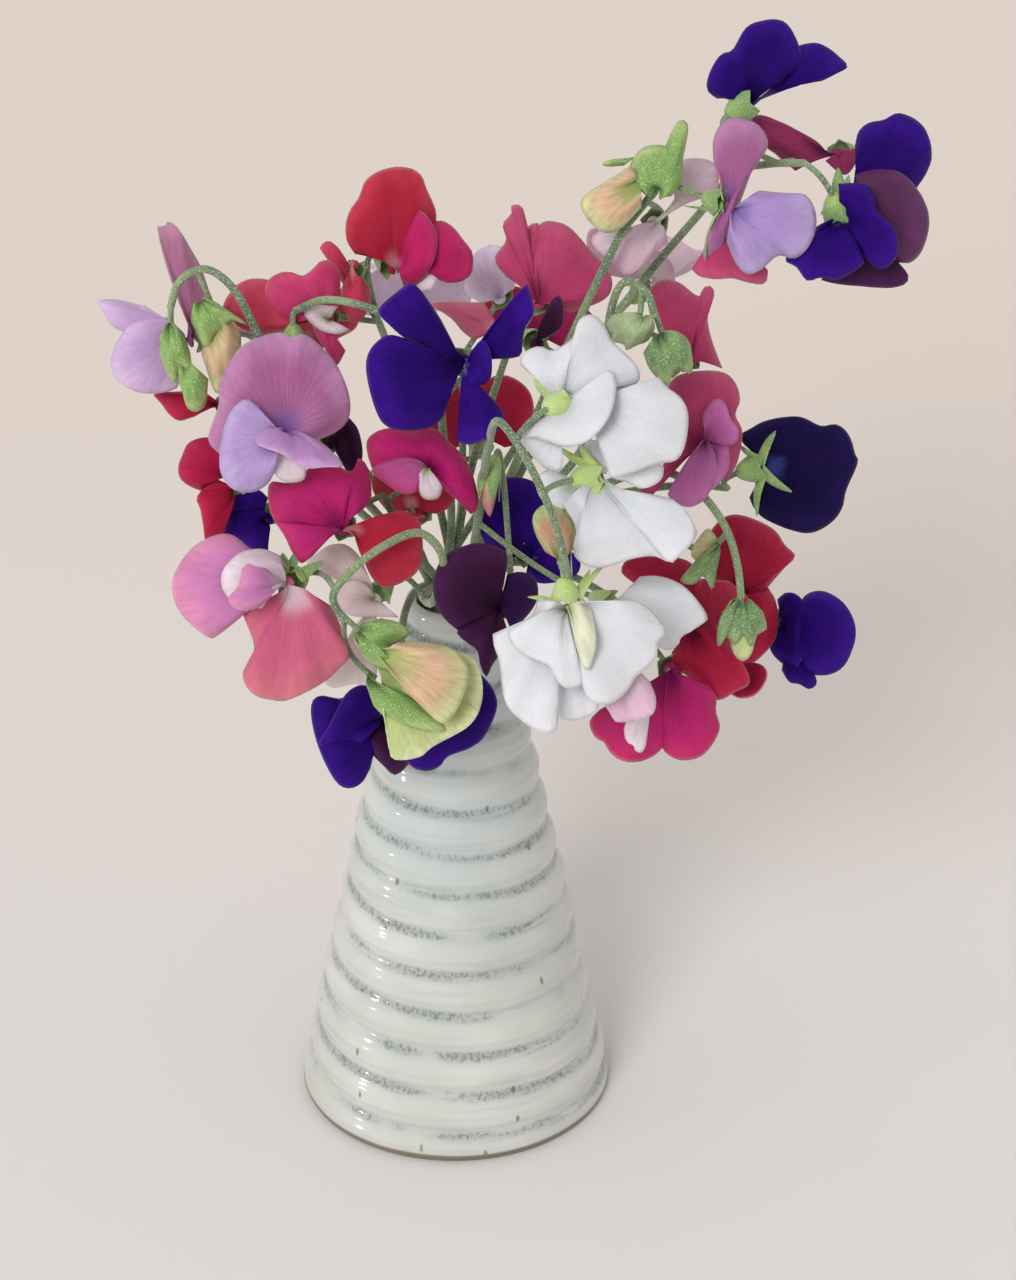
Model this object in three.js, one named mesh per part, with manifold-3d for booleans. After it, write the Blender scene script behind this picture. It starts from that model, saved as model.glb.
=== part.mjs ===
// Sweet peas in a thrown stoneware vase. Millimetres, +Z up, the front of the arrangement faces -Y.
// The origin is the middle of the vase's flat underside.
import * as THREE from "three";
import { mergeVertices } from "three/addons/utils/BufferGeometryUtils.js";
import Module from "manifold-3d";

const wasm = await Module();
wasm.setup();

const rad = THREE.MathUtils.degToRad;
const vec = (xyz) => new THREE.Vector3(...xyz);

// Driving dimensions

const VASE_HEIGHT = 169;
const VASE_FOOT_RADIUS = 48;
const VASE_NECK_RADIUS = 14;
const VASE_WALL = 4;
const VASE_FLOOR = 6;
const VASE_FOOT_ROUNDING = 2.5;
const THROW_RING_PITCH = 12.6;
const THROW_RING_DEPTH = 0.9;
const VASE_SIDES = 20;
const VASE_OUTER_STEPS = 39;
const VASE_INNER_STEPS = 2;

const WATER_TOP = 118;
const WATER_HOLE_RADIUS = 4.5;
const GAP = 0.35;

const PETAL_THICKNESS = 0.7;
const PETAL_CLEARANCE = 0.5;
const THINNEST_SLANT = 0.5;
const STANDARD_ROWS = 2;
const PLAIN_COLUMNS = 6;
const DRAWN_COLUMNS = 7;
const DRAWN_FEW_COLUMNS = 5;
const DRAWN_ROUND = 11;
const DRAWN_SAMPLES = 42;
const DRAWN_NEAREST = 0.3;
const DRAWN_LEAST_TURN = rad(0.3);
const DRAWN_SWELL_FOR_TWO_ROWS = 6;
const HOOD_SIZE = 0.72;
const STEM_CLEARANCE = 0.4;
const STEM_RADIUS = 1.3;
const STEM_TIP_RADIUS = 1.05;
const STEM_SIDES = 4;
const PEDICEL_RADIUS = 0.85;
const PEDICEL_SIDES = 3;
const PEDICEL_TURN_PER_STEP = rad(50);
const PEDICEL_SETBACK = 9;
const PEDICEL_PULL = 12;
const PEDICEL_SINK = 2.6;
const CALYX_LENGTH = 7;
const CALYX_MOUTH_RADIUS = 3;
const SEPAL_REACH = 8;
const SEPAL_SETBACK = 1.6;
const SEPALS = 5;
const BUD_FATNESS = 4;
const BUD_SIDES = 6;
const BUD_RIDGE = 1.3;
const BUD_GROOVE = 0.85;

const RECEPTACLE_RADIUS = 2.4;
const RECEPTACLE_LENGTH = 4.6;
const STANDARD_SEAT = 2.4;
const WING_SEAT = 2.6;
const CLAW_HALF_WIDTH = 1.1;
const CLAW_REACH = 4.8;
const CLAW_SHARE = 0.4;

const NECK_BUNCH_RADIUS = 6;
const NECK_STEM_OFFSET = 0.95;
const FOOT_SPREAD = 1.7;
const NECK_BOTTOM = 148;
const NECK_TOP = 173;
const LEAST_CUT = 0.001;

// The bouquet is arranged for a viewer who looks along +Y and 28.5 degrees down
const LOOK_DOWN = rad(28.5);
const SIGHT = new THREE.Vector3(0, Math.cos(LOOK_DOWN), -Math.sin(LOOK_DOWN));
const SIGHT_UP = new THREE.Vector3(0, Math.sin(LOOK_DOWN), Math.cos(LOOK_DOWN));
const EYE = new THREE.Vector3(16.3, -965.5, 678.5);
const VIEW_MIDDLE = new THREE.Vector2(508, 640);
const VIEW_FOCUS = 3736.9;

const SETTLE_CELL = 2.4;
const SETTLE_GAP = 1.5;
const SETTLE_WIDEST = 80;
const SETTLE_LONGEST = 28;
const SETTLE_ROUNDS = 160;
const SETTLE_REACH = 45;

// Colours

const COLOURS = {
  glaze: "#d6d5cc",
  water: "#dfe9e6",
  green: "#6d8f52",
  mauve: "#b5729f",
  pink: "#e089ac",
  blush: "#ecd3dc",
  white: "#f1eff0",
  crimson: "#a8123c",
  red: "#bb2331",
  coral: "#d2505a",
  magenta: "#b01a5e",
  raspberry: "#c43f66",
  lavender: "#c9b4dd",
  indigo: "#2b1480",
  plum: "#43153f",
};

// Blooms. at: throat; facing: way the keel points; up: way the standard stands; star: its sepals
// spread in a star. Where the petals aren't drawn below, half: half width of the standard; fold: how
// far its halves are swept back, in radians; lean: degrees backwards

const BLOOMS = {
  mauve_front: {
    at: [-44, -48, 245], facing: [-0.25, -0.93, -0.05], up: [0, 0, 1], colour: "mauve",
  },
  lilac_left: {
    at: [-71, -10, 255], facing: [-0.95, -0.3, -0.1], up: [-0.42, 0.1, 0.95], colour: "mauve",
  },
  crimson_left_a: {
    at: [-64, -8, 234], facing: [-0.7, -0.72, 0], up: [0, 0.2, 1], colour: "crimson",
  },
  crimson_left_b: {
    at: [-60, -25, 218], facing: [-0.62, -0.78, 0.1], up: [0, 0, 1], colour: "crimson",
  },
  indigo_left: {
    at: [-51, -22, 206], facing: [-0.5, -0.8, -0.2], up: [0.2, 0, 1], colour: "indigo",
  },
  plum_left: {
    at: [-33, -15, 226], facing: [0.3, -0.9, 0.2], up: [0, 0.2, 1], colour: "plum",
  },
  magenta_left: {
    at: [-29, -45, 214], facing: [0, -0.95, 0.2], up: [0, 0.2, 1], colour: "magenta",
  },
  pink_bicolor: {
    at: [-43, -62, 206], facing: [-0.5, -0.86, 0.1], up: [0.12, -0.2, -0.97], star: true, colour: "pink",
  },
  blush_low: {
    at: [-20, -45, 193], facing: [-0.5, -0.75, -0.35], up: [-0.2, -0.3, 0.9], colour: "blush",
  },
  indigo_low_left: {
    at: [-19, -44, 154], facing: [-0.75, -0.5, -0.4], up: [-0.2, -0.3, 0.9], colour: "indigo",
  },
  indigo_scallop: {
    at: [-6, -42, 161], facing: [0, -0.85, 0.5], up: [0.1, -0.5, -0.86], colour: "indigo",
  },
  plum_centre: {
    at: [14, -50, 192], facing: [-0.15, -0.95, 0.1], up: [-0.7, -0.1, 0.6], colour: "plum",
  },
  indigo_mid: {
    at: [22, -30, 198], facing: [0.5, -0.85, 0], up: [0, 0, 1], half: 16.2, fold: 0.9,
    lean: 4, colour: "indigo",
  },
  red_top: {
    at: [-16, -5, 275], facing: [0.62, -0.75, -0.15], up: [-0.12, 0.1, 0.98], colour: "red",
  },
  coral_top: {
    at: [-34, -12, 262], facing: [0.1, -0.9, 0.3], up: [-0.8, 0, 0.55], colour: "coral",
  },
  coral_bud: {
    at: [-27, 3, 271], facing: [-0.2, -0.3, 0.9], up: [0, 0.9, 0.3], colour: "coral",
  },
  indigo_centre: {
    at: [4, -38, 261], facing: [0.3, -0.85, 0.3], up: [-0.95, -0.1, 0.12], colour: "indigo",
  },
  plum_mid: {
    at: [24, -10, 254], facing: [0.25, -0.95, 0], up: [0.2, 0, 1], colour: "plum",
  },
  pink_mid: {
    at: [14, 0, 254], facing: [-0.8, -0.35, 0.2], up: [0, 0, 1], colour: "pink",
  },
  lavender_back: {
    at: [14, 25, 253], facing: [-0.2, -0.9, 0.1], up: [0, 0.25, 1], colour: "lavender",
  },
  raspberry_top: {
    at: [25, 5, 260], facing: [-0.1, -0.95, 0.25], up: [0, 0.2, 1], colour: "raspberry",
  },
  raspberry_right_a: {
    at: [68, 10, 240], facing: [0.2, -0.95, 0.1], up: [0.15, 0.1, 1], colour: "raspberry",
  },
  raspberry_right_b: {
    at: [70, -20, 229], facing: [0.6, -0.8, -0.05], up: [0, 0, 1], colour: "raspberry",
  },
  blush_top: {
    at: [57, 0, 286], facing: [-0.25, -0.92, 0.2], up: [0.1, 0.1, 1], colour: "blush",
  },
  mauve_top_right: {
    at: [75, -20, 299], facing: [0.85, -0.5, -0.15], up: [0.2, 0, 1], star: true, colour: "mauve",
  },
  indigo_top: {
    at: [81, 0, 320], facing: [0.66, 0.58, 0.1], up: [0.02, 0, 1], star: true, colour: "indigo",
  },
  plum_top: {
    at: [108, 8, 303], facing: [-0.62, -0.75, 0.1], up: [0.3, 0.1, 0.9], colour: "plum",
  },
  indigo_right: {
    at: [106, -20, 297], facing: [0.3, 0.35, -0.88], up: [0.6, -0.6, 0], star: true, colour: "indigo",
  },
  white_top: {
    at: [30, -66, 261], facing: [0.5, 0.8, -0.2], up: [0.7, 0.1, 0.6], star: true, colour: "white",
  },
  white_mid: {
    at: [39, -62, 238], facing: [0.75, 0.5, -0.1], up: [0.5, -0.1, 0.85], star: true, colour: "white",
  },
  white_low: {
    at: [32, -76, 207], facing: [0.1, -0.35, -0.93], up: [0, 1, -0.35], star: true, colour: "white",
  },
  white_side: {
    at: [45, -50, 193], facing: [0.85, -0.45, -0.1], up: [-0.1, 0.1, 1], colour: "white",
  },
  navy_right: {
    at: [87, -15, 218], facing: [0.9, 0.4, 0.08], up: [0.45, 0, 0.9], star: true, colour: "indigo",
  },
  crimson_right_a: {
    at: [83, -10, 174], facing: [0.25, -0.95, 0.15], up: [0.6, 0, 0.8], colour: "crimson",
  },
  crimson_right_b: {
    at: [67, -30, 177], facing: [0.1, -0.95, 0.25], up: [0, 0.2, 1], colour: "crimson",
  },
  crimson_low: {
    at: [73, -26, 164], facing: [0.45, -0.85, -0.1], up: [0.3, 0, 0.95], half: 15.1, fold: 0.7,
    lean: 8, colour: "crimson",
  },
  indigo_far_right: {
    at: [96, -12, 167], facing: [0.75, -0.62, 0], up: [0, 0, 1], colour: "indigo",
  },
  magenta_low_right: {
    at: [62, -35, 164], facing: [0, -0.88, 0.45], up: [0.1, -0.45, -0.88], colour: "magenta",
  },
  magenta_centre: {
    at: [-5, -35, 228], facing: [-0.15, -0.9, 0.35], up: [0, 0.3, 0.95], colour: "magenta",
  },
  red_centre: {
    at: [-9, -16, 204], facing: [-0.4, -0.9, 0], up: [-0.3, 0, 0.95], half: 14, fold: 0.7,
    lean: 8, colour: "red",
  },
  coral_back: {
    at: [-42, 30, 232], facing: [-0.7, 0.7, 0.1], up: [0, 0, 1], half: 17, fold: 0.6,
    lean: 8, colour: "coral",
  },
  lavender_behind: {
    at: [-12, 46, 238], facing: [-0.15, 0.95, 0.2], up: [0, 0, 1], half: 18, fold: 0.6,
    lean: 8, colour: "lavender",
  },
  magenta_back: {
    at: [26, 48, 226], facing: [0.2, 0.95, 0.1], up: [0, 0, 1], half: 18, fold: 0.6,
    lean: 8, colour: "magenta",
  },
  blush_back: {
    at: [56, 42, 248], facing: [0.6, 0.75, 0.2], up: [0, 0, 1], half: 17, fold: 0.6,
    lean: 8, colour: "blush",
  },
  crimson_back: {
    at: [8, 44, 196], facing: [-0.1, 0.95, -0.2], up: [0, 0, 1], half: 17, fold: 0.6,
    lean: 8, colour: "crimson",
  },
};

// Petals of the blooms that are seen well, drawn in the view of the arrangement, where a point is
// [across, down] in a frame of 1016 by 1280. foot: where the petal springs, edge: the way round it;
// the foot's third number and depths, at the start, the middle and the end of the edge, are the
// millimetres that they lie behind the throat; swell: how far the petal swells towards the viewer

const PETALS = {
  mauve_front: [
    {
      foot: [287, 432, 0], swell: 3, depths: [5, -4, 6],
      edge: [[222, 456], [208, 440], [212, 424], [219, 404], [219, 384], [228, 364], [242, 346],
        [262, 335], [280, 332], [292, 338], [303, 334], [316, 342], [330, 356], [344, 380], [350, 404],
        [347, 420], [334, 432], [316, 440], [300, 442]],
    },
    {
      foot: [283, 436, -2], swell: 4, depths: [-6, -6, -8],
      edge: [[275, 470], [268, 482], [254, 491], [238, 491], [227, 484], [220, 468], [220, 450],
        [223, 430], [232, 410], [246, 399], [257, 406]],
    },
    {
      foot: [290, 428, -2], swell: 2, depths: [-6, -14, -6],
      edge: [[318, 440], [332, 452], [343, 466], [328, 467], [308, 468], [297, 464], [284, 455],
        [268, 449], [256, 444], [251, 437], [260, 428], [273, 422]],
    },
    {
      foot: [285, 440, -2], swell: 1, depths: [-4, -4, -4],
      edge: [[305, 462], [304, 478], [290, 482], [278, 478], [272, 465], [274, 450]],
    },
  ],
  lilac_left: [
    {
      foot: [197, 343, 0], swell: 2, depths: [-3, 1, 7],
      edge: [[178, 300], [166, 275], [159, 250], [152, 228], [164, 225], [166, 221],
        [175, 225], [184, 238], [192, 252], [200, 266], [208, 290], [214, 308]],
    },
    {
      foot: [190, 338, -2], swell: 4, depths: [-5, -8, -3],
      edge: [[182, 372], [178, 386], [168, 391], [150, 393], [130, 389], [114, 376], [110, 360],
        [116, 342], [128, 326], [147, 318], [166, 317], [180, 322]],
    },
    {
      foot: [182, 330, 1], swell: 2, depths: [1, 4, 2],
      edge: [[150, 333], [120, 330], [109, 322], [103, 311], [97, 302], [112, 299], [128, 301],
        [145, 306], [162, 314], [172, 318]],
    },
  ],
  pink_bicolor: [
    {
      foot: [296, 583, 0], swell: 4, depths: [0, -3, -1],
      edge: [[309, 583], [322, 594], [332, 607], [340, 622], [347, 640], [349, 656], [338, 669],
        [322, 683], [304, 693], [284, 701], [272, 700], [256, 696], [245, 684], [243, 672], [250, 660],
        [254, 648], [250, 634], [243, 614]],
    },
    {
      foot: [280, 580, 1], swell: 4, depths: [-2, -6, 3],
      edge: [[262, 606], [240, 617], [228, 634], [214, 639], [200, 632], [186, 620], [176, 606],
        [172, 590], [175, 572], [181, 560], [194, 546], [212, 537], [228, 534], [240, 540], [250, 549]],
    },
    {
      foot: [288, 578, -2], swell: 5, depths: [-8, -12, -3],
      edge: [[262, 608], [240, 606], [229, 599], [223, 590], [221, 576], [229, 562], [242, 552],
        [262, 549], [280, 556], [292, 567]],
    },
    {
      foot: [282, 584, -6], swell: 3, depths: [-13, -17, -9],
      edge: [[266, 602], [250, 610], [234, 608], [228, 598], [238, 587], [241, 574], [243, 560],
        [252, 555], [266, 564], [276, 574]],
    },
  ],
  magenta_left: [
    {
      foot: [342, 528, 0], swell: 5, depths: [-1, -6, 2],
      edge: [[275, 522], [269, 508], [267, 492], [270, 482], [285, 483], [301, 481], [304, 472],
        [315, 465], [328, 463], [342, 468], [351, 472], [356, 466], [357, 457], [364, 462], [369, 474],
        [371, 490], [370, 501], [362, 508], [364, 520]],
    },
    {
      foot: [340, 528, -3], swell: 3, depths: [-6, -9, -7],
      edge: [[346, 542], [330, 548], [312, 556], [302, 563], [292, 552], [285, 537], [275, 522]],
    },
    {
      foot: [352, 525, -1], swell: 4, depths: [-1, -6, -2],
      edge: [[372, 517], [386, 512], [400, 510], [414, 516], [420, 524], [422, 545], [421, 562],
        [414, 575], [400, 584], [385, 587], [374, 580], [368, 568], [360, 552], [348, 546]],
    },
  ],
  magenta_centre: [
    {
      foot: [432, 468, 0], swell: 4, depths: [-3, 0, -3],
      edge: [[372, 468], [368, 456], [367, 440], [376, 432], [392, 428], [408, 429], [426, 427],
        [438, 431], [448, 441], [458, 450], [466, 460], [472, 474], [477, 490], [478, 504], [472, 514],
        [464, 505], [452, 496], [442, 488]],
    },
    {
      foot: [425, 462, -3], swell: 2, depths: [-6, -9, -5],
      edge: [[418, 491], [405, 494], [392, 488], [380, 479], [371, 470], [386, 462], [402, 456],
        [413, 454]],
    },
    {
      foot: [426, 466, -3], swell: 2, depths: [-6, -8, -6],
      edge: [[438, 480], [442, 488], [437, 498], [424, 498], [419, 490], [418, 476]],
    },
  ],
  indigo_centre: [
    {
      foot: [462, 362, 0], swell: 2, depths: [0, -6, 4],
      edge: [[432, 351], [415, 343], [403, 336], [390, 325], [378, 311], [388, 298], [400, 289],
        [411, 283], [419, 289], [430, 303], [440, 320]],
    },
    {
      foot: [462, 365, 0], swell: 4, depths: [-2, -5, -4],
      edge: [[444, 414], [434, 425], [415, 430], [398, 430], [384, 424], [375, 408], [369, 388],
        [366, 368], [368, 353], [377, 341], [389, 335], [403, 338]],
    },
    {
      foot: [468, 362, -1], swell: 3, depths: [-4, -7, -3],
      edge: [[470, 352], [483, 338], [494, 322], [502, 304], [506, 286], [514, 276], [524, 281],
        [531, 297], [534, 312], [526, 325], [522, 342], [521, 354], [507, 358]],
    },
    {
      foot: [466, 366, -2], swell: 2, depths: [-8, -10, -5],
      edge: [[472, 350], [482, 340], [490, 350], [492, 368], [490, 378], [482, 384], [470, 384]],
    },
    {
      foot: [462, 370, -1], swell: 3, depths: [-2, -7, -2],
      edge: [[472, 378], [484, 390], [497, 404], [504, 414], [498, 430], [484, 440], [468, 444],
        [457, 440], [455, 420], [456, 400], [456, 386]],
    },
  ],
  plum_centre: [
    {
      foot: [500, 606, 0], swell: 4, depths: [-3, -7, 0],
      edge: [[458, 630], [446, 620], [437, 606], [433, 588], [436, 570], [446, 555], [460, 547],
        [476, 543], [492, 546], [506, 552], [507, 562]],
    },
    {
      foot: [500, 606, -1], swell: 2, depths: [0, -4, -3],
      edge: [[510, 640], [498, 655], [492, 665], [486, 677], [480, 664], [477, 650], [466, 642],
        [457, 632], [470, 616]],
    },
    {
      foot: [500, 604, 0], swell: 2, depths: [1, 3, 0],
      edge: [[507, 575], [520, 572], [534, 577], [538, 592], [534, 606], [524, 618], [512, 632]],
    },
  ],
  blush_low: [
    {
      foot: [376, 592, 0], swell: 3, depths: [-3, -2, 1],
      edge: [[330, 578], [312, 572], [306, 564], [314, 556], [328, 546], [342, 544], [352, 549],
        [360, 558], [366, 570], [372, 580]],
    },
    {
      foot: [376, 598, -1], swell: 3, depths: [-3, -7, -3],
      edge: [[398, 617], [375, 616], [350, 615], [341, 609], [333, 600], [336, 590], [350, 580],
        [366, 582]],
    },
    {
      foot: [376, 602, 1], swell: 2, depths: [2, 0, 1],
      edge: [[378, 660], [372, 684], [352, 684], [334, 688], [324, 682], [326, 674], [345, 655],
        [352, 630]],
    },
  ],
  indigo_low_left: [
    {
      foot: [385, 712, 0], swell: 4, depths: [-2, -6, 0],
      edge: [[370, 768], [362, 782], [352, 788], [340, 786], [330, 772], [322, 755], [316, 740],
        [312, 722], [311, 706], [315, 698], [324, 696], [338, 700], [352, 692]],
    },
    {
      foot: [388, 716, -2], swell: 4, depths: [-7, -10, -3],
      edge: [[362, 744], [340, 742], [318, 745], [328, 728], [336, 710], [346, 694], [358, 686],
        [374, 684], [384, 694]],
    },
    {
      foot: [388, 722, -1], swell: 3, depths: [-2, -5, -3],
      edge: [[412, 745], [408, 764], [394, 775], [384, 766], [374, 756], [364, 744], [372, 732]],
    },
  ],
  indigo_scallop: [
    {
      foot: [432, 690, 0], swell: 3, depths: [0, -3, -4],
      edge: [[470, 668], [484, 678], [494, 692], [497, 706], [492, 722], [483, 738], [470, 748],
        [456, 753], [447, 757], [440, 766], [428, 771], [414, 768], [404, 758], [398, 742], [400, 722]],
    },
    {
      foot: [432, 692, -2], swell: 2, depths: [-6, -8, -6],
      edge: [[452, 712], [444, 728], [428, 732], [414, 724], [412, 708]],
    },
  ],
  red_top: [
    {
      foot: [393, 266, 0], swell: 4, depths: [1, -5, 3],
      edge: [[376, 280], [364, 268], [355, 253], [347, 240], [346, 225], [350, 210], [359, 196],
        [366, 180], [370, 177], [384, 169], [398, 166], [412, 168], [421, 175], [426, 188], [432, 200],
        [436, 214], [432, 232], [418, 246]],
    },
    {
      foot: [397, 264, -2], swell: 4, depths: [-5, -10, -4],
      edge: [[400, 250], [408, 232], [414, 218], [419, 210], [426, 216], [434, 226], [437, 238],
        [436, 252], [432, 264], [424, 276], [416, 284], [404, 287], [399, 280]],
    },
    {
      foot: [410, 262, -3], swell: 3, depths: [-2, -4, -4],
      edge: [[430, 222], [442, 220], [454, 228], [463, 240], [472, 252], [473, 262], [470, 275],
        [458, 282], [446, 282], [437, 278]],
    },
    {
      foot: [410, 268, -2], swell: 1, depths: [-5, -6, -3],
      edge: [[438, 262], [438, 274], [434, 286], [424, 291], [417, 290]],
    },
  ],
  coral_top: [
    {
      foot: [325, 318, 0], swell: 3, depths: [-1, -5, -1],
      edge: [[290, 330], [262, 333], [245, 330], [228, 318], [222, 308], [228, 296], [238, 284],
        [254, 278], [268, 280], [284, 283]],
    },
    {
      foot: [325, 318, -1], swell: 4, depths: [-4, -6, 1],
      edge: [[290, 325], [272, 312], [265, 292], [268, 280], [280, 272], [292, 272], [302, 276],
        [312, 270], [320, 261], [330, 260], [338, 268], [341, 282], [340, 300], [335, 312]],
    },
    {
      foot: [330, 320, -2], swell: 2, depths: [-4, -8, -5],
      edge: [[350, 330], [340, 334], [325, 332], [312, 324], [303, 312], [306, 306], [322, 305],
        [338, 306]],
    },
    {
      foot: [326, 322, -2], swell: 1, depths: [-3, -4, -4],
      edge: [[345, 350], [335, 366], [326, 350], [318, 338], [312, 326]],
    },
  ],
  coral_bud: [
    {
      foot: [352, 272, 0], swell: 3, depths: [-1, -4, 0],
      edge: [[344, 285], [334, 268], [325, 255], [320, 247], [328, 241], [337, 247], [345, 258]],
    },
    {
      foot: [352, 270, -1], swell: 4, depths: [-2, -6, -2],
      edge: [[364, 272], [370, 288], [369, 304], [362, 318], [352, 322], [344, 308], [341, 290],
        [343, 276]],
    },
  ],
  lavender_back: [
    {
      foot: [500, 300, 0], swell: 3, depths: [-1, -4, 2],
      edge: [[482, 303], [465, 290], [468, 272], [476, 252], [488, 245], [500, 246], [510, 256],
        [516, 272], [514, 288]],
    },
  ],
  pink_mid: [
    {
      foot: [500, 330, 0], swell: 2, depths: [-2, -6, 0],
      edge: [[486, 344], [474, 340], [462, 330], [452, 318], [440, 310], [430, 304], [446, 302],
        [466, 301], [484, 302], [500, 310]],
    },
  ],
  raspberry_top: [
    {
      foot: [540, 302, 0], swell: 5, depths: [-2, -4, 0],
      edge: [[535, 285], [532, 262], [533, 240], [538, 226], [544, 221], [558, 222], [570, 228],
        [582, 240], [594, 254], [604, 264], [612, 280], [608, 296], [592, 306], [570, 312], [552, 310]],
    },
    {
      foot: [538, 302, -1], swell: 3, depths: [-3, -5, -1],
      edge: [[507, 276], [498, 266], [495, 257], [500, 248], [507, 238], [502, 230], [505, 220],
        [512, 214], [509, 206], [516, 204], [522, 206], [521, 220], [522, 230], [530, 224], [538, 222],
        [538, 240]],
    },
  ],
  raspberry_right_a: [
    {
      foot: [690, 360, 0], swell: 4, depths: [-2, -2, -2],
      edge: [[668, 340], [655, 320], [648, 300], [650, 288], [662, 280], [678, 282], [690, 290],
        [700, 296], [704, 287], [712, 286], [714, 296], [708, 308], [708, 325], [714, 345], [722, 368]],
    },
  ],
  raspberry_right_b: [
    {
      foot: [694, 450, 2], swell: 4, depths: [2, -5, 5],
      edge: [[650, 498], [640, 488], [662, 468], [668, 440], [672, 410], [668, 390], [674, 378],
        [690, 372], [710, 371], [726, 373], [737, 385], [740, 400], [735, 415], [742, 430], [738, 460],
        [728, 480]],
    },
    {
      foot: [706, 440, -2], swell: 3, depths: [-6, -10, -6],
      edge: [[702, 420], [706, 408], [718, 398], [726, 404], [730, 418], [738, 430], [736, 442],
        [724, 446]],
    },
    {
      foot: [706, 436, -3], swell: 4, depths: [-7, -11, -6],
      edge: [[716, 446], [718, 465], [712, 485], [706, 498], [690, 507], [676, 503], [668, 494],
        [682, 482], [690, 470], [692, 455], [698, 440]],
    },
    {
      foot: [712, 440, -2], swell: 2, depths: [-4, -6, -5],
      edge: [[728, 446], [730, 460], [726, 474], [714, 488], [706, 494]],
    },
  ],
  blush_top: [
    {
      foot: [662, 222, 1], swell: 3, depths: [-1, -5, -1],
      edge: [[668, 242], [652, 254], [640, 268], [628, 275], [616, 266], [614, 255], [622, 240],
        [632, 226], [646, 214]],
    },
    {
      foot: [676, 208, 1], swell: 3, depths: [0, -1, 2],
      edge: [[672, 188], [676, 170], [683, 159], [700, 158], [714, 163], [719, 178], [716, 194]],
    },
    {
      foot: [642, 232, 2], swell: 2, depths: [1, -1, 1],
      edge: [[628, 258], [610, 258], [594, 246], [592, 238], [600, 230], [620, 224]],
    },
  ],
  mauve_top_right: [
    {
      foot: [726, 204, -1], swell: 3, depths: [-3, -1, -3],
      edge: [[718, 180], [714, 160], [714, 140], [720, 125], [730, 118], [745, 119], [758, 125],
        [768, 140], [766, 150], [756, 158], [750, 175], [748, 195], [742, 215], [730, 235], [718, 250],
        [704, 258], [706, 240], [714, 220]],
    },
    {
      foot: [730, 212, -3], swell: 5, depths: [-4, -6, -5],
      edge: [[745, 192], [760, 190], [778, 192], [790, 193], [805, 195], [814, 206], [817, 222],
        [812, 240], [804, 252], [794, 258], [780, 254], [770, 262], [760, 270], [748, 274], [738, 266],
        [732, 252], [727, 240]],
    },
    {
      foot: [722, 225, 2], swell: 2, depths: [1, 0, 1],
      edge: [[768, 270], [766, 282], [750, 282], [735, 278], [715, 279], [700, 276], [692, 268]],
    },
  ],
  indigo_top: [
    {
      foot: [748, 106, 0], swell: 4, depths: [-2, -3, 1],
      edge: [[718, 97], [708, 90], [708, 78], [713, 66], [722, 53], [732, 50], [740, 38], [746, 28],
        [758, 21], [772, 18], [784, 20], [792, 30], [798, 42], [801, 56], [797, 70], [790, 82],
        [782, 92], [774, 104], [768, 115], [757, 116]],
    },
    {
      foot: [770, 95, 3], swell: 3, depths: [4, 4, 3],
      edge: [[800, 45], [815, 43], [830, 48], [842, 58], [848, 66], [836, 72], [820, 76], [802, 84],
        [784, 91]],
    },
  ],
  plum_top: [
    {
      foot: [830, 156, 0], swell: 3, depths: [-1, -4, 0],
      edge: [[808, 168], [796, 170], [786, 162], [775, 152], [766, 146], [758, 130], [750, 117],
        [762, 114], [776, 120], [790, 127], [806, 134], [822, 138], [836, 140], [838, 150]],
    },
    {
      foot: [838, 152, 1], swell: 1, depths: [0, -2, -1],
      edge: [[858, 148], [856, 162], [846, 174], [836, 168], [826, 160]],
    },
  ],
  indigo_right: [
    {
      foot: [838, 215, -3], swell: 4, depths: [-4, -9, -5],
      edge: [[832, 195], [838, 184], [852, 182], [866, 184], [874, 194], [876, 208], [886, 220],
        [896, 232], [899, 248], [893, 262], [882, 268], [872, 264], [862, 250]],
    },
    {
      foot: [836, 218, -3], swell: 4, depths: [-6, -10, -6],
      edge: [[862, 252], [864, 262], [852, 272], [836, 279], [820, 277], [808, 281], [801, 274],
        [796, 266], [788, 262], [785, 258], [800, 256], [808, 245], [815, 228]],
    },
    {
      foot: [850, 206, 3], swell: 5, depths: [2, 0, 5],
      edge: [[848, 185], [856, 172], [870, 167], [886, 168], [902, 174], [916, 186], [925, 200],
        [929, 218], [927, 238], [920, 254], [910, 262], [898, 262]],
    },
    {
      foot: [852, 200, 5], swell: 4, depths: [6, 5, 7],
      edge: [[856, 145], [860, 130], [870, 122], [884, 120], [897, 113], [912, 116], [924, 126],
        [930, 142], [932, 156], [927, 172], [917, 187]],
    },
    {
      foot: [852, 220, 5], swell: 2, depths: [6, 5, 5],
      edge: [[898, 262], [907, 272], [908, 281], [898, 286], [870, 286], [840, 284], [822, 279]],
    },
  ],
  white_top: [
    {
      foot: [560, 404, -1], swell: 5, depths: [-5, -5, 2],
      edge: [[522, 366], [520, 360], [528, 350], [540, 346], [552, 350], [566, 344], [574, 336],
        [576, 325], [586, 315], [597, 316], [606, 328], [612, 340], [622, 350], [632, 360], [640, 372],
        [638, 382], [625, 385], [612, 390], [600, 400]],
    },
    {
      foot: [560, 406, -2], swell: 3, depths: [-8, -13, -4],
      edge: [[600, 375], [610, 370], [616, 382], [615, 400], [610, 415], [602, 428], [592, 438],
        [578, 445], [562, 446], [548, 442], [534, 437], [520, 438], [530, 430]],
    },
    {
      foot: [562, 420, 0], swell: 2, depths: [-3, -3, -5],
      edge: [[562, 462], [560, 471], [545, 468], [534, 458], [526, 448], [520, 440], [530, 434]],
    },
    {
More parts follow.
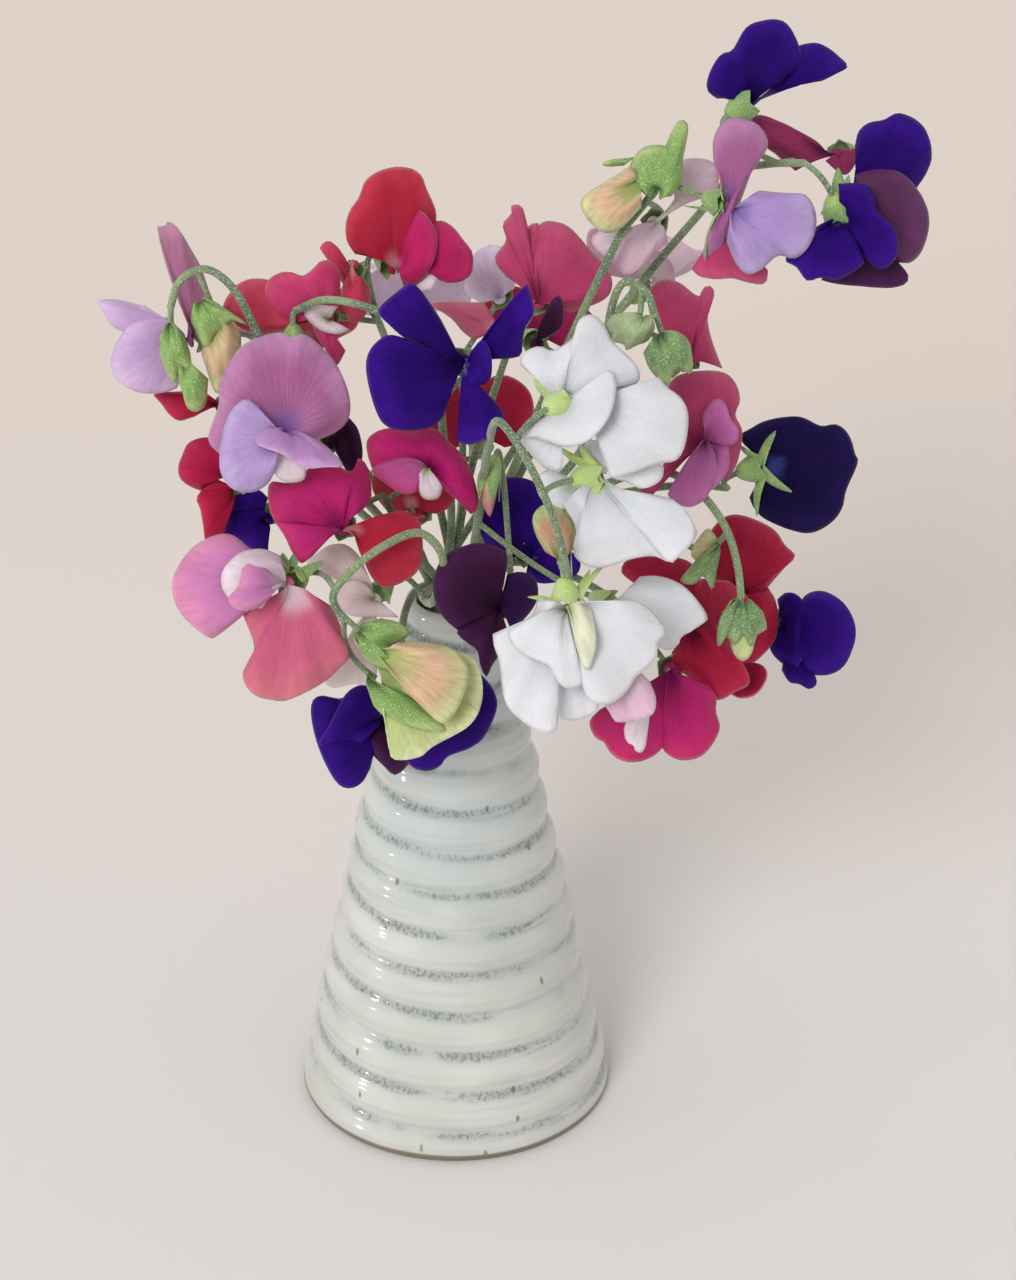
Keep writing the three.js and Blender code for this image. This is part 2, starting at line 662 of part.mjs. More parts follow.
      foot: [585, 405, 2], swell: 6, depths: [0, -4, -4],
      edge: [[612, 392], [628, 386], [640, 382], [642, 372], [652, 369], [660, 378], [668, 388],
        [680, 397], [688, 412], [688, 430], [684, 448], [676, 460], [660, 463], [640, 470], [622, 476],
        [612, 478], [610, 465], [602, 450]],
    },
    {
      foot: [600, 430, 4], swell: 2, depths: [3, 3, 3],
      edge: [[664, 466], [662, 478], [652, 486], [640, 488], [628, 482], [614, 478]],
    },
  ],
  white_mid: [
    {
      foot: [594, 474, 0], swell: 2, depths: [-2, -2, 0],
      edge: [[582, 452], [588, 441], [600, 440], [612, 441], [615, 450], [610, 462], [606, 474]],
    },
    {
      foot: [592, 478, -1], swell: 5, depths: [-3, -8, -3],
      edge: [[616, 480], [630, 492], [640, 498], [652, 496], [668, 497], [682, 506], [693, 520],
        [697, 535], [688, 547], [680, 555], [672, 562], [664, 560], [655, 556], [635, 558], [618, 563],
        [600, 568], [585, 565], [575, 556], [574, 545], [577, 530], [568, 515], [562, 503], [566, 495]],
    },
    {
      foot: [604, 486, -4], swell: 3, depths: [-7, -12, -6],
      edge: [[672, 499], [686, 511], [696, 530], [690, 545], [678, 556], [672, 563], [664, 556],
        [652, 540], [640, 522], [624, 508]],
    },
    {
      foot: [580, 484, 2], swell: 2, depths: [1, 1, 1],
      edge: [[562, 512], [548, 505], [538, 492], [537, 478], [548, 470], [560, 474]],
    },
  ],
  white_low: [
    {
      foot: [566, 599, -8], swell: 5, depths: [-12, -18, -12],
      edge: [[585, 598], [592, 610], [596, 628], [596, 645], [592, 662], [588, 671], [582, 662],
        [578, 645], [572, 628], [566, 612]],
    },
    {
      foot: [572, 602, -5], swell: 5, depths: [-8, -9, -12],
      edge: [[600, 600], [616, 599], [632, 600], [648, 608], [662, 622], [666, 632], [658, 642],
        [657, 655], [648, 667], [636, 677], [628, 690], [614, 702], [602, 704], [590, 700], [584, 690],
        [582, 676]],
    },
    {
      foot: [564, 602, -5], swell: 5, depths: [-12, -10, -4],
      edge: [[584, 684], [572, 689], [562, 686], [556, 676], [548, 665], [536, 661], [524, 655],
        [513, 645], [508, 632], [516, 626], [526, 622], [536, 610], [537, 600], [548, 591]],
    },
    {
      foot: [562, 604, 0], swell: 4, depths: [-2, -6, -2],
      edge: [[562, 690], [560, 710], [558, 730], [548, 733], [536, 730], [524, 722], [512, 712],
        [505, 700], [502, 680], [499, 660], [494, 645], [493, 634]],
    },
    {
      foot: [568, 610, 1], swell: 2, depths: [1, 1, 1],
      edge: [[600, 700], [595, 712], [580, 719], [562, 719], [556, 700]],
    },
    {
      foot: [580, 610, 2], swell: 2, depths: [-1, -2, -1],
      edge: [[650, 682], [656, 700], [652, 715], [640, 720], [614, 721], [612, 710], [600, 702]],
    },
  ],
  white_side: [
    {
      foot: [612, 604, 0], swell: 5, depths: [-1, -6, -3],
      edge: [[614, 590], [624, 578], [640, 577], [655, 576], [672, 580], [688, 590], [700, 603],
        [708, 619], [700, 625], [690, 632], [682, 636], [678, 645], [670, 650], [660, 647], [652, 640]],
    },
  ],
  navy_right: [
    {
      foot: [764, 466, 1], swell: 4, depths: [0, -3, 2],
      edge: [[745, 445], [740, 436], [752, 428], [765, 421], [780, 418], [800, 417], [812, 422],
        [822, 426], [836, 424], [846, 430], [852, 442], [855, 454], [858, 460], [852, 478], [846, 492],
        [842, 508], [832, 522], [820, 530], [808, 533], [795, 531], [780, 525], [765, 518], [755, 508],
        [750, 497], [752, 484]],
    },
  ],
  crimson_right_a: [
    {
      foot: [738, 600, 0], swell: 5, depths: [-1, -4, -1],
      edge: [[705, 575], [703, 550], [712, 530], [725, 517], [740, 515], [758, 520], [775, 530],
        [785, 545], [795, 556], [785, 567], [775, 578], [768, 587]],
    },
    {
      foot: [738, 598, -1], swell: 5, depths: [-4, -6, -3],
      edge: [[768, 587], [775, 600], [778, 620], [775, 640], [765, 652], [750, 665], [735, 672],
        [720, 665], [706, 650], [700, 630], [708, 605]],
    },
  ],
  crimson_right_b: [
    {
      foot: [690, 630, 0], swell: 4, depths: [0, -3, -1],
      edge: [[722, 622], [735, 650], [745, 668], [750, 683], [735, 692], [718, 700], [700, 690],
        [688, 676], [675, 668], [672, 652]],
    },
    {
      foot: [684, 612, 1], swell: 3, depths: [1, 1, 1],
      edge: [[655, 600], [636, 584], [622, 572], [625, 562], [645, 556], [668, 556], [690, 562],
        [702, 582]],
    },
  ],
  indigo_far_right: [
    {
      foot: [788, 625, 0], swell: 5, depths: [-3, -6, -3],
      edge: [[802, 600], [808, 594], [822, 591], [838, 598], [850, 612], [856, 632], [852, 652],
        [842, 668], [826, 675], [808, 672], [802, 660]],
    },
    {
      foot: [780, 622, 1], swell: 2, depths: [-1, -6, 0],
      edge: [[778, 600], [786, 593], [796, 594], [804, 604], [803, 625], [800, 650], [800, 664],
        [792, 668], [782, 662], [772, 652], [770, 640]],
    },
    {
      foot: [784, 648, 0], swell: 2, depths: [-2, -4, -1],
      edge: [[814, 672], [817, 684], [810, 689], [800, 684], [790, 682], [782, 670]],
    },
  ],
  magenta_low_right: [
    {
      foot: [668, 670, 0], swell: 5, depths: [-2, -5, -2],
      edge: [[695, 674], [708, 684], [716, 698], [716, 712], [720, 728], [714, 742], [704, 754],
        [690, 760], [676, 759], [664, 750], [660, 735], [662, 715]],
    },
    {
      foot: [666, 672, -1], swell: 4, depths: [-1, -5, -2],
      edge: [[668, 720], [664, 745], [652, 757], [636, 762], [620, 760], [610, 752], [604, 742],
        [596, 738], [590, 722], [600, 710]],
    },
    {
      foot: [652, 690, -4], swell: 2, depths: [-7, -9, -7],
      edge: [[646, 745], [641, 753], [630, 745], [624, 733], [627, 720]],
    },
  ],
  plum_mid: [
    {
      foot: [534, 342, 0], swell: 1, depths: [-1, -4, 0],
      edge: [[528, 336], [536, 325], [545, 312], [555, 297], [560, 295], [563, 310], [562, 325],
        [552, 335]],
    },
  ],
  plum_left: [
    {
      foot: [332, 438, 0], swell: 2, depths: [-1, -3, -1],
      edge: [[336, 428], [342, 422], [349, 418], [357, 428], [361, 442], [362, 455], [358, 468],
        [350, 473], [343, 465], [336, 452]],
    },
  ],
  crimson_left_a: [
    {
      foot: [222, 404, 0], swell: 3, depths: [-1, -4, 0],
      edge: [[212, 415], [195, 416], [178, 420], [168, 413], [160, 402], [153, 394], [175, 392],
        [200, 390], [215, 392]],
    },
  ],
  crimson_left_b: [
    {
      foot: [232, 474, 0], swell: 4, depths: [-1, -4, 0],
      edge: [[200, 490], [190, 486], [180, 478], [178, 466], [183, 452], [188, 443], [200, 438],
        [210, 438], [222, 450]],
    },
    {
      foot: [240, 490, 0], swell: 3, depths: [-2, -5, 0],
      edge: [[222, 540], [206, 542], [203, 525], [200, 508], [196, 498], [203, 486], [214, 478],
        [228, 477], [240, 480]],
    },
  ],
  indigo_left: [
    {
      foot: [272, 520, 0], swell: 3, depths: [-1, -4, -1],
      edge: [[268, 552], [252, 550], [240, 542], [225, 538], [222, 525], [224, 512], [240, 505],
        [258, 503]],
    },
    {
      foot: [264, 512, -1], swell: 2, depths: [-5, -6, -2],
      edge: [[226, 510], [228, 498], [242, 492], [258, 490], [268, 498]],
    },
  ],
};

// Stems, bunched where they meet at the neck. via: places that the stem passes above the rim;
// buds: closed buds, at: foot of the calyx, facing: way they point

const STEMS = [
  {
    bunch: "stems_left", blooms: ["mauve_front", "lilac_left"],
    via: [[-14, -4, 188], [-34, -18, 222], [-47, -30, 252], [-53, -30, 268], [-59, -28, 279],
      [-66, -26, 283], [-73, -25, 279], [-76, -25, 271]],
    buds: [
      { at: [-76, -26, 267], facing: [0.1, -0.1, -1], length: 20 },
      { at: [-64, -25, 270], facing: [0.3, 0, -0.95], length: 22 },
    ],
  },
  {
    bunch: "stems_left", blooms: ["crimson_left_a", "crimson_left_b"],
    via: [[-16, 0, 186], [-34, -4, 205], [-48, -8, 216]], buds: [],
  },
  {
    bunch: "stems_left", blooms: ["indigo_left", "plum_left", "coral_back"],
    via: [[-13, 3, 190], [-24, 3, 207], [-34, 5, 218]], buds: [],
  },
  {
    bunch: "stems_front_left", blooms: ["pink_bicolor", "blush_low"],
    via: [[-8, -26, 183], [-5, -44, 190], [-2, -54, 203], [-2, -58, 213], [-8, -62, 221],
      [-18, -67, 219], [-27, -71, 213], [-31, -73, 207], [-28, -74, 200]],
    buds: [
      { at: [-24, -75, 198], facing: [0.79, -0.2, -0.58], length: 36, fat: 11 },
      { at: [-22, -70, 182], facing: [0.8, -0.15, -0.5], length: 24, fat: 5 },
    ],
  },
  {
    bunch: "stems_front_left", blooms: ["magenta_left", "magenta_centre", "red_centre"],
    via: [[-11, -12, 190], [-16, -20, 205], [-19, -25, 214]], buds: [],
  },
  {
    bunch: "stems_front_left", blooms: ["indigo_low_left", "indigo_scallop"],
    via: [[-10, -18, 180], [-13, -27, 178], [-14, -33, 172]], buds: [],
  },
  {
    bunch: "stems_front", blooms: ["white_top", "white_mid", "white_low", "white_side"],
    via: [[6, -16, 190], [9, -33, 218], [11, -51, 242], [14, -68, 257], [20, -80, 254],
      [27, -86, 241], [31, -87, 228]],
    buds: [],
  },
  {
    bunch: "stems_front", blooms: ["plum_centre", "indigo_mid"],
    via: [[9, -12, 182], [14, -22, 190], [17, -30, 193]],
    buds: [{ at: [13, -36, 232], facing: [-0.1, -0.2, -1], length: 18 }],
  },
  {
    bunch: "stems_top", blooms: ["red_top", "coral_top", "coral_bud"],
    via: [[-4, 1, 200], [-12, 0, 232], [-20, 0, 256]], buds: [],
  },
  {
    bunch: "stems_top", blooms: ["indigo_centre", "plum_mid"],
    via: [[0, -4, 200], [-2, -14, 228], [-4, -26, 256], [-12, -32, 269], [-22, -29, 273],
      [-34, -24, 273], [-42, -22, 269]],
    buds: [{ at: [-43, -22, 265], facing: [0.2, 0, -1], length: 14 }],
  },
  {
    bunch: "stems_top", blooms: ["raspberry_top", "pink_mid"],
    via: [[4, 4, 200], [10, 10, 222], [16, 14, 240]], buds: [],
  },
  {
    bunch: "stems_right_top", blooms: ["mauve_top_right", "blush_top"],
    via: [[15, -4, 205], [27, -13, 240], [37, -20, 268], [43, -18, 281], [48, -15, 290],
      [54, -12, 297], [60, -10, 305], [63, -8, 314]],
    buds: [
      { at: [60, -9, 311], facing: [-0.75, -0.1, -0.6], length: 24, fat: 7 },
      { at: [58, -12, 303], facing: [0.1, -0.2, 1], length: 18 },
    ],
  },
  {
    bunch: "stems_right_top", blooms: ["indigo_top", "plum_top", "indigo_right", "raspberry_right_a"],
    via: [[18, 0, 205], [36, 4, 240], [53, 7, 264], [69, 11, 283], [80, 10, 297], [88, 3, 302],
      [97, -9, 307]],
    buds: [],
  },
  {
    bunch: "stems_right_top", blooms: ["raspberry_right_b"],
    via: [[20, -5, 198], [36, -12, 220], [44, -22, 250], [44, -25, 268], [48, -28, 280],
      [54, -31, 278], [56, -34, 272]],
    buds: [
      { at: [52, -33, 272], facing: [-0.2, -0.3, -0.9], length: 13, fat: 5 },
      { at: [58, -35, 268], facing: [0.3, -0.3, -0.9], length: 14, fat: 5.5 },
    ],
  },
  {
    bunch: "stems_right", blooms: ["navy_right"],
    via: [[22, 8, 186], [44, 6, 198], [68, -2, 206], [79, -8, 208]], buds: [],
  },
  {
    bunch: "stems_right", blooms: ["crimson_right_b", "crimson_low", "magenta_low_right"],
    via: [[17, -4, 182], [34, -12, 182], [50, -20, 176]], buds: [],
  },
  {
    bunch: "stems_right", blooms: [],
    via: [[20, -5, 187], [42, -12, 210], [60, -22, 220], [70, -32, 218], [77, -41, 211], [80, -46, 202],
      [81, -49, 194]],
    buds: [{ at: [81, -50, 188], facing: [0, -0.1, -1], length: 17, fat: 6 }],
  },
  {
    bunch: "stems_back", blooms: ["magenta_back", "blush_back"],
    via: [[8, 14, 190], [20, 24, 208], [32, 28, 220]], buds: [],
  },
  {
    bunch: "stems_back", blooms: ["lavender_back", "lavender_behind", "crimson_back"],
    via: [[2, 17, 184], [3, 32, 206], [3, 44, 226]], buds: [],
  },
  {
    bunch: "stems_back", blooms: ["indigo_far_right", "crimson_right_a"],
    via: [[16, 10, 184], [40, 19, 185], [66, 27, 174], [84, 31, 160]], buds: [],
  },
];

const BUNCHES = [
  "stems_top", "stems_right", "stems_right_top", "stems_back", "stems_left", "stems_front_left",
  "stems_front",
];
const BUNCH_ANGLES = { stems_right: -5, stems_right_top: 46, stems_back: 104, stems_left: 176,
  stems_front_left: 236, stems_front: 296 };

// Solids

function solidOf(geometry) {
  const bare = geometry.clone();
  bare.deleteAttribute("normal");
  bare.deleteAttribute("uv");
  const merged = mergeVertices(bare, 1e-4);
  return new wasm.Manifold(new wasm.Mesh({
    numProp: 3,
    vertProperties: new Float32Array(merged.attributes.position.array),
    triVerts: new Uint32Array(merged.index.array),
  }));
}

function geometryOf(solid) {
  const mesh = solid.getMesh();
  const geometry = new THREE.BufferGeometry();
  geometry.setAttribute("position", new THREE.BufferAttribute(new Float32Array(mesh.vertProperties), 3));
  geometry.setIndex(new THREE.BufferAttribute(new Uint32Array(mesh.triVerts), 1));
  geometry.computeVertexNormals();
  return geometry;
}

function join(solids) {
  return solids.slice(1).reduce((all, next) => all.add(next), solids[0]);
}

function largestBody(solid) {
  const bodies = solid.decompose();
  return bodies.reduce((best, body) => (body.volume() > best.volume() ? body : best), bodies[0]);
}

function boxesMeet(a, b) {
  const [p, q] = [a.boundingBox(), b.boundingBox()];
  return [0, 1, 2].every((i) => p.min[i] < q.max[i] && q.min[i] < p.max[i]);
}

function cutClear(solid, obstacle) {
  const meets = boxesMeet(solid, obstacle) && solid.intersect(obstacle).volume() > LEAST_CUT;
  return meets ? solid.subtract(obstacle) : solid;
}

// A closed sheet of even thickness over surface.point(a, t), with a from -1 to 1 across and t from 0
// at the top of its narrow claw to 1 at its edge. Both faces are split into the same triangles, and
// where the surface has a way that it is thickened along, they stay apart however it bends

function sheet(surface, columns, rows, thickness) {
  const nudge = 0.02;
  const half = thickness / 2;
  const normalAt = (a, t) => {
    const near = Math.max(t, 0.15);
    const across = surface.point(a + nudge, near).sub(surface.point(a - nudge, near));
    const along = surface.point(a, near + nudge).sub(surface.point(a, near - nudge));
    const normal = across.cross(along).normalize();
    if (!surface.thickenAlong) {
      return normal;
    }
    const slant = Math.max(normal.dot(surface.thickenAlong), THINNEST_SLANT);
    return surface.thickenAlong.clone().divideScalar(slant);
  };
  const corners = [];
  const push = (middle, normal) => {
    corners.push(middle.clone().addScaledVector(normal, half));
    corners.push(middle.clone().addScaledVector(normal, -half));
  };
  const clawNormal = normalAt(0, 0);
  for (const middle of [surface.root, surface.foot]) {
    push(middle.clone().addScaledVector(surface.across, -CLAW_HALF_WIDTH), clawNormal);
    push(middle.clone().addScaledVector(surface.across, CLAW_HALF_WIDTH), clawNormal);
  }
  for (let j = 1; j <= rows; j += 1) {
    for (let i = 0; i <= columns; i += 1) {
      const a = (2 * i) / columns - 1;
      push(surface.point(a, j / rows), normalAt(a, j / rows));
    }
  }
  const [rootLeft, rootRight, footLeft, footRight] = [0, 1, 2, 3];
  const spot = (i, j) => 4 + (j - 1) * (columns + 1) + i;
  const middleColumn = Math.floor(columns / 2);
  const triangles = [];
  const bothFaces = (...spots) => {
    triangles.push(...spots.map((n) => n * 2));
    triangles.push(...spots.map((n) => n * 2 + 1).reverse());
  };
  bothFaces(rootLeft, rootRight, footRight);
  bothFaces(rootLeft, footRight, footLeft);
  bothFaces(footLeft, footRight, spot(middleColumn, 1));
  for (let i = 0; i < columns; i += 1) {
    bothFaces(i < middleColumn ? footLeft : footRight, spot(i + 1, 1), spot(i, 1));
    for (let j = 1; j < rows; j += 1) {
      bothFaces(spot(i, j), spot(i + 1, j), spot(i + 1, j + 1));
      bothFaces(spot(i, j), spot(i + 1, j + 1), spot(i, j + 1));
    }
  }
  const rim = [rootRight, footRight];
  for (let j = 1; j < rows; j += 1) {
    rim.push(spot(columns, j));
  }
  for (let i = columns; i >= 0; i -= 1) {
    rim.push(spot(i, rows));
  }
  for (let j = rows - 1; j >= 1; j -= 1) {
    rim.push(spot(0, j));
  }
  rim.push(footLeft, rootLeft);
  rim.forEach((here, k) => {
    const next = rim[(k + 1) % rim.length];
    triangles.push(here * 2 + 1, next * 2 + 1, next * 2);
    triangles.push(here * 2 + 1, next * 2, here * 2);
  });
  const geometry = new THREE.BufferGeometry();
  const places = corners.flatMap((corner) => corner.toArray());
  geometry.setAttribute("position", new THREE.Float32BufferAttribute(places, 3));
  geometry.setIndex(triangles);
  return geometry;
}

// A closed tube whose radius changes along a curve, with a ring of corners at each station

function taperedTube(curve, radiusAt, sides, stations) {
  const steps = stations.length - 1;
  const geometry = new THREE.CylinderGeometry(1, 1, 1, sides, steps, false);
  const places = stations.map((u) => curve.getPointAt(u));
  const tangents = stations.map((u) => curve.getTangentAt(u));
  const normals = [];
  tangents.forEach((tangent, k) => {
    const guide = k > 0 ? normals[k - 1].clone() : new THREE.Vector3(0.36, 0.8, 0.48);
    normals.push(guide.addScaledVector(tangent, -guide.dot(tangent)).normalize());
  });
  const corners = geometry.attributes.position;
  for (let i = 0; i < corners.count; i += 1) {
    const step = Math.round((corners.getY(i) + 0.5) * steps);
    const radius = radiusAt(stations[step]);
    const binormal = tangents[step].clone().cross(normals[step]);
    const corner = places[step].clone()
      .addScaledVector(normals[step], corners.getX(i) * radius)
      .addScaledVector(binormal, -corners.getZ(i) * radius);
    corners.setXYZ(i, corner.x, corner.y, corner.z);
  }
  return geometry;
}

function evenly(steps) {
  return Array.from({ length: steps + 1 }, (_, k) => k / steps);
}

// Petal shapes

// A point of a petal in its own frame: X across, Y away from its foot, Z the way it faces. The outline
// is a circle of radius half round a point that lies off the foot, then it is folded and leant back
function petalPoint(shape, a, t) {
  const angle = a * shape.spread;
  const offset = shape.offset;
  const notch = 1 - shape.notch * Math.exp(-((angle / rad(15)) ** 2));
  const reach = offset * Math.cos(angle) + Math.sqrt(1 - (offset * Math.sin(angle)) ** 2);
  const distance = t * shape.half * reach * notch;
  const across = distance * Math.sin(angle) * shape.narrow;
  const along = distance * Math.cos(angle);
  const bowl = shape.cup * shape.half * (distance / (shape.half * 1.5)) ** 2;
  const wave = shape.ruffle * t ** 3 * Math.sin(shape.waves * angle + shape.phase);
  const crease = -shape.crease * Math.exp(-((a / 0.25) ** 2)) * t;
  const height = bowl + wave + crease;
  const foldRadius = shape.half / shape.fold;
  const turn = across / foldRadius;
  const x = (foldRadius + height) * Math.sin(turn);
  const z = (foldRadius + height) * Math.cos(turn) - foldRadius;
  const bendRadius = shape.half / shape.reflex;
  const lean = shape.lean + along / bendRadius;
  const y = bendRadius * (Math.sin(lean) - Math.sin(shape.lean)) + z * Math.sin(lean);
  const forward = -bendRadius * (Math.cos(shape.lean) - Math.cos(lean)) + z * Math.cos(lean);
  return new THREE.Vector3(x, y, forward);
}

function standardShape(bloom, grow) {
  return {
    half: bloom.half + grow, spread: rad(118), offset: 0.45, narrow: 1, notch: 0.1,
    cup: 0.08, ruffle: 1.1, waves: 5, phase: bloom.half, crease: 1.2,
    fold: bloom.fold, reflex: 0.45, lean: rad(bloom.lean),
  };
}

// The bloom's own axes: side is to the right of a viewer who faces it
function axesOf(bloom) {
  const facing = vec(bloom.facing).normalize();
  const raw = vec(bloom.up);
  const up = raw.addScaledVector(facing, -raw.dot(facing)).normalize();
  const side = up.clone().cross(facing);
  return { side, up, facing };
}

// A petal's surface in the model: root in the receptacle, foot at the top of its claw, and the axes
// that its own X, Y and Z lie along
function petalSurface(shape, root, foot, [x, y, z]) {
  const point = (a, t) => {
    const p = petalPoint(shape, a, t);
    return foot.clone().addScaledVector(x, p.x).addScaledVector(y, p.y).addScaledVector(z, p.z);
  };
  return { point, root, foot, across: x };
}

function standardSurface(bloom, grow = 0) {
  const { side, up, facing } = axesOf(bloom);
  const middle = vec(bloom.at).addScaledVector(facing, STANDARD_SEAT);
  const root = middle.clone().addScaledVector(up, RECEPTACLE_RADIUS - 1.4);
  const foot = middle.clone().addScaledVector(up, RECEPTACLE_RADIUS + 0.7);
  return petalSurface(standardShape(bloom, grow), root, foot, [side, up, facing]);
}

function receptacleGeometry(bloom) {
  const { facing } = axesOf(bloom);
  const at = vec(bloom.at);
  const line = new THREE.LineCurve3(
    at.clone().addScaledVector(facing, GAP),
    at.clone().addScaledVector(facing, RECEPTACLE_LENGTH),
  );
  return taperedTube(line, () => RECEPTACLE_RADIUS, 4, evenly(1));
}

// In a bloom that is half hidden both wings are one blade, hooded over the place of the keel
function hoodSurface(bloom, grow = 0) {
  const { side, up, facing } = axesOf(bloom);
  const drop = rad(22);
  const along = facing.clone().multiplyScalar(Math.cos(drop)).addScaledVector(up, -Math.sin(drop));
  const normal = side.clone().cross(along);
  const shape = {
    half: bloom.half * HOOD_SIZE + grow, spread: rad(82), offset: 0.8, narrow: 1.15, notch: 0.16,
    cup: -0.1, ruffle: 0.9, waves: 5, phase: bloom.half, crease: 0.8, fold: 1.1, reflex: 0.3, lean: 0,
  };
  const root = vec(bloom.at).addScaledVector(facing, WING_SEAT + 0.6);
  const foot = root.clone().addScaledVector(facing, 3.2);
  return petalSurface(shape, root, foot, [side, along, normal]);
}

// The place that is seen at a point of the view, at a depth from the eye along the line of sight
function placeInView(across, down, depth) {
  const ray = SIGHT.clone().addScaledVector(SIGHT_UP, (VIEW_MIDDLE.y - down) / VIEW_FOCUS);
  ray.x += (across - VIEW_MIDDLE.x) / VIEW_FOCUS;
  return EYE.clone().addScaledVector(ray, depth);
}

function seenAt(place) {
  const from = place.clone().sub(EYE);
  const scale = VIEW_FOCUS / from.dot(SIGHT);
  return new THREE.Vector2(VIEW_MIDDLE.x + from.x * scale, VIEW_MIDDLE.y - from.dot(SIGHT_UP) * scale);
}

// A smooth curve through the drawn edge where it is clear of the foot, held back wherever it would
// turn back round the foot
function sweptEdge(petal, foot) {
  const corners = petal.edge.map(([across, down]) => new THREE.Vector3(across - foot.x, down - foot.y, 0));
  const farthest = Math.max(...corners.map((corner) => corner.length()));
  const clear = corners.filter((corner) => corner.length() > DRAWN_NEAREST * farthest);
  const curve = new THREE.CatmullRomCurve3(clear, false, "centripetal");
  const samples = curve.getSpacedPoints(DRAWN_SAMPLES);
  const turns = samples.slice(1).map((next, k) => {
    const turn = Math.atan2(next.y, next.x) - Math.atan2(samples[k].y, samples[k].x);
    return turn - 2 * Math.PI * Math.round(turn / (2 * Math.PI));
  });
  const way = Math.sign(turns.reduce((sum, turn) => sum + turn, 0));
  let angle = Math.atan2(samples[0].y, samples[0].x);
  let owed = 0;
  const held = [samples[0]];
  turns.forEach((turn, k) => {
    const wanted = turn * way + owed;
    const taken = Math.max(wanted, DRAWN_LEAST_TURN);
    owed = wanted - taken;
    angle += taken * way;
    const reach = samples[k + 1].length();
    held.push(new THREE.Vector3(Math.cos(angle) * reach, Math.sin(angle) * reach, 0));
  });
  return (a) => {
    const along = ((THREE.MathUtils.clamp(a, -1, 1) + 1) / 2) * DRAWN_SAMPLES;
    const k = Math.min(Math.floor(along), DRAWN_SAMPLES - 1);
    return held[k].clone().lerp(held[k + 1], along - k);
  };
}

function drawnSurface(bloom, petal, grow = 0) {
  const root = vec(bloom.at).addScaledVector(axesOf(bloom).facing, STANDARD_SEAT);
  const depth = root.clone().sub(EYE).dot(SIGHT);
  const [footAcross, footDown, footBehind] = petal.foot;
  const [first, middle, last] = petal.depths;
  const foot = placeInView(footAcross, footDown, depth + footBehind);
  const beside = foot.clone().sub(root);
  if (beside.addScaledVector(SIGHT, -beside.dot(SIGHT)).length() < CLAW_REACH) {
    const outermost = petal.edge[Math.floor(petal.edge.length / 2)];
    const way = placeInView(...outermost, depth + middle).sub(root);
    foot.addVectors(root, way.setLength(Math.min(CLAW_REACH, way.length() * CLAW_SHARE)));
  }
  const footSeen = seenAt(foot);
  const outline = sweptEdge(petal, footSeen);
  const edge = (a) => {
    const { x, y } = outline(a);
    const behind = middle + ((last - first) / 2) * a + ((first + last) / 2 - middle) * a ** 2;
    const rim = placeInView(footSeen.x + x, footSeen.y + y, depth + behind).sub(foot);
    return rim.setLength(rim.length() + grow);
  };
  const point = (a, t) => (
    foot.clone().addScaledVector(edge(a), t).addScaledVector(SIGHT, -petal.swell * Math.sin(Math.PI * t))
  );
  const along = edge(0).normalize();
  const across = edge(0.1).sub(edge(-0.1));
  across.addScaledVector(along, -across.dot(along)).normalize();
  const thickenAlong = SIGHT.clone().multiplyScalar(Math.sign(across.clone().cross(along).dot(SIGHT)));
  return { point, root, foot, across, thickenAlong };
}

function bloomSurfaces(name, grow = 0) {
  const bloom = BLOOMS[name];
  if (PETALS[name]) {
    return PETALS[name].map((petal) => ({
      surface: drawnSurface(bloom, petal, grow),
      columns: petal.edge.length < DRAWN_ROUND ? DRAWN_FEW_COLUMNS : DRAWN_COLUMNS,
      rows: petal.swell < DRAWN_SWELL_FOR_TWO_ROWS ? 1 : 2,
    }));
  }
  return [
    { surface: standardSurface(bloom, grow), columns: PLAIN_COLUMNS, rows: STANDARD_ROWS },
    { surface: hoodSurface(bloom, grow), columns: PLAIN_COLUMNS, rows: 1 },
  ];
}

function bloomSolid(name, grow = 0) {
  const thickness = PETAL_THICKNESS + 2 * grow;
  const sheets = bloomSurfaces(name, grow).map(({ surface, columns, rows }) => (
    sheet(surface, columns, rows, thickness)
  ));
  return join([receptacleGeometry(BLOOMS[name]), ...sheets].map(solidOf));
}

// Settling: blooms that cover each other in the front view are moved apart along the line of sight

function depthCells(name) {
  const cells = new Map();
  const spacing = SETTLE_CELL * 0.45;
  const note = (place) => {
    const key = `${Math.round(place.x / SETTLE_CELL)},${Math.round(place.dot(SIGHT_UP) / SETTLE_CELL)}`;
    const depth = place.dot(SIGHT);
    const [near, far] = cells.get(key) ?? [Infinity, -Infinity];
    cells.set(key, [Math.min(near, depth), Math.max(far, depth)]);
  };
  const columns = Math.ceil(SETTLE_WIDEST / spacing);
  const rows = Math.ceil(SETTLE_LONGEST / spacing);
  for (const { surface } of bloomSurfaces(name)) {
    for (let i = 0; i <= columns; i += 1) {
      for (let j = 0; j <= rows; j += 1) {
        note(surface.point((2 * i) / columns - 1, j / rows));
      }
    }
  }
  return cells;
}

// How much further apart the front one and the back one have to be
function shortfall(front, back) {
  let most = -Infinity;
  for (const [key, [, far]] of front) {
    const other = back.get(key);
    if (other) {
      most = Math.max(most, far - other[0] + SETTLE_GAP);
    }
  }
  return most;
}

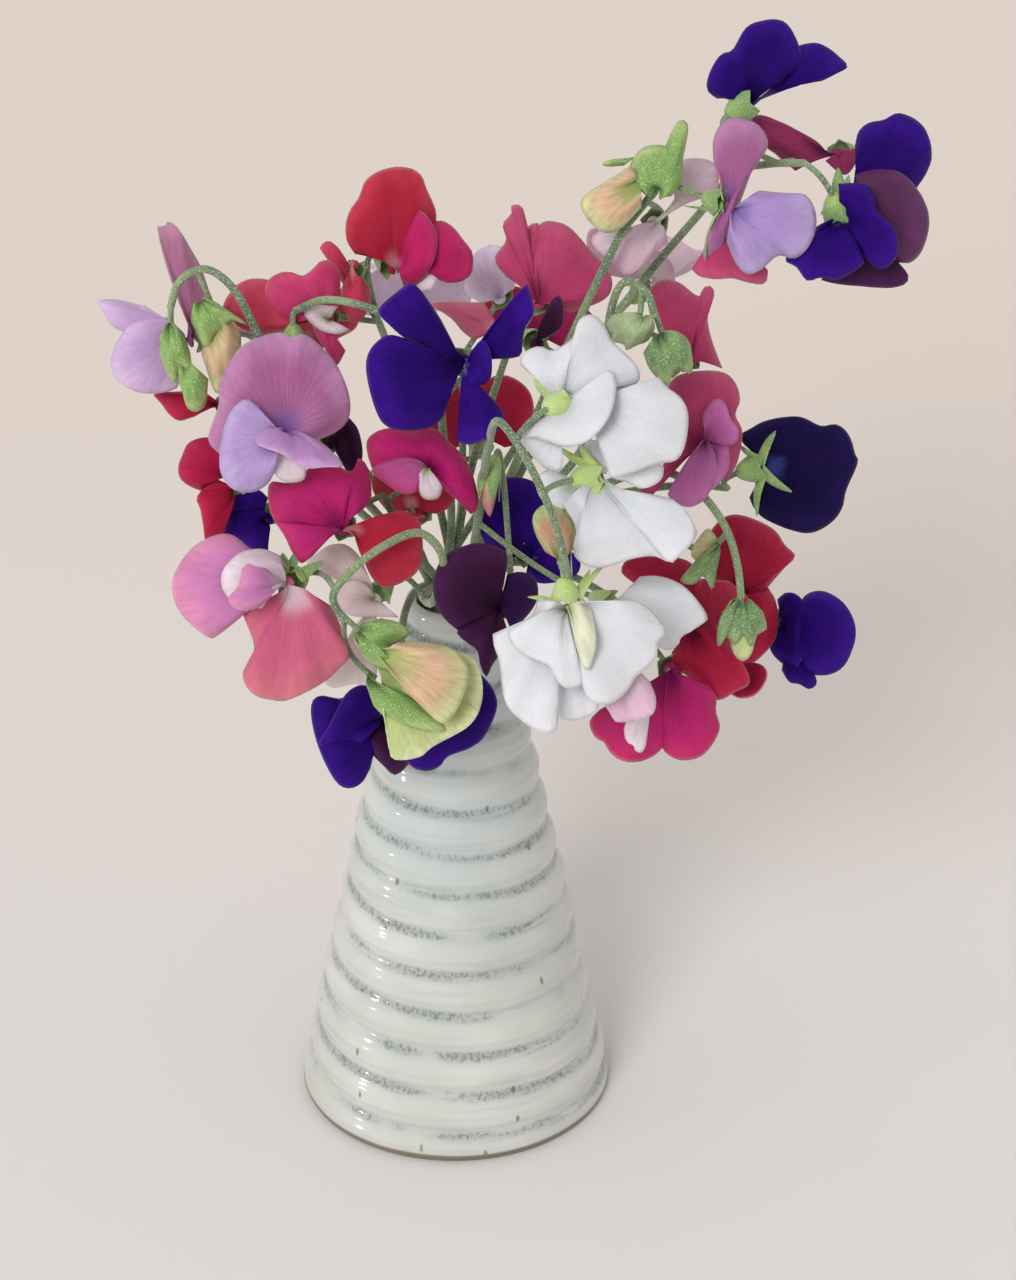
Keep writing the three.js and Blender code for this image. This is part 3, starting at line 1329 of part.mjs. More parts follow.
function settle(blooms) {
  const list = Object.entries(blooms).map(([name, bloom]) => {
    const cells = depthCells(name);
    const depths = [...cells.values()].map(([near, far]) => (near + far) / 2);
    return { bloom, cells, middle: depths.reduce((a, b) => a + b, 0) / depths.length, shift: 0 };
  });
  list.sort((a, b) => a.middle - b.middle);
  const pairs = [];
  list.forEach((front, i) => list.slice(i + 1).forEach((back) => {
    const need = shortfall(front.cells, back.cells);
    if (need > -Infinity) {
      pairs.push({ front, back, need });
    }
  }));
  for (let round = 0; round < SETTLE_ROUNDS; round += 1) {
    for (const { front, back, need } of pairs) {
      const missing = need - (back.shift - front.shift);
      if (missing > 0) {
        front.shift -= missing / 2;
        back.shift += missing / 2;
      }
    }
  }
  for (const { bloom, shift } of list) {
    const held = THREE.MathUtils.clamp(shift, -SETTLE_REACH, SETTLE_REACH);
    bloom.at = vec(bloom.at).addScaledVector(SIGHT, held).toArray();
  }
}

// Stems, pedicels, calyces and buds

function stemCurve(stem, slot) {
  const foot = new THREE.Vector3(slot.x * FOOT_SPREAD, slot.y * FOOT_SPREAD, VASE_FLOOR + GAP);
  const neckBottom = new THREE.Vector3(slot.x, slot.y, NECK_BOTTOM);
  const neckTop = new THREE.Vector3(slot.x, slot.y, NECK_TOP);
  const straight = new THREE.LineCurve3(foot, neckBottom);
  const free = new THREE.CatmullRomCurve3([neckBottom, neckTop, ...stem.via.map(vec)], false, "centripetal");
  return { straight, free };
}

// One ring of corners at the foot, one at the bottom of the neck, then one at each place it passes
function stemStations({ straight, free }) {
  const whole = new THREE.CurvePath();
  whole.add(straight);
  whole.add(free);
  const fine = 400;
  const lengths = free.getLengths(fine);
  const passed = free.points.map((_, k) => lengths[Math.round((fine * k) / (free.points.length - 1))]);
  const stations = passed.map((length) => Math.min(1, (straight.getLength() + length) / whole.getLength()));
  return { whole, stations: [0, ...stations] };
}

function stemGeometry({ whole, stations }, grow) {
  const radiusAt = (u) => grow + STEM_RADIUS + (STEM_TIP_RADIUS - STEM_RADIUS) * u;
  return taperedTube(whole, radiusAt, STEM_SIDES, stations);
}

// Places along the straight runs between the stations, above the rim
function stemPlaces({ whole, stations }) {
  const corners = stations.map((u) => whole.getPointAt(u));
  const between = corners.slice(1).flatMap((corner, k) => (
    evenly(6).map((u) => corners[k].clone().lerp(corner, u))
  ));
  return between.filter((place) => place.z > NECK_TOP + 4 || Math.hypot(place.x, place.y) > VASE_NECK_RADIUS);
}

function nearest(points, target) {
  return points.reduce((best, p) => (p.distanceTo(target) < best.distanceTo(target) ? p : best), points[0]);
}

// The pedicel leaves the stem and comes into the calyx from behind
function pedicelSolid(stemPoints, foot, facing, grow) {
  const start = nearest(stemPoints, foot.clone().addScaledVector(facing, -PEDICEL_SETBACK));
  const pull = Math.min(PEDICEL_PULL, start.distanceTo(foot) * 0.5);
  const behind = foot.clone().addScaledVector(facing, -pull);
  const end = foot.clone().addScaledVector(facing, PEDICEL_SINK);
  const curve = new THREE.QuadraticBezierCurve3(start, behind, end);
  const turn = behind.clone().sub(start).angleTo(facing);
  const steps = 2 + Math.round(turn / PEDICEL_TURN_PER_STEP);
  return solidOf(taperedTube(curve, () => PEDICEL_RADIUS + grow, PEDICEL_SIDES, evenly(steps)));
}

// A cup with five pointed sepals round its mouth, as a turned shape of ten sides whose rim is a star
function openCalyx(foot, axes, grow) {
  const profile = [
    new THREE.Vector2(0, -grow),
    new THREE.Vector2(CALYX_MOUTH_RADIUS + grow, CALYX_LENGTH - 0.8),
    new THREE.Vector2(0, CALYX_LENGTH + grow * 0.3),
  ];
  const rimRow = 1;
  const cup = new THREE.LatheGeometry(profile, SEPALS * 2);
  const corners = cup.attributes.position;
  for (let i = 0; i < corners.count; i += 1) {
    const column = Math.floor(i / profile.length) % (SEPALS * 2);
    if (i % profile.length === rimRow && column % 2 === 1) {
      const stretch = (SEPAL_REACH + grow) / (CALYX_MOUTH_RADIUS + grow);
      const height = CALYX_LENGTH - SEPAL_SETBACK;
      corners.setXYZ(i, corners.getX(i) * stretch, height, corners.getZ(i) * stretch);
    }
  }
  const frame = new THREE.Matrix4().makeBasis(axes.side, axes.facing, axes.up.clone().negate());
  cup.applyMatrix4(frame.setPosition(foot));
  return solidOf(cup);
}

// Behind a half hidden bloom the calyx is a five-sided cone as wide as its mouth and half its sepals
function plainCalyx(foot, axes, grow) {
  const radius = (CALYX_MOUTH_RADIUS + SEPAL_REACH) / 2 + grow;
  const cone = new THREE.ConeGeometry(radius, CALYX_LENGTH, SEPALS, 1, false);
  cone.rotateX(Math.PI);
  cone.translate(0, CALYX_LENGTH / 2, 0);
  const frame = new THREE.Matrix4().makeBasis(axes.side, axes.facing, axes.up.clone().negate());
  cone.applyMatrix4(frame.setPosition(foot));
  return solidOf(cone);
}

// A closed bud is a turned shape of six sides, with every other corner pulled out into a sepal's ridge
function budSolid(bud, grow) {
  const axes = axesOf({ facing: bud.facing, up: [0.1, 1, 0.2] });
  const fat = (bud.fat ?? BUD_FATNESS) + grow;
  const profile = [
    new THREE.Vector2(0, -grow),
    new THREE.Vector2(fat * 0.75, bud.length * 0.3),
    new THREE.Vector2(fat * 0.85, bud.length * 0.62),
    new THREE.Vector2(0, bud.length + grow),
  ];
  const body = new THREE.LatheGeometry(profile, BUD_SIDES);
  const corners = body.attributes.position;
  for (let i = 0; i < corners.count; i += 1) {
    const column = Math.floor(i / profile.length) % BUD_SIDES;
    const ridge = column % 2 === 1 ? BUD_RIDGE : BUD_GROOVE;
    corners.setXYZ(i, corners.getX(i) * ridge, corners.getY(i), corners.getZ(i) * ridge);
  }
  const frame = new THREE.Matrix4().makeBasis(axes.side, axes.facing, axes.up.clone().negate());
  body.applyMatrix4(frame.setPosition(vec(bud.at)));
  return solidOf(body);
}

function bunchCentre(bunch) {
  const around = BUNCH_ANGLES[bunch];
  if (around === undefined) {
    return new THREE.Vector2(0, 0);
  }
  return new THREE.Vector2(Math.cos(rad(around)), Math.sin(rad(around))).multiplyScalar(NECK_BUNCH_RADIUS);
}

function neckSlot(bunch, order) {
  const turn = rad((BUNCH_ANGLES[bunch] ?? 0) + 60 + order * 120);
  const offset = new THREE.Vector2(Math.cos(turn), Math.sin(turn)).multiplyScalar(NECK_STEM_OFFSET);
  return bunchCentre(bunch).add(offset);
}

function stemSolids(stem, slot, grow) {
  const run = stemStations(stemCurve(stem, slot));
  const above = stemPlaces(run);
  const solids = [solidOf(stemGeometry(run, grow))];
  for (const name of stem.blooms) {
    const bloom = BLOOMS[name];
    const axes = axesOf(bloom);
    const foot = vec(bloom.at).addScaledVector(axes.facing, -CALYX_LENGTH);
    const calyx = bloom.star ? openCalyx : plainCalyx;
    solids.push(calyx(foot, axes, grow));
    solids.push(pedicelSolid(above, foot, axes.facing, grow));
  }
  for (const bud of stem.buds) {
    solids.push(budSolid(bud, grow));
    solids.push(pedicelSolid(above, vec(bud.at), vec(bud.facing).normalize(), grow));
  }
  return solids;
}

function bunchSolid(bunch, grow = 0) {
  const stems = STEMS.filter((stem) => stem.bunch === bunch);
  return join(stems.flatMap((stem, order) => stemSolids(stem, neckSlot(bunch, order), grow)));
}

// Vase and water

function ringBulge(height, turn) {
  const phase = (2 * Math.PI * height) / THROW_RING_PITCH + turn;
  return THROW_RING_DEPTH * (Math.abs(Math.cos(phase / 2)) * 2 - 1.3);
}

function vaseOuterRadius(height) {
  return VASE_FOOT_RADIUS + ((VASE_NECK_RADIUS - VASE_FOOT_RADIUS) * height) / (VASE_HEIGHT - 2);
}

function vaseInnerRadius(height) {
  return vaseOuterRadius(height) - VASE_WALL;
}

function vaseGeometry() {
  const profile = [
    new THREE.Vector2(0, 0),
    new THREE.Vector2(VASE_FOOT_RADIUS - VASE_FOOT_ROUNDING, 0),
  ];
  const firstRing = profile.length;
  const bottom = VASE_FOOT_ROUNDING * 0.8;
  const top = VASE_HEIGHT - 2;
  for (let i = 0; i <= VASE_OUTER_STEPS; i += 1) {
    const height = bottom + ((top - bottom) * i) / VASE_OUTER_STEPS;
    profile.push(new THREE.Vector2(vaseOuterRadius(height), height));
  }
  const lastRing = profile.length - 1;
  profile.push(new THREE.Vector2(vaseOuterRadius(VASE_HEIGHT) - 1.2, VASE_HEIGHT));
  profile.push(new THREE.Vector2(vaseInnerRadius(VASE_HEIGHT) + 1, VASE_HEIGHT));
  for (let i = 0; i <= VASE_INNER_STEPS; i += 1) {
    const height = VASE_HEIGHT - 2 + ((VASE_FLOOR - VASE_HEIGHT + 2) * i) / VASE_INNER_STEPS;
    profile.push(new THREE.Vector2(vaseInnerRadius(height), height));
  }
  profile.push(new THREE.Vector2(0, VASE_FLOOR));
  const geometry = new THREE.LatheGeometry(profile, VASE_SIDES);
  geometry.rotateX(Math.PI / 2);
  const places = geometry.attributes.position;
  for (let i = 0; i < places.count; i += 1) {
    const row = i % profile.length;
    if (row > firstRing && row < lastRing) {
      const [x, y, z] = [places.getX(i), places.getY(i), places.getZ(i)];
      const radius = Math.hypot(x, y);
      const grown = (radius + ringBulge(z, Math.atan2(y, x))) / radius;
      places.setXYZ(i, x * grown, y * grown, z);
    }
  }
  return geometry;
}

function waterSolid() {
  const floor = VASE_FLOOR + GAP;
  const profile = [
    new THREE.Vector2(0, floor),
    new THREE.Vector2(vaseInnerRadius(floor) - GAP - 1.2, floor),
    new THREE.Vector2(vaseInnerRadius(WATER_TOP) - GAP - 0.6, WATER_TOP),
    new THREE.Vector2(0, WATER_TOP),
  ];
  const body = new THREE.LatheGeometry(profile, VASE_SIDES);
  body.rotateX(Math.PI / 2);
  let water = solidOf(body);
  for (const bunch of BUNCHES) {
    const centre = bunchCentre(bunch);
    const at = (height) => {
      const spread = 1 + ((FOOT_SPREAD - 1) * (NECK_BOTTOM - height)) / (NECK_BOTTOM - floor);
      return new THREE.Vector3(centre.x * spread, centre.y * spread, height);
    };
    const line = new THREE.LineCurve3(at(floor - 3), at(WATER_TOP + 3));
    water = water.subtract(solidOf(taperedTube(line, (t) => WATER_HOLE_RADIUS - 0.6 * t, 6, evenly(1))));
  }
  return water;
}

// The arrangement

const group = new THREE.Group();

function addMesh(name, geometry, colour, roughness) {
  const material = new THREE.MeshStandardMaterial({ color: COLOURS[colour], roughness, metalness: 0 });
  const mesh = new THREE.Mesh(geometry, material);
  mesh.name = name;
  group.add(mesh);
}

settle(BLOOMS);

const greens = BUNCHES.map((name) => ({
  name, solid: largestBody(bunchSolid(name)), fat: bunchSolid(name, STEM_CLEARANCE),
}));
const petals = Object.entries(BLOOMS).map(([name, bloom]) => ({
  name, bloom, solid: bloomSolid(name), fat: bloomSolid(name, PETAL_CLEARANCE),
}));

for (const petal of petals) {
  for (const green of greens) {
    petal.solid = cutClear(petal.solid, green.fat);
  }
}
petals.forEach((petal, i) => petals.slice(i + 1).forEach((other) => {
  petal.solid = cutClear(petal.solid, other.fat);
}));

addMesh("vase", vaseGeometry(), "glaze", 0.25);
addMesh("water", geometryOf(waterSolid()), "water", 0.05);
for (const petal of petals) {
  addMesh(petal.name, geometryOf(largestBody(petal.solid)), petal.bloom.colour, 0.6);
}
for (const green of greens) {
  addMesh(green.name, geometryOf(green.solid), "green", 0.6);
}

export default group;
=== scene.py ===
"""Sweet peas in a thrown stoneware vase: the looks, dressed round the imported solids.

Tables hold millimetres in the row frame, +Z up, the front of the arrangement towards -Y.
Meshes are written in metres.
"""

import logging
import math
from collections.abc import Callable
from dataclasses import dataclass, field
from enum import Enum

import bpy
import numpy as np
from bpy.types import Material, Mesh, NodeSocket, NodeTree, Object
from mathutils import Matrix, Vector


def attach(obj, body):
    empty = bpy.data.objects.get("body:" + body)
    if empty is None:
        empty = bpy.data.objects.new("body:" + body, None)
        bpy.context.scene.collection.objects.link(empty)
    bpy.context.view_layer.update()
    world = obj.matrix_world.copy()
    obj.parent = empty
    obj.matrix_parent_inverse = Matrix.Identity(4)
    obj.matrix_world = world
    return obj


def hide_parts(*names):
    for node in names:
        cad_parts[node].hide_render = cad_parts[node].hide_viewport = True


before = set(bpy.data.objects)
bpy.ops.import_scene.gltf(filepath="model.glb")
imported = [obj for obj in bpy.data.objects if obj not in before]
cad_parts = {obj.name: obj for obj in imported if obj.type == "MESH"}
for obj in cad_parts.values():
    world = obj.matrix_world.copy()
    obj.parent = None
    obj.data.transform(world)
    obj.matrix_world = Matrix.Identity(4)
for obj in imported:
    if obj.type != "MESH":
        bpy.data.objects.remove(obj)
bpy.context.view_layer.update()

LOG = logging.getLogger("sweet_peas")

Triple = tuple[float, float, float]
Axes = tuple[Vector, Vector, Vector]
Rows = np.ndarray

MM = 0.001
LOOK_DOWN = math.radians(28.5)
SIGHT = Vector((0, math.cos(LOOK_DOWN), -math.sin(LOOK_DOWN)))
SIGHT_UP = Vector((0, math.sin(LOOK_DOWN), math.cos(LOOK_DOWN)))
EYE = Vector((16.3, -965.5, 678.5))
VIEW_MIDDLE = Vector((508, 640, 0))
VIEW_FOCUS = 3736.9

RECEPTACLE_RADIUS = 2.4
RECEPTACLE_GAP = 0.35
RECEPTACLE_GUIDE = Vector((0.36, 0.8, 0.48))
SEAT_LENGTH = 2.2
STANDARD_SEAT = 2.4
WING_SEAT = 3.2
CALYX_LENGTH = 7
CALYX_CUP = 5.8
CALYX_MOUTH_RADIUS = 3
CALYX_FLARE = math.radians(40)
CALYX_THICKNESS = 0.28
SEPALS = 5
SEPAL_SEAT = 0.8
SEPAL_WIDTH = 3.3
SEPAL_THICKNESS = 0.3
STAR_CUP = 1.25
BUD_UP = (0.1, 1, 0.2)
BUD_FULLNESS = 0.82
BUD_BEND = 0.05

STEM_RADIUS = 1.3
STEM_TIP_RADIUS = 1.05
PEDICEL_RADIUS = 0.85
PEDICEL_SETBACK = 9
PEDICEL_PULL = 12
PEDICEL_SINK = 2.6
PEDICEL_STEPS = 12

VASE_NECK_RADIUS = 14
VASE_FLOOR = 6
THROW_RING_PITCH = 12.6
THROW_RING_DEPTH = 0.9

NECK_BUNCH_RADIUS = 6
NECK_STEM_OFFSET = 0.95
FOOT_SPREAD = 1.7
NECK_BOTTOM = 148
NECK_TOP = 173
BUNCH_ANGLES = {"stems_right": -5, "stems_right_top": 46, "stems_back": 104, "stems_left": 176,
                "stems_front_left": 236, "stems_front": 296}

HOOD_SIZE = 0.72
HOOD_DROP = math.radians(22)
STANDARD_LEAN = math.radians(8)
PLAIN_WAVES = 5
PLAIN_FRILLS = 9
CLAW_END = 0.3
CLAW_HALF_WIDTH = 1
DRAWN_NEAREST = 0.3
DRAWN_LEAST_SWEEP = math.radians(12)
PETAL_THICKNESS = 0.3
COLUMN_WIDTH = 1.5
ROW_HEIGHT = 1.3
RUFFLE_LENGTH = 19
FRILL_LENGTH = 5.2
FRILL_DEPTH = 0.25
PLEAT_LENGTH = 3.1
PLEAT_DEPTH = 0.16
LIP_DROP = 1.3
MAP_UNIT = 100

HAIRS_FINENESS = 2600
FLESH_DEPTH = 0.8
TISSUE_COLOURS = ("body", "edge", "throat", "vein")
# The rim share sets how strongly a highlight is painted along each petal's edge.
TISSUE_SHARES = ("throat_reach", "edge_width", "vein_strength", "veins", "mottle", "rim")


def shade(hex_code: str) -> tuple[float, float, float, float]:
    """A colour written as on a paint chart, in the linear light that shaders take.

    Args:
        hex_code: six hexadecimal digits after a hash mark.

    Returns:
        Red, green, blue and full alpha.
    """
    parts = [int(hex_code[i:i + 2], 16) / 255 for i in (1, 3, 5)]
    linear = [c / 12.92 if c <= 0.04045 else ((c + 0.055) / 1.055) ** 2.4 for c in parts]
    return (*linear, 1.0)


@dataclass(frozen=True)
class PetalPaint:
    """How one kind of petal is coloured, from its throat to its edge, and how its surface is worked.

    The colours are those of its body, its edge, its throat and its veins.
    """

    name: str
    colours: str
    throat_reach: float = 0.3
    edge_width: float = 0.3
    vein_strength: float = 0.35
    veins: float = 15
    mottle: float = 0.12
    sheen: float = 0.12
    gloss: float = 0.2
    # How strongly a highlight is painted along the very edge, as if the edge caught the light.
    rim: float = 0.3
    ruffle: float = 1.2
    crease: float = 0
    hairs: float = 0


@dataclass(frozen=True)
class Green:
    """The colours of a calyx: its young and its grown part, the clouds over both, and its hairs."""

    name: str
    colours: str


@dataclass(frozen=True)
class Variety:
    """The paints of a bloom's upright petal and its wings, and the slot of the record that they take."""

    slot: str
    standard: PetalPaint
    wings: PetalPaint


# The rim in each set is the strength of the painted edge highlight; sheen and gloss set the shader.
VELVET = {"sheen": 0.02, "gloss": 0.06, "rim": 0.08}
DULL = {"sheen": 0.04, "gloss": 0.08, "rim": 0.12}
CHALK = {"mottle": 0.035, "sheen": 0.05, "ruffle": 1.1}

CREAM_KEEL = PetalPaint("cream_keel", "#d8d9bc #dfdfcb #b4c684 #c2ca9e", 0.5, 0.3, 0.2)
PALE_KEEL = PetalPaint("pale_keel", "#d3c3ca #dccfd4 #bfcf98 #bfa2b2", 0.5, 0.3, 0.2)
ROSE_WING = PetalPaint("rose_wing", "#a97bb2 #bb95c2 #8e6aac #8c5c9c", 0.35, 0.35, 0.3)
PINK_HOOD = PetalPaint("pink_hood", "#b4508a #b6447a #c684a8 #8c2a60", 0.45, 0.35, 0.35)
PALE_HOOD = PetalPaint("pale_hood", "#cdb9c3 #dacbd3 #dfd6dc #b795a8", 0.35, 0.35, 0.3)
BUD_CREAM = PetalPaint("bud_cream", "#d2ab90 #cbd198 #98b066 #a9a468", 0.7, 0.34, 0.4, 22, 0.24)
BUD_RED = PetalPaint("bud_red", "#b9746e #a9bb80 #a8ad70 #8c4a4c", 0.4, 0.45, 0.4, 22, 0.24)
BUD_LIME = PetalPaint("bud_lime", "#b7c286 #c8cf9c #8ca75c #84a058", 0.45, 0.3, 0.45, 22, 0.2)
BUD_PALE = PetalPaint("bud_pale", "#9db082 #b3c294 #7a985e #6c8c56", 0.4, 0.35, 0.5, 26, 0.25, hairs=0.6)
BUD_DEEP = PetalPaint("bud_deep", "#6b8c5a #94ae74 #527850 #446a44", 0.4, 0.35, 0.5, 24, 0.25, hairs=0.8)
BUD_GREEN = PetalPaint("bud_green", "#7fa456 #aabd78 #658a4a #557a40", 0.5, 0.3, 0.5, 22, 0.22, hairs=0.8)

GREY_CALYX = Green("calyx_grey_green", "#96b460 #6f9156 #7f9f5c #c2d0ac")
LIME_CALYX = Green("calyx_lime", "#b4cf6c #a3c070 #b9cf86 #d6e0bc")

MAUVE = Variety(
    "mauve",
    PetalPaint("mauve_standard", "#9d5c88 #b07ca4 #8560a2 #6e2f62", 0.36, 0.4, 0.5, crease=0.9),
    PetalPaint("lilac_wing", "#a288bd #b49fca #8478be #7d62a6", 0.3, 0.4, 0.3))
LILAC = Variety(
    "mauve",
    PetalPaint("rose_standard", "#a06584 #b07c98 #7c5688 #7c4068", 0.36, 0.4, 0.4, crease=0.9),
    PetalPaint("pink_lilac_wing", "#b898c2 #c8aed0 #9a88c2 #9474a8", 0.3, 0.4, 0.3))
PINK = Variety(
    "pink",
    PetalPaint("pink_standard", "#bd5a7a #c46c7a #dccad2 #a0406a", 0.4, 0.35, 0.3, crease=0.6),
    PetalPaint("pink_wing", "#c07cae #cb84a6 #d9c6d2 #a65892", 0.35, 0.35, 0.3))
BLUSH = Variety(
    "blush",
    PetalPaint("blush_standard", "#cdb2c0 #d3b0c4 #cfd6b4 #b98aa6", 0.35, 0.35, 0.35),
    PetalPaint("blush_wing", "#cebac6 #d6b6c8 #d6dcc2 #bd94ac", 0.35, 0.35, 0.3))
PEARL = Variety(
    "blush",
    PetalPaint("pearl_standard", "#d8c6c6 #e0d0d0 #d2d8b0 #b99aa0", 0.3, 0.35, 0.3, mottle=0.06),
    PetalPaint("pearl_wing", "#dccccc #e2d4d2 #c6d292 #bfa2a6", 0.4, 0.35, 0.3, mottle=0.06))
WHITE = Variety(
    "white",
    PetalPaint("white_standard", "#cfd1d6 #d8d8dc #c4d29a #b4b8c2", 0.16, 0.3, 0.16, **CHALK),
    PetalPaint("white_wing", "#d2d4d9 #dadade #cad6a8 #b8bcc6", 0.16, 0.3, 0.14, **CHALK))
CRIMSON = Variety(
    "crimson",
    PetalPaint("crimson_standard", "#a01238 #b01e44 #6c0826 #600620", 0.4, 0.3, 0.55, sheen=0.06),
    PetalPaint("crimson_wing", "#a0123e #aa1e4a #7c0c30 #6e0a2c", 0.35, 0.3, 0.45, sheen=0.06))
RED = Variety(
    "red",
    PetalPaint("red_standard", "#a21c34 #b43044 #c88a90 #7c1028", 0.22, 0.3, 0.4, sheen=0.08, crease=0.9),
    PetalPaint("red_wing", "#ae1a58 #b82a62 #c87c98 #840e44", 0.22, 0.3, 0.35, sheen=0.08))
CORAL = Variety(
    "coral",
    PetalPaint("coral_standard", "#b83752 #c04a60 #d6a8a8 #942042", 0.3, 0.3, 0.35, sheen=0.1),
    PetalPaint("coral_wing", "#b83366 #c2486e #dcc0c2 #92204e", 0.3, 0.3, 0.35, sheen=0.1))
MAGENTA = Variety(
    "magenta",
    PetalPaint("magenta_standard", "#ae1c66 #b82660 #86145a #6c0c42", 0.35, 0.35, 0.55, sheen=0.08),
    PetalPaint("magenta_wing", "#ac2068 #b83068 #a44c7c #7c1250", 0.25, 0.35, 0.4, sheen=0.08))
RASPBERRY = Variety(
    "raspberry",
    PetalPaint("raspberry_standard", "#ae3c64 #b84e72 #9a2c5c #8a2250", 0.35, 0.3, 0.4, sheen=0.1),
    PetalPaint("raspberry_wing", "#b25e9a #bc70a6 #bd86b0 #843874", 0.3, 0.35, 0.45))
LAVENDER = Variety(
    "lavender",
    PetalPaint("lavender_standard", "#dac8e2 #e0d2e8 #b6a4d4 #a890c8", 0.35, 0.35, 0.3),
    PetalPaint("lavender_wing", "#d4c4e0 #dccee6 #d8d0e6 #b09ccc", 0.35, 0.35, 0.3))
INDIGO = Variety(
    "indigo",
    PetalPaint("indigo_standard", "#23075f #320e78 #160640 #0e032a", 0.4, 0.4, 0.6, mottle=0.2, **VELVET),
    PetalPaint("indigo_wing", "#280868 #361282 #6c66a8 #10042e", 0.16, 0.4, 0.6, mottle=0.2, **VELVET))
NAVY = Variety(
    "indigo",
    PetalPaint("navy_standard", "#140a34 #1c1046 #46509c #0a041c", 0.3, 0.4, 0.4, **VELVET),
    PetalPaint("navy_wing", "#180b40 #22124e #565ca4 #0c0520", 0.25, 0.4, 0.4, **VELVET))
PLUM = Variety(
    "plum",
    PetalPaint("plum_standard", "#32122f #46204a #220a28 #1c0820", 0.4, 0.45, 0.45, **DULL),
    PetalPaint("plum_wing", "#2a0f3c #381a52 #220c30 #180828", 0.35, 0.4, 0.45, **DULL))
WINE = Variety(
    "plum",
    PetalPaint("wine_standard", "#822850 #903260 #5a1840 #40102c", 0.4, 0.4, 0.5, sheen=0.06),
    PetalPaint("wine_wing", "#4e2649 #60305c #3a1636 #260f26", 0.35, 0.4, 0.5, sheen=0.06))


def as_row(vector: Vector | Triple) -> Rows:
    """A vector as a row of numbers."""
    return np.array(vector, float)


def laid(base: Vector | Triple, axes: Axes, own: Rows) -> Rows:
    """Places in the model, from rows of distances along a thing's own side, up and facing."""
    return own @ np.array([as_row(axis) for axis in axes]) + as_row(base)


def square_axes(facing: Triple, up: Triple) -> Axes:
    """A side, an up and a facing, each of length one and square to the others.

    Args:
        facing: the way that the thing faces.
        up: roughly its own up.

    Returns:
        The three axes.
    """
    ahead = Vector(facing).normalized()
    rise = Vector(up)
    rise = (rise - ahead * rise.dot(ahead)).normalized()
    return rise.cross(ahead), rise, ahead


def along_run(rows: Rows) -> Rows:
    """How far each place of a run lies from its start, along it."""
    return np.concatenate([[0], np.cumsum(np.linalg.norm(np.diff(rows, axis=0), axis=1))])


def centripetal(points: list[Vector], fine: int) -> list[Vector]:
    """A smooth run through all of the points, slowed by the square root of their distances.

    Args:
        points: the places that it passes.
        fine: steps between one point and the next.

    Returns:
        The run's places.
    """
    ends = [points[0] * 2 - points[1], *points, points[-1] * 2 - points[-2]]
    run = [points[0].copy()]
    for p0, p1, p2, p3 in zip(ends, ends[1:], ends[2:], ends[3:]):
        d0, d1, d2 = ((b - a).length ** 0.5 for a, b in ((p0, p1), (p1, p2), (p2, p3)))
        start = ((p1 - p0) / d0 - (p2 - p0) / (d0 + d1) + (p2 - p1) / d1) * d1
        end = ((p2 - p1) / d1 - (p3 - p1) / (d1 + d2) + (p3 - p2) / d2) * d1
        for k in range(1, fine + 1):
            s = k / fine
            run.append(p1 * (2 * s ** 3 - 3 * s ** 2 + 1) + start * (s ** 3 - 2 * s ** 2 + s)
                       + p2 * (-2 * s ** 3 + 3 * s ** 2) + end * (s ** 3 - s ** 2))
    return run


def evenly(run: list[Vector], steps: int) -> list[Vector]:
    """Places at even distances along a run.

    Args:
        run: the places that it passes.
        steps: how many lengths it is cut into.

    Returns:
        One place more than there are steps.
    """
    rows = np.array([as_row(place) for place in run])
    gone = along_run(rows)
    wanted = np.linspace(0, gone[-1], steps + 1)
    return [Vector(row) for row in np.column_stack([np.interp(wanted, gone, rows[:, k]) for k in range(3)])]


def place_in_view(across: float, down: float, depth: float) -> Vector:
    """The place that is seen at a pixel of the view.

    Args:
        across: the pixel's column.
        down: the pixel's row.
        depth: millimetres from the eye along the line of sight.

    Returns:
        The place in millimetres.
    """
    ray = SIGHT + SIGHT_UP * ((VIEW_MIDDLE.y - down) / VIEW_FOCUS)
    ray.x += (across - VIEW_MIDDLE.x) / VIEW_FOCUS
    return EYE + ray * depth


def depth_of(place: Vector) -> float:
    """How far a place lies from the eye along the line of sight."""
    return (place - EYE).dot(SIGHT)


def seen_at(place: Vector) -> Vector:
    """The pixel at which a place is seen."""
    away = place - EYE
    return VIEW_MIDDLE + Vector((away.x, -away.dot(SIGHT_UP), 0)) * (VIEW_FOCUS / depth_of(place))


def active(obj: Object) -> Object:
    """Makes an object the only selected one, and returns it."""
    bpy.ops.object.select_all(action="DESELECT")
    obj.select_set(True)
    bpy.context.view_layer.objects.active = obj
    return obj


def in_scene(name: str, data: bpy.types.ID | None) -> Object:
    """A new object in the scene.

    Args:
        name: its name.
        data: its mesh, curve, lamp or camera.

    Returns:
        The object.
    """
    obj = bpy.data.objects.new(name, data)
    bpy.context.scene.collection.objects.link(obj)
    return obj


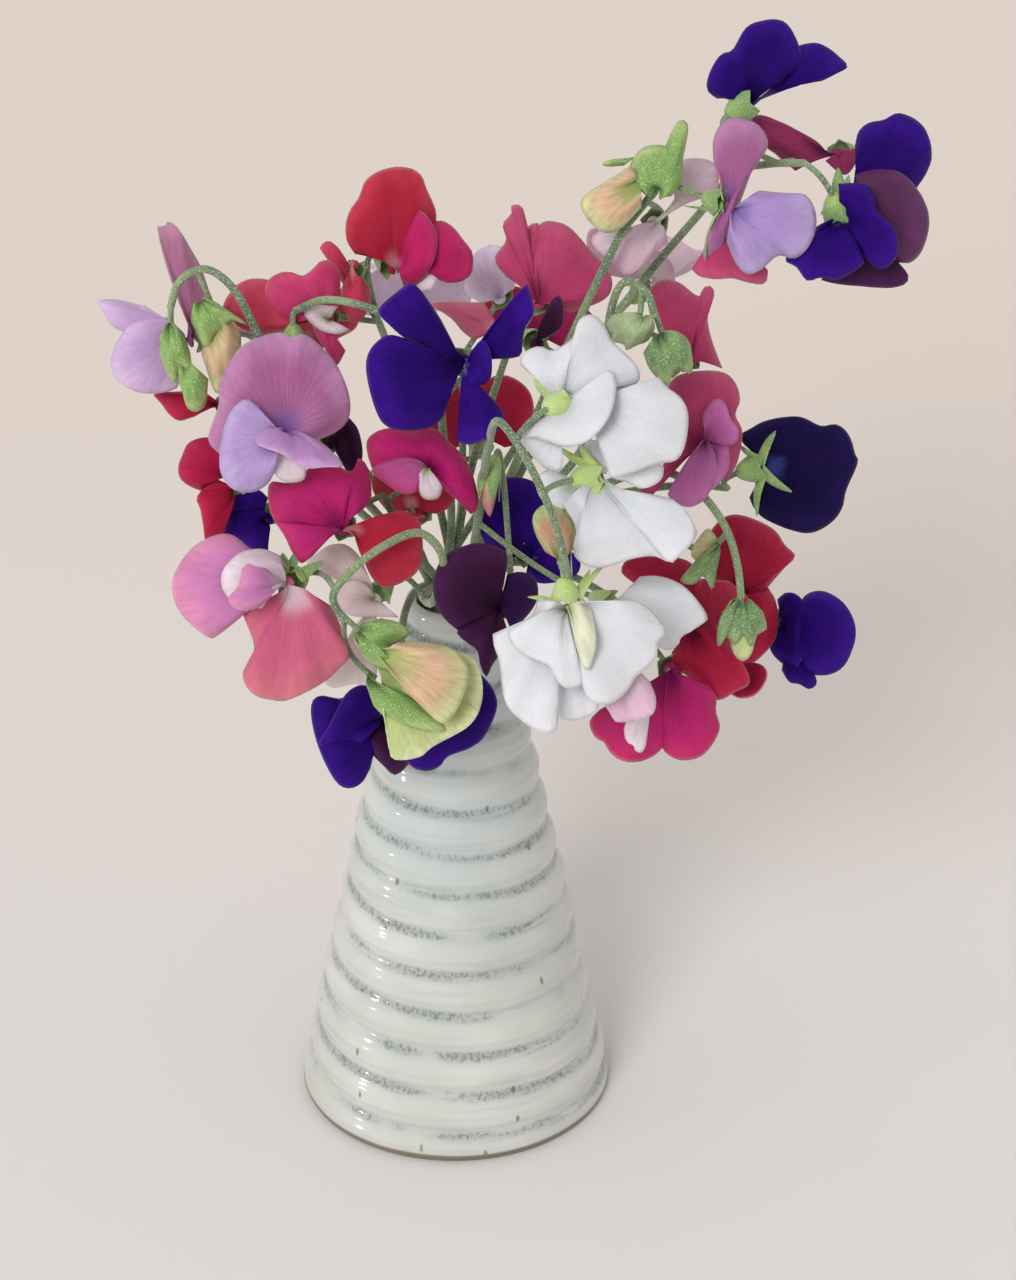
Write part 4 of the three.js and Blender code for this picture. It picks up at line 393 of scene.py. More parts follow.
class Stock:
    """Flat sheets that every petal and skin is shaped from, one for each count of faces."""

    blanks: dict[tuple[int, int], Mesh] = {}

    @classmethod
    def sheet(cls, name: str, columns: int, rows: int) -> tuple[Object, Rows, Rows]:
        """A new sheet, with its own mesh.

        Args:
            name: the new object's name.
            columns: faces across it.
            rows: faces along it.

        Returns:
            The object, and for each corner its place across, -1 to 1, and along, 0 to 1.
        """
        key = (columns, rows)
        if key not in cls.blanks:
            bpy.ops.object.select_all(action="DESELECT")
            bpy.ops.mesh.primitive_grid_add(x_subdivisions=columns, y_subdivisions=rows, size=2)
            first = bpy.context.active_object
            bpy.ops.object.shade_smooth()
            cls.blanks[key] = first.data
            cls.blanks[key].use_fake_user = True
            bpy.data.objects.remove(first)
        obj = in_scene(name, cls.blanks[key].copy())
        flat = cls.spots(obj)
        return obj, flat[:, 0], (flat[:, 1] + 1) / 2

    @staticmethod
    def spots(obj: Object) -> Rows:
        """The places of an object's corners, one row each."""
        flat = np.zeros(len(obj.data.vertices) * 3)
        obj.data.vertices.foreach_get("co", flat)
        return flat.reshape(-1, 3)

    @staticmethod
    def place(obj: Object, millimetres: Rows) -> None:
        """Moves an object's corners to places in the row frame, in millimetres."""
        obj.data.vertices.foreach_set("co", (millimetres * MM).ravel())
        obj.data.update()

    @classmethod
    def discard(cls) -> None:
        """Removes the blanks once all is made."""
        for mesh in cls.blanks.values():
            bpy.data.meshes.remove(mesh)
        cls.blanks.clear()


def thicken(obj: Object, thickness: float) -> Object:
    """Gives a sheet its thickness in millimetres, half to each side, and returns it."""
    active(obj)
    bpy.ops.object.modifier_add(type="SOLIDIFY")
    solidify = obj.modifiers[-1]
    solidify.thickness = thickness * MM
    solidify.offset = 0
    bpy.ops.object.modifier_apply(modifier=solidify.name)
    return obj


def close_seam(obj: Object) -> Object:
    """Merges the seam and the poles of a skin, turns its faces outwards, and returns it."""
    active(obj)
    bpy.ops.object.mode_set(mode="EDIT")
    bpy.ops.mesh.select_all(action="SELECT")
    bpy.ops.mesh.remove_doubles(threshold=0.02 * MM)
    bpy.ops.mesh.normals_make_consistent(inside=False)
    bpy.ops.object.mode_set(mode="OBJECT")
    return obj


def skin(name: str, faces: tuple[int, int], base: Vector | Triple, axes: Axes, shape: Callable) -> Object:
    """A sheet wrapped round on itself, closed where its two ends run to a point.

    Args:
        name: the new object's name.
        faces: how many lie round it and along it.
        base: where its own places start.
        axes: its side, up and facing.
        shape: takes the turn round it in radians and the share along it, and gives the radius along its
            side, the radius along its up, how far its middle bends aside, and how far forward it lies.

    Returns:
        The object.
    """
    obj, a, share = Stock.sheet(name, *faces)
    turn = (a + 1) * math.pi
    wide, high, bend, ahead = shape(turn, share)
    own = np.column_stack([wide * np.cos(turn) + bend, high * np.sin(turn), ahead])
    Stock.place(obj, laid(base, axes, own))
    return close_seam(obj)


def joined(name: str, parts: list[Object]) -> Object:
    """One piece made of several.

    Args:
        name: the piece's name.
        parts: objects at the origin, which are used up.

    Returns:
        The piece.
    """
    piece = active(parts[0])
    for part in parts:
        part.select_set(True)
    if len(parts) > 1:
        bpy.ops.object.join()
    piece.name = name
    piece.data.name = name
    return piece


def hand_in(piece: Object, node: str, material: Material) -> str:
    """Paints a finished piece and puts it in the place of a solid.

    Args:
        piece: the finished object.
        node: the solid that it replaces.
        material: its finish.

    Returns:
        The piece's name.
    """
    piece.data.materials.clear()
    piece.data.materials.append(material)
    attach(piece, "root")
    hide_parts(node)
    return piece.name


@dataclass(frozen=True)
class PetalForm:
    """The shape of a petal: an outline round a point off its foot, folded and leant back."""

    half: float
    spread: float
    offset: float
    narrow: float
    notch: float
    cup: float
    ruffle: float
    phase: float
    crease: float
    fold: float
    reflex: float
    lean: float
    frill: float

    def points(self, a: Rows, t: Rows) -> Rows:
        """Places on the petal in its own frame: X across, Y away from its foot, Z the way it faces.

        Args:
            a: from -1 to 1 across the petal.
            t: from 0 at its foot to 1 at its edge.

        Returns:
            One row of three numbers, in millimetres, for each place.
        """
        angle = a * self.spread
        notch = 1 - self.notch * np.exp(-((angle / math.radians(15)) ** 2))
        notch = notch * (1 - 0.3 * np.clip((np.abs(a) - 0.7) / 0.3, 0, 1) ** 2.2)
        reach = self.offset * np.cos(angle) + np.sqrt(1 - (self.offset * np.sin(angle)) ** 2)
        uneven = 1 + 0.012 * np.sin(7 * angle + self.phase) * t
        distance = t * self.half * reach * notch * uneven
        across = distance * np.sin(angle) * self.narrow
        along = distance * np.cos(angle)
        bowl = self.cup * self.half * (distance / (self.half * 1.5)) ** 2
        wave = self.ruffle * t ** 3 * np.sin(PLAIN_WAVES * angle + self.phase)
        swing = PLAIN_FRILLS * angle + 1.7 * self.phase + 0.9 * np.sin(2.3 * angle)
        frill = self.frill * t ** 6 * np.sin(swing)
        crease = -self.crease * np.exp(-((a / 0.25) ** 2)) * t
        sharp = -0.35 * self.crease * np.exp(-((a / 0.05) ** 2)) * t * (1 - 0.6 * t)
        height = bowl + wave + frill + crease + sharp
        fold_radius = self.half / self.fold
        turn = across / fold_radius
        x = (fold_radius + height) * np.sin(turn)
        z = (fold_radius + height) * np.cos(turn) - fold_radius
        bend_radius = self.half / self.reflex
        lean = self.lean + along / bend_radius
        y = bend_radius * (np.sin(lean) - math.sin(self.lean)) + z * np.sin(lean)
        forward = -bend_radius * (math.cos(self.lean) - np.cos(lean)) + z * np.cos(lean)
        return np.column_stack([x, y, forward])

    def build(self, name: str, faces: tuple[int, int], root: Vector, foot: Vector, axes: Axes) -> Object:
        """The petal as a closed thin solid.

        Args:
            name: the new object's name.
            faces: how many lie across and from foot to edge.
            root: where it springs from.
            foot: where it widens.
            axes: the ways in the model of its own X, Y and Z.

        Returns:
            The object.
        """
        obj, a, t = Stock.sheet(name, *faces)
        places = laid(foot, axes, self.points(a, np.maximum(t, 0.03)))
        claw = t < 0.5 / faces[1]
        places[claw] = as_row(root) + np.outer(a[claw], as_row(axes[0])) * 0.8
        Stock.place(obj, places)
        return thicken(obj, PETAL_THICKNESS)


@dataclass(frozen=True)
class Petal:
    """A petal as it is drawn in the view: its foot, and the points that its edge passes.

    Points are pixels across and down the view; those of the edge stand in pairs, such as "287,432".
    Depths are millimetres behind the throat: of the foot, and of the edge at its start, its middle and
    its end. The swell is how far the petal's middle stands out towards the eye.
    """

    paint: PetalPaint
    foot: Triple
    swell: float
    depths: Triple
    edge: str

    def swept_edge(self, foot: Vector, columns: int) -> list[Vector]:
        """The drawn edge at even steps, held back wherever it would turn back round the foot.

        Args:
            foot: the petal's foot as it is seen, in pixels.
            columns: how many steps it is cut into.

        Returns:
            Places in pixels from the foot.
        """
        pairs = (pair.split(",") for pair in self.edge.split())
        corners = [Vector((float(across), float(down), 0)) - foot for across, down in pairs]
        farthest = max(corner.length for corner in corners)
        run = centripetal([corner for corner in corners if corner.length > DRAWN_NEAREST * farthest], 12)
        even = evenly(run, columns)
        turns = [math.remainder(math.atan2(b.y, b.x) - math.atan2(a.y, a.x), 2 * math.pi)
                 for a, b in zip(even, even[1:])]
        way = math.copysign(1, sum(turns))
        angle = math.atan2(even[0].y, even[0].x)
        owed = 0.0
        held = [even[0]]
        for turn, place in zip(turns, even[1:]):
            wanted = turn * way + owed
            taken = max(wanted, DRAWN_LEAST_SWEEP / columns)
            owed = wanted - taken
            angle += taken * way
            held.append(Vector((math.cos(angle), math.sin(angle), 0)) * place.length)
        return held

    def rim(self, root: Vector, foot: Vector, columns: int) -> Rows:
        """The petal's edge in the model.

        Args:
            root: where it springs from the receptacle.
            foot: where it widens.
            columns: how many steps the edge is cut into.

        Returns:
            One row for each step's end, in millimetres.
        """
        first, middle, last = self.depths
        seen = seen_at(foot)
        places = []
        for k, offset in enumerate(self.swept_edge(seen, columns)):
            a = 2 * k / columns - 1
            behind = middle + (last - first) / 2 * a + ((first + last) / 2 - middle) * a ** 2
            pixel = seen + offset
            places.append(as_row(place_in_view(pixel.x, pixel.y, depth_of(root) + behind)))
        return np.array(places)

    def relief(self, t: Rows, along: Rows, a: Rows) -> Rows:
        """How far the petal stands out towards the eye from the straight way between foot and edge.

        Args:
            t: from 0 at its foot to 1 at its edge.
            along: millimetres along the edge.
            a: from -1 to 1 along the edge.

        Returns:
            Millimetres.
        """
        phase = self.foot[0] * 0.37 + self.foot[1] * 0.11
        wander = (along + 2.5 * np.sin(along / 11 + phase)) * 2 * math.pi
        ruffle = self.paint.ruffle * t ** 2.6 * np.sin(wander / RUFFLE_LENGTH + phase)
        frill = FRILL_DEPTH * t ** 7 * np.sin(wander / FRILL_LENGTH + 2 * phase)
        pleat = PLEAT_DEPTH * np.sin(wander / PLEAT_LENGTH) * t * (1.15 - t)
        fold = np.exp(-((a / 0.1) ** 2)) + 0.4 * np.exp(-((a / 0.02) ** 2))
        crease = -self.paint.crease * fold * t * (1.2 - t)
        return self.swell * np.sin(math.pi * t) + ruffle + frill + pleat + crease - LIP_DROP * t ** 6

    def build(self, name: str, root: Vector) -> Object:
        """The petal as a closed thin solid.

        Args:
            name: the new object's name.
            root: where it springs from the receptacle.

        Returns:
            The object.
        """
        foot = place_in_view(self.foot[0], self.foot[1], depth_of(root) + self.foot[2])
        coarse = self.rim(root, foot, 24)
        deepest = float(np.linalg.norm(coarse - as_row(foot), axis=1).max())
        columns = int(np.clip(along_run(coarse)[-1] / COLUMN_WIDTH, 18, 72))
        rows = int(np.clip(deepest / ROW_HEIGHT, 8, 22))
        rim = self.rim(root, foot, columns)
        run = along_run(rim)
        obj, a, t = Stock.sheet(name, columns, rows)
        column = np.rint((a + 1) / 2 * columns).astype(int)
        base = as_row(foot)
        share = np.clip(t / CLAW_END, 0, 1)[:, None]
        start = as_row(root) + (base - as_row(root)) * share * (2 - share)
        places = start + (rim[column] - base) * t[:, None]
        places -= np.outer(self.relief(t, run[column], a), as_row(SIGHT))
        middle = rim[columns // 2] - base
        across = rim[min(columns // 2 + 2, columns)] - rim[max(columns // 2 - 2, 0)]
        across -= middle * (across @ middle) / (middle @ middle)
        across /= np.linalg.norm(across)
        claw = t < 0.5 / rows
        places[claw] = as_row(root) + np.outer(a[claw], across) * CLAW_HALF_WIDTH
        Stock.place(obj, places)
        self.lay_out(obj, run)
        return thicken(obj, PETAL_THICKNESS)

    @staticmethod
    def lay_out(obj: Object, run: Rows) -> None:
        """Rewrites the sheet's map, so that one unit across it is 100 mm of the petal's edge.

        Args:
            obj: the flat sheet's object, before it is thickened.
            run: millimetres along the edge at the end of each column.
        """
        layer = obj.data.uv_layers.active.data
        flat = np.zeros(len(layer) * 2)
        layer.foreach_get("uv", flat)
        columns = flat[::2] * (len(run) - 1)
        flat[::2] = np.interp(columns, np.arange(len(run)), run) / MAP_UNIT
        layer.foreach_set("uv", flat)


@dataclass
class Bloom:
    """One flower: the receptacle and the petals that spring from it.

    A bloom that the view draws petals for has those. Any other has a standard of the given half width
    and fold, and both wings as one hood.
    """

    name: str
    at: Triple
    facing: Triple
    up: Triple
    variety: Variety
    half: float = 0
    fold: float = 0
    throat: Vector = field(default_factory=Vector)

    def axes(self) -> Axes:
        """The bloom's side, up and facing."""
        return square_axes(self.facing, self.up)

    def find_throat(self) -> None:
        """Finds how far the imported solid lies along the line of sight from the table's place.

        The four back corners of the receptacle lie at known offsets from the throat, so the shift that
        most of them agree on is the true one.
        """
        facing = self.axes()[2]
        across = (RECEPTACLE_GUIDE - facing * RECEPTACLE_GUIDE.dot(facing)).normalized()
        down = facing.cross(across)
        start = Vector(self.at) + facing * RECEPTACLE_GAP
        corners = Stock.spots(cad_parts[self.name]) / MM
        shifts = []
        for ray in (across, -across, down, -down):
            away = corners - as_row(start + ray * RECEPTACLE_RADIUS)
            along = away @ as_row(SIGHT)
            beside = np.linalg.norm(away - np.outer(along, as_row(SIGHT)), axis=1)
            shifts.extend(along[beside < 0.02])
        if not shifts:
            raise ValueError(f"{self.name}: the receptacle isn't in the packed solid")
        votes = [sum(abs(shift - other) < 0.05 for other in shifts) for shift in shifts]
        self.throat = Vector(self.at) + SIGHT * float(shifts[votes.index(max(votes))])

    def standard(self) -> Object:
        """The large upright petal of a plain bloom."""
        axes = self.axes()
        middle = self.throat + axes[2] * STANDARD_SEAT
        form = PetalForm(
            half=self.half, spread=math.radians(118), offset=0.45, narrow=1, notch=0.1, cup=0.08,
            ruffle=1.1, phase=self.half, crease=1.2, fold=self.fold, reflex=0.45, lean=STANDARD_LEAN,
            frill=0.45)
        root = middle + axes[1] * (RECEPTACLE_RADIUS - 1.4)
        foot = middle + axes[1] * (RECEPTACLE_RADIUS + 0.7)
        return form.build(f"{self.name}_standard", (48, 22), root, foot, axes)

    def hood(self) -> Object:
        """Both wings of a plain bloom as one hooded petal."""
        side, up, facing = self.axes()
        along = facing * math.cos(HOOD_DROP) - up * math.sin(HOOD_DROP)
        form = PetalForm(
            half=self.half * HOOD_SIZE, spread=math.radians(82), offset=0.8, narrow=1.15, notch=0.16,
            cup=-0.1, ruffle=0.9, phase=self.half, crease=0.8, fold=1.1, reflex=0.3, lean=0, frill=0.35)
        root = self.throat + facing * WING_SEAT
        axes = (side, along, side.cross(along))
        return form.build(f"{self.name}_hood", (36, 18), root, root + facing * 3.2, axes)

    def receptacle(self) -> Object:
        """The small round seat inside the calyx that the petals spring from."""
        def shape(turn: Rows, share: Rows) -> tuple:
            """The seat's skin."""
            radius = RECEPTACLE_RADIUS * np.sin(math.pi * share) ** 0.5 * (1 - 0.3 * share)
            return radius, radius, 0, RECEPTACLE_GAP + (SEAT_LENGTH - RECEPTACLE_GAP) * share

        return skin(f"{self.name}_seat", (12, 6), self.throat, self.axes(), shape)

    def petals(self) -> dict[PetalPaint, list[Object]]:
        """The bloom's petals as thin solids, by their paint."""
        if self.name not in PETALS:
            return {self.variety.standard: [self.standard()], self.variety.wings: [self.hood()]}
        root = self.throat + self.axes()[2] * STANDARD_SEAT
        made: dict[PetalPaint, list[Object]] = {}
        for k, petal in enumerate(PETALS[self.name]):
            made.setdefault(petal.paint, []).append(petal.build(f"{self.name}_{k}", root))
        return made

    def build(self, paints: "PaintBox") -> list[str]:
        """Makes and paints all of the bloom's pieces, one for each paint.

        Args:
            paints: where the finishes come from.

        Returns:
            The names of the pieces.
        """
        self.find_throat()
        made = self.petals()
        next(iter(made.values())).append(self.receptacle())
        return [hand_in(joined(f"{self.name}_{paint.name}", parts), self.name,
                        paints.petal(paint)) for paint, parts in made.items()]

    def calyx(self) -> list[Object]:
        """The cup that holds the bloom, and its long sepals where the view draws those."""
        tips = SEPAL_TIPS.get(self.name, ())
        reach = 2.6 if tips else 1.8
        mouth = CALYX_MOUTH_RADIUS * (STAR_CUP if tips else 1)

        def shape(turn: Rows, share: Rows) -> tuple:
            """The cup and its five short points."""
            run = share * (CALYX_CUP + reach * tooth_of(turn)[1] ** 1.35)
            inside = np.minimum(run, CALYX_CUP)
            beyond = np.maximum(run - CALYX_CUP, 0)
            radius = mouth * np.sqrt(np.clip(inside / CALYX_CUP, 0, 1)) + 0.35
            radius = radius + beyond * math.sin(CALYX_FLARE) * 0.72
            drop = 0.05 * beyond ** 2 * math.sin(CALYX_FLARE)
            return radius, radius, 0, inside + beyond * math.cos(CALYX_FLARE) - drop

        cup = skin(self.name, (50, 14), self.calyx_foot(), self.axes(), shape)
        return [thicken(cup, CALYX_THICKNESS), *(self.sepal(tip) for tip in tips)]

    def calyx_foot(self) -> Vector:
        """Where the pedicel meets the calyx."""
        return self.throat - self.axes()[2] * CALYX_LENGTH

    def sepal(self, tip: Triple) -> Object:
        """A long pointed sepal from the mouth of the calyx to its drawn tip.

        Args:
            tip: its pixel across and down the view, and its depth behind the throat.

        Returns:
            The object.
        """
        end = as_row(place_in_view(tip[0], tip[1], depth_of(self.throat) + tip[2]))
        facing = as_row(self.axes()[2])
        mouth = as_row(self.throat) - facing * SEPAL_SEAT
        out = end - mouth
        out -= facing * (out @ facing)
        out /= np.linalg.norm(out)
        start = mouth + out * CALYX_MOUTH_RADIUS * 0.8
        line = end - start
        length = float(np.linalg.norm(line))
        line /= length
        bow = facing - line * (facing @ line)
        obj, a, t = Stock.sheet(f"{self.name}_sepal", 8, 14)
        width = SEPAL_WIDTH * (1 - t) ** 0.8 * (1 + 0.35 * t) + 0.1
        places = (start + np.outer(t * length, line) + np.outer(a * width, np.cross(line, bow))
                  + np.outer(0.09 * length * np.sin(math.pi * t) - 0.5 * width * a ** 2, -bow))
        Stock.place(obj, places)
        return thicken(obj, SEPAL_THICKNESS)


def tooth_of(turn: Rows) -> tuple[Rows, Rows]:
    """The share across its sepal that each turn round a calyx meets, and how near its middle."""
    step = (turn * SEPALS / (2 * math.pi)) % 1
    return step, 1 - np.abs(step * 2 - 1)


@dataclass(frozen=True)
class Bud:
    """A closed bud at the end of its pedicel, or one that opens and whose petals are drawn."""

    at: Triple
    facing: Triple
    length: float
    fat: float = 4
    drawn: str = ""

    def axes(self) -> Axes:
        """The bud's side, up and facing."""
        return square_axes(self.facing, BUD_UP)

    def radius(self, turn: Rows, run: Rows) -> Rows:
        """The pod's radius, with three soft ridges, at a turn round it and a share of its length."""
        ridge = 1 + 0.16 * np.cos(3 * turn)
        return self.fat * BUD_FULLNESS * np.sin(math.pi * run ** 0.85) ** 0.75 * ridge

    def pod(self) -> Object:
        """The folded petals: a pod that runs to a blunt point."""
        def shape(turn: Rows, share: Rows) -> tuple:
            """The pod's skin."""
            radius = self.radius(turn, share)
            bend = self.length * BUD_BEND * np.sin(math.pi * share)
            return radius * 0.82, radius, bend, share * self.length

        return skin("bud_body", (30, 22), self.at, self.axes(), shape)

    def calyx(self) -> Object:
        """The calyx, whose sepals clasp the pod for over half its length."""
        def shape(turn: Rows, share: Rows) -> tuple:
            """The clasping sepals."""
            step, tooth = tooth_of(turn)
            tooth = tooth ** 1.2
            run = share * (0.34 + 0.4 * tooth)
            keel = 0.5 * np.exp(-(((step - 0.5) / 0.1) ** 2)) * share
            radius = self.radius(turn, np.clip(run, 0.001, 1)) + 0.35 + keel
            radius = radius + 2.5 * np.maximum(share - 0.8, 0) * tooth
            bend = self.length * BUD_BEND * np.sin(math.pi * run)
            return radius * 0.84, radius, bend, run * self.length

        return thicken(skin("bud_sepals", (60, 14), self.at, self.axes(), shape), SEPAL_THICKNESS)


@dataclass(frozen=True)
class Stem:
    """A stem, the blooms that it carries, the places that it passes above the rim, and its buds."""

    bunch: str
    blooms: list[str]
    via: list[Triple]
    buds: list[Bud] = field(default_factory=list)


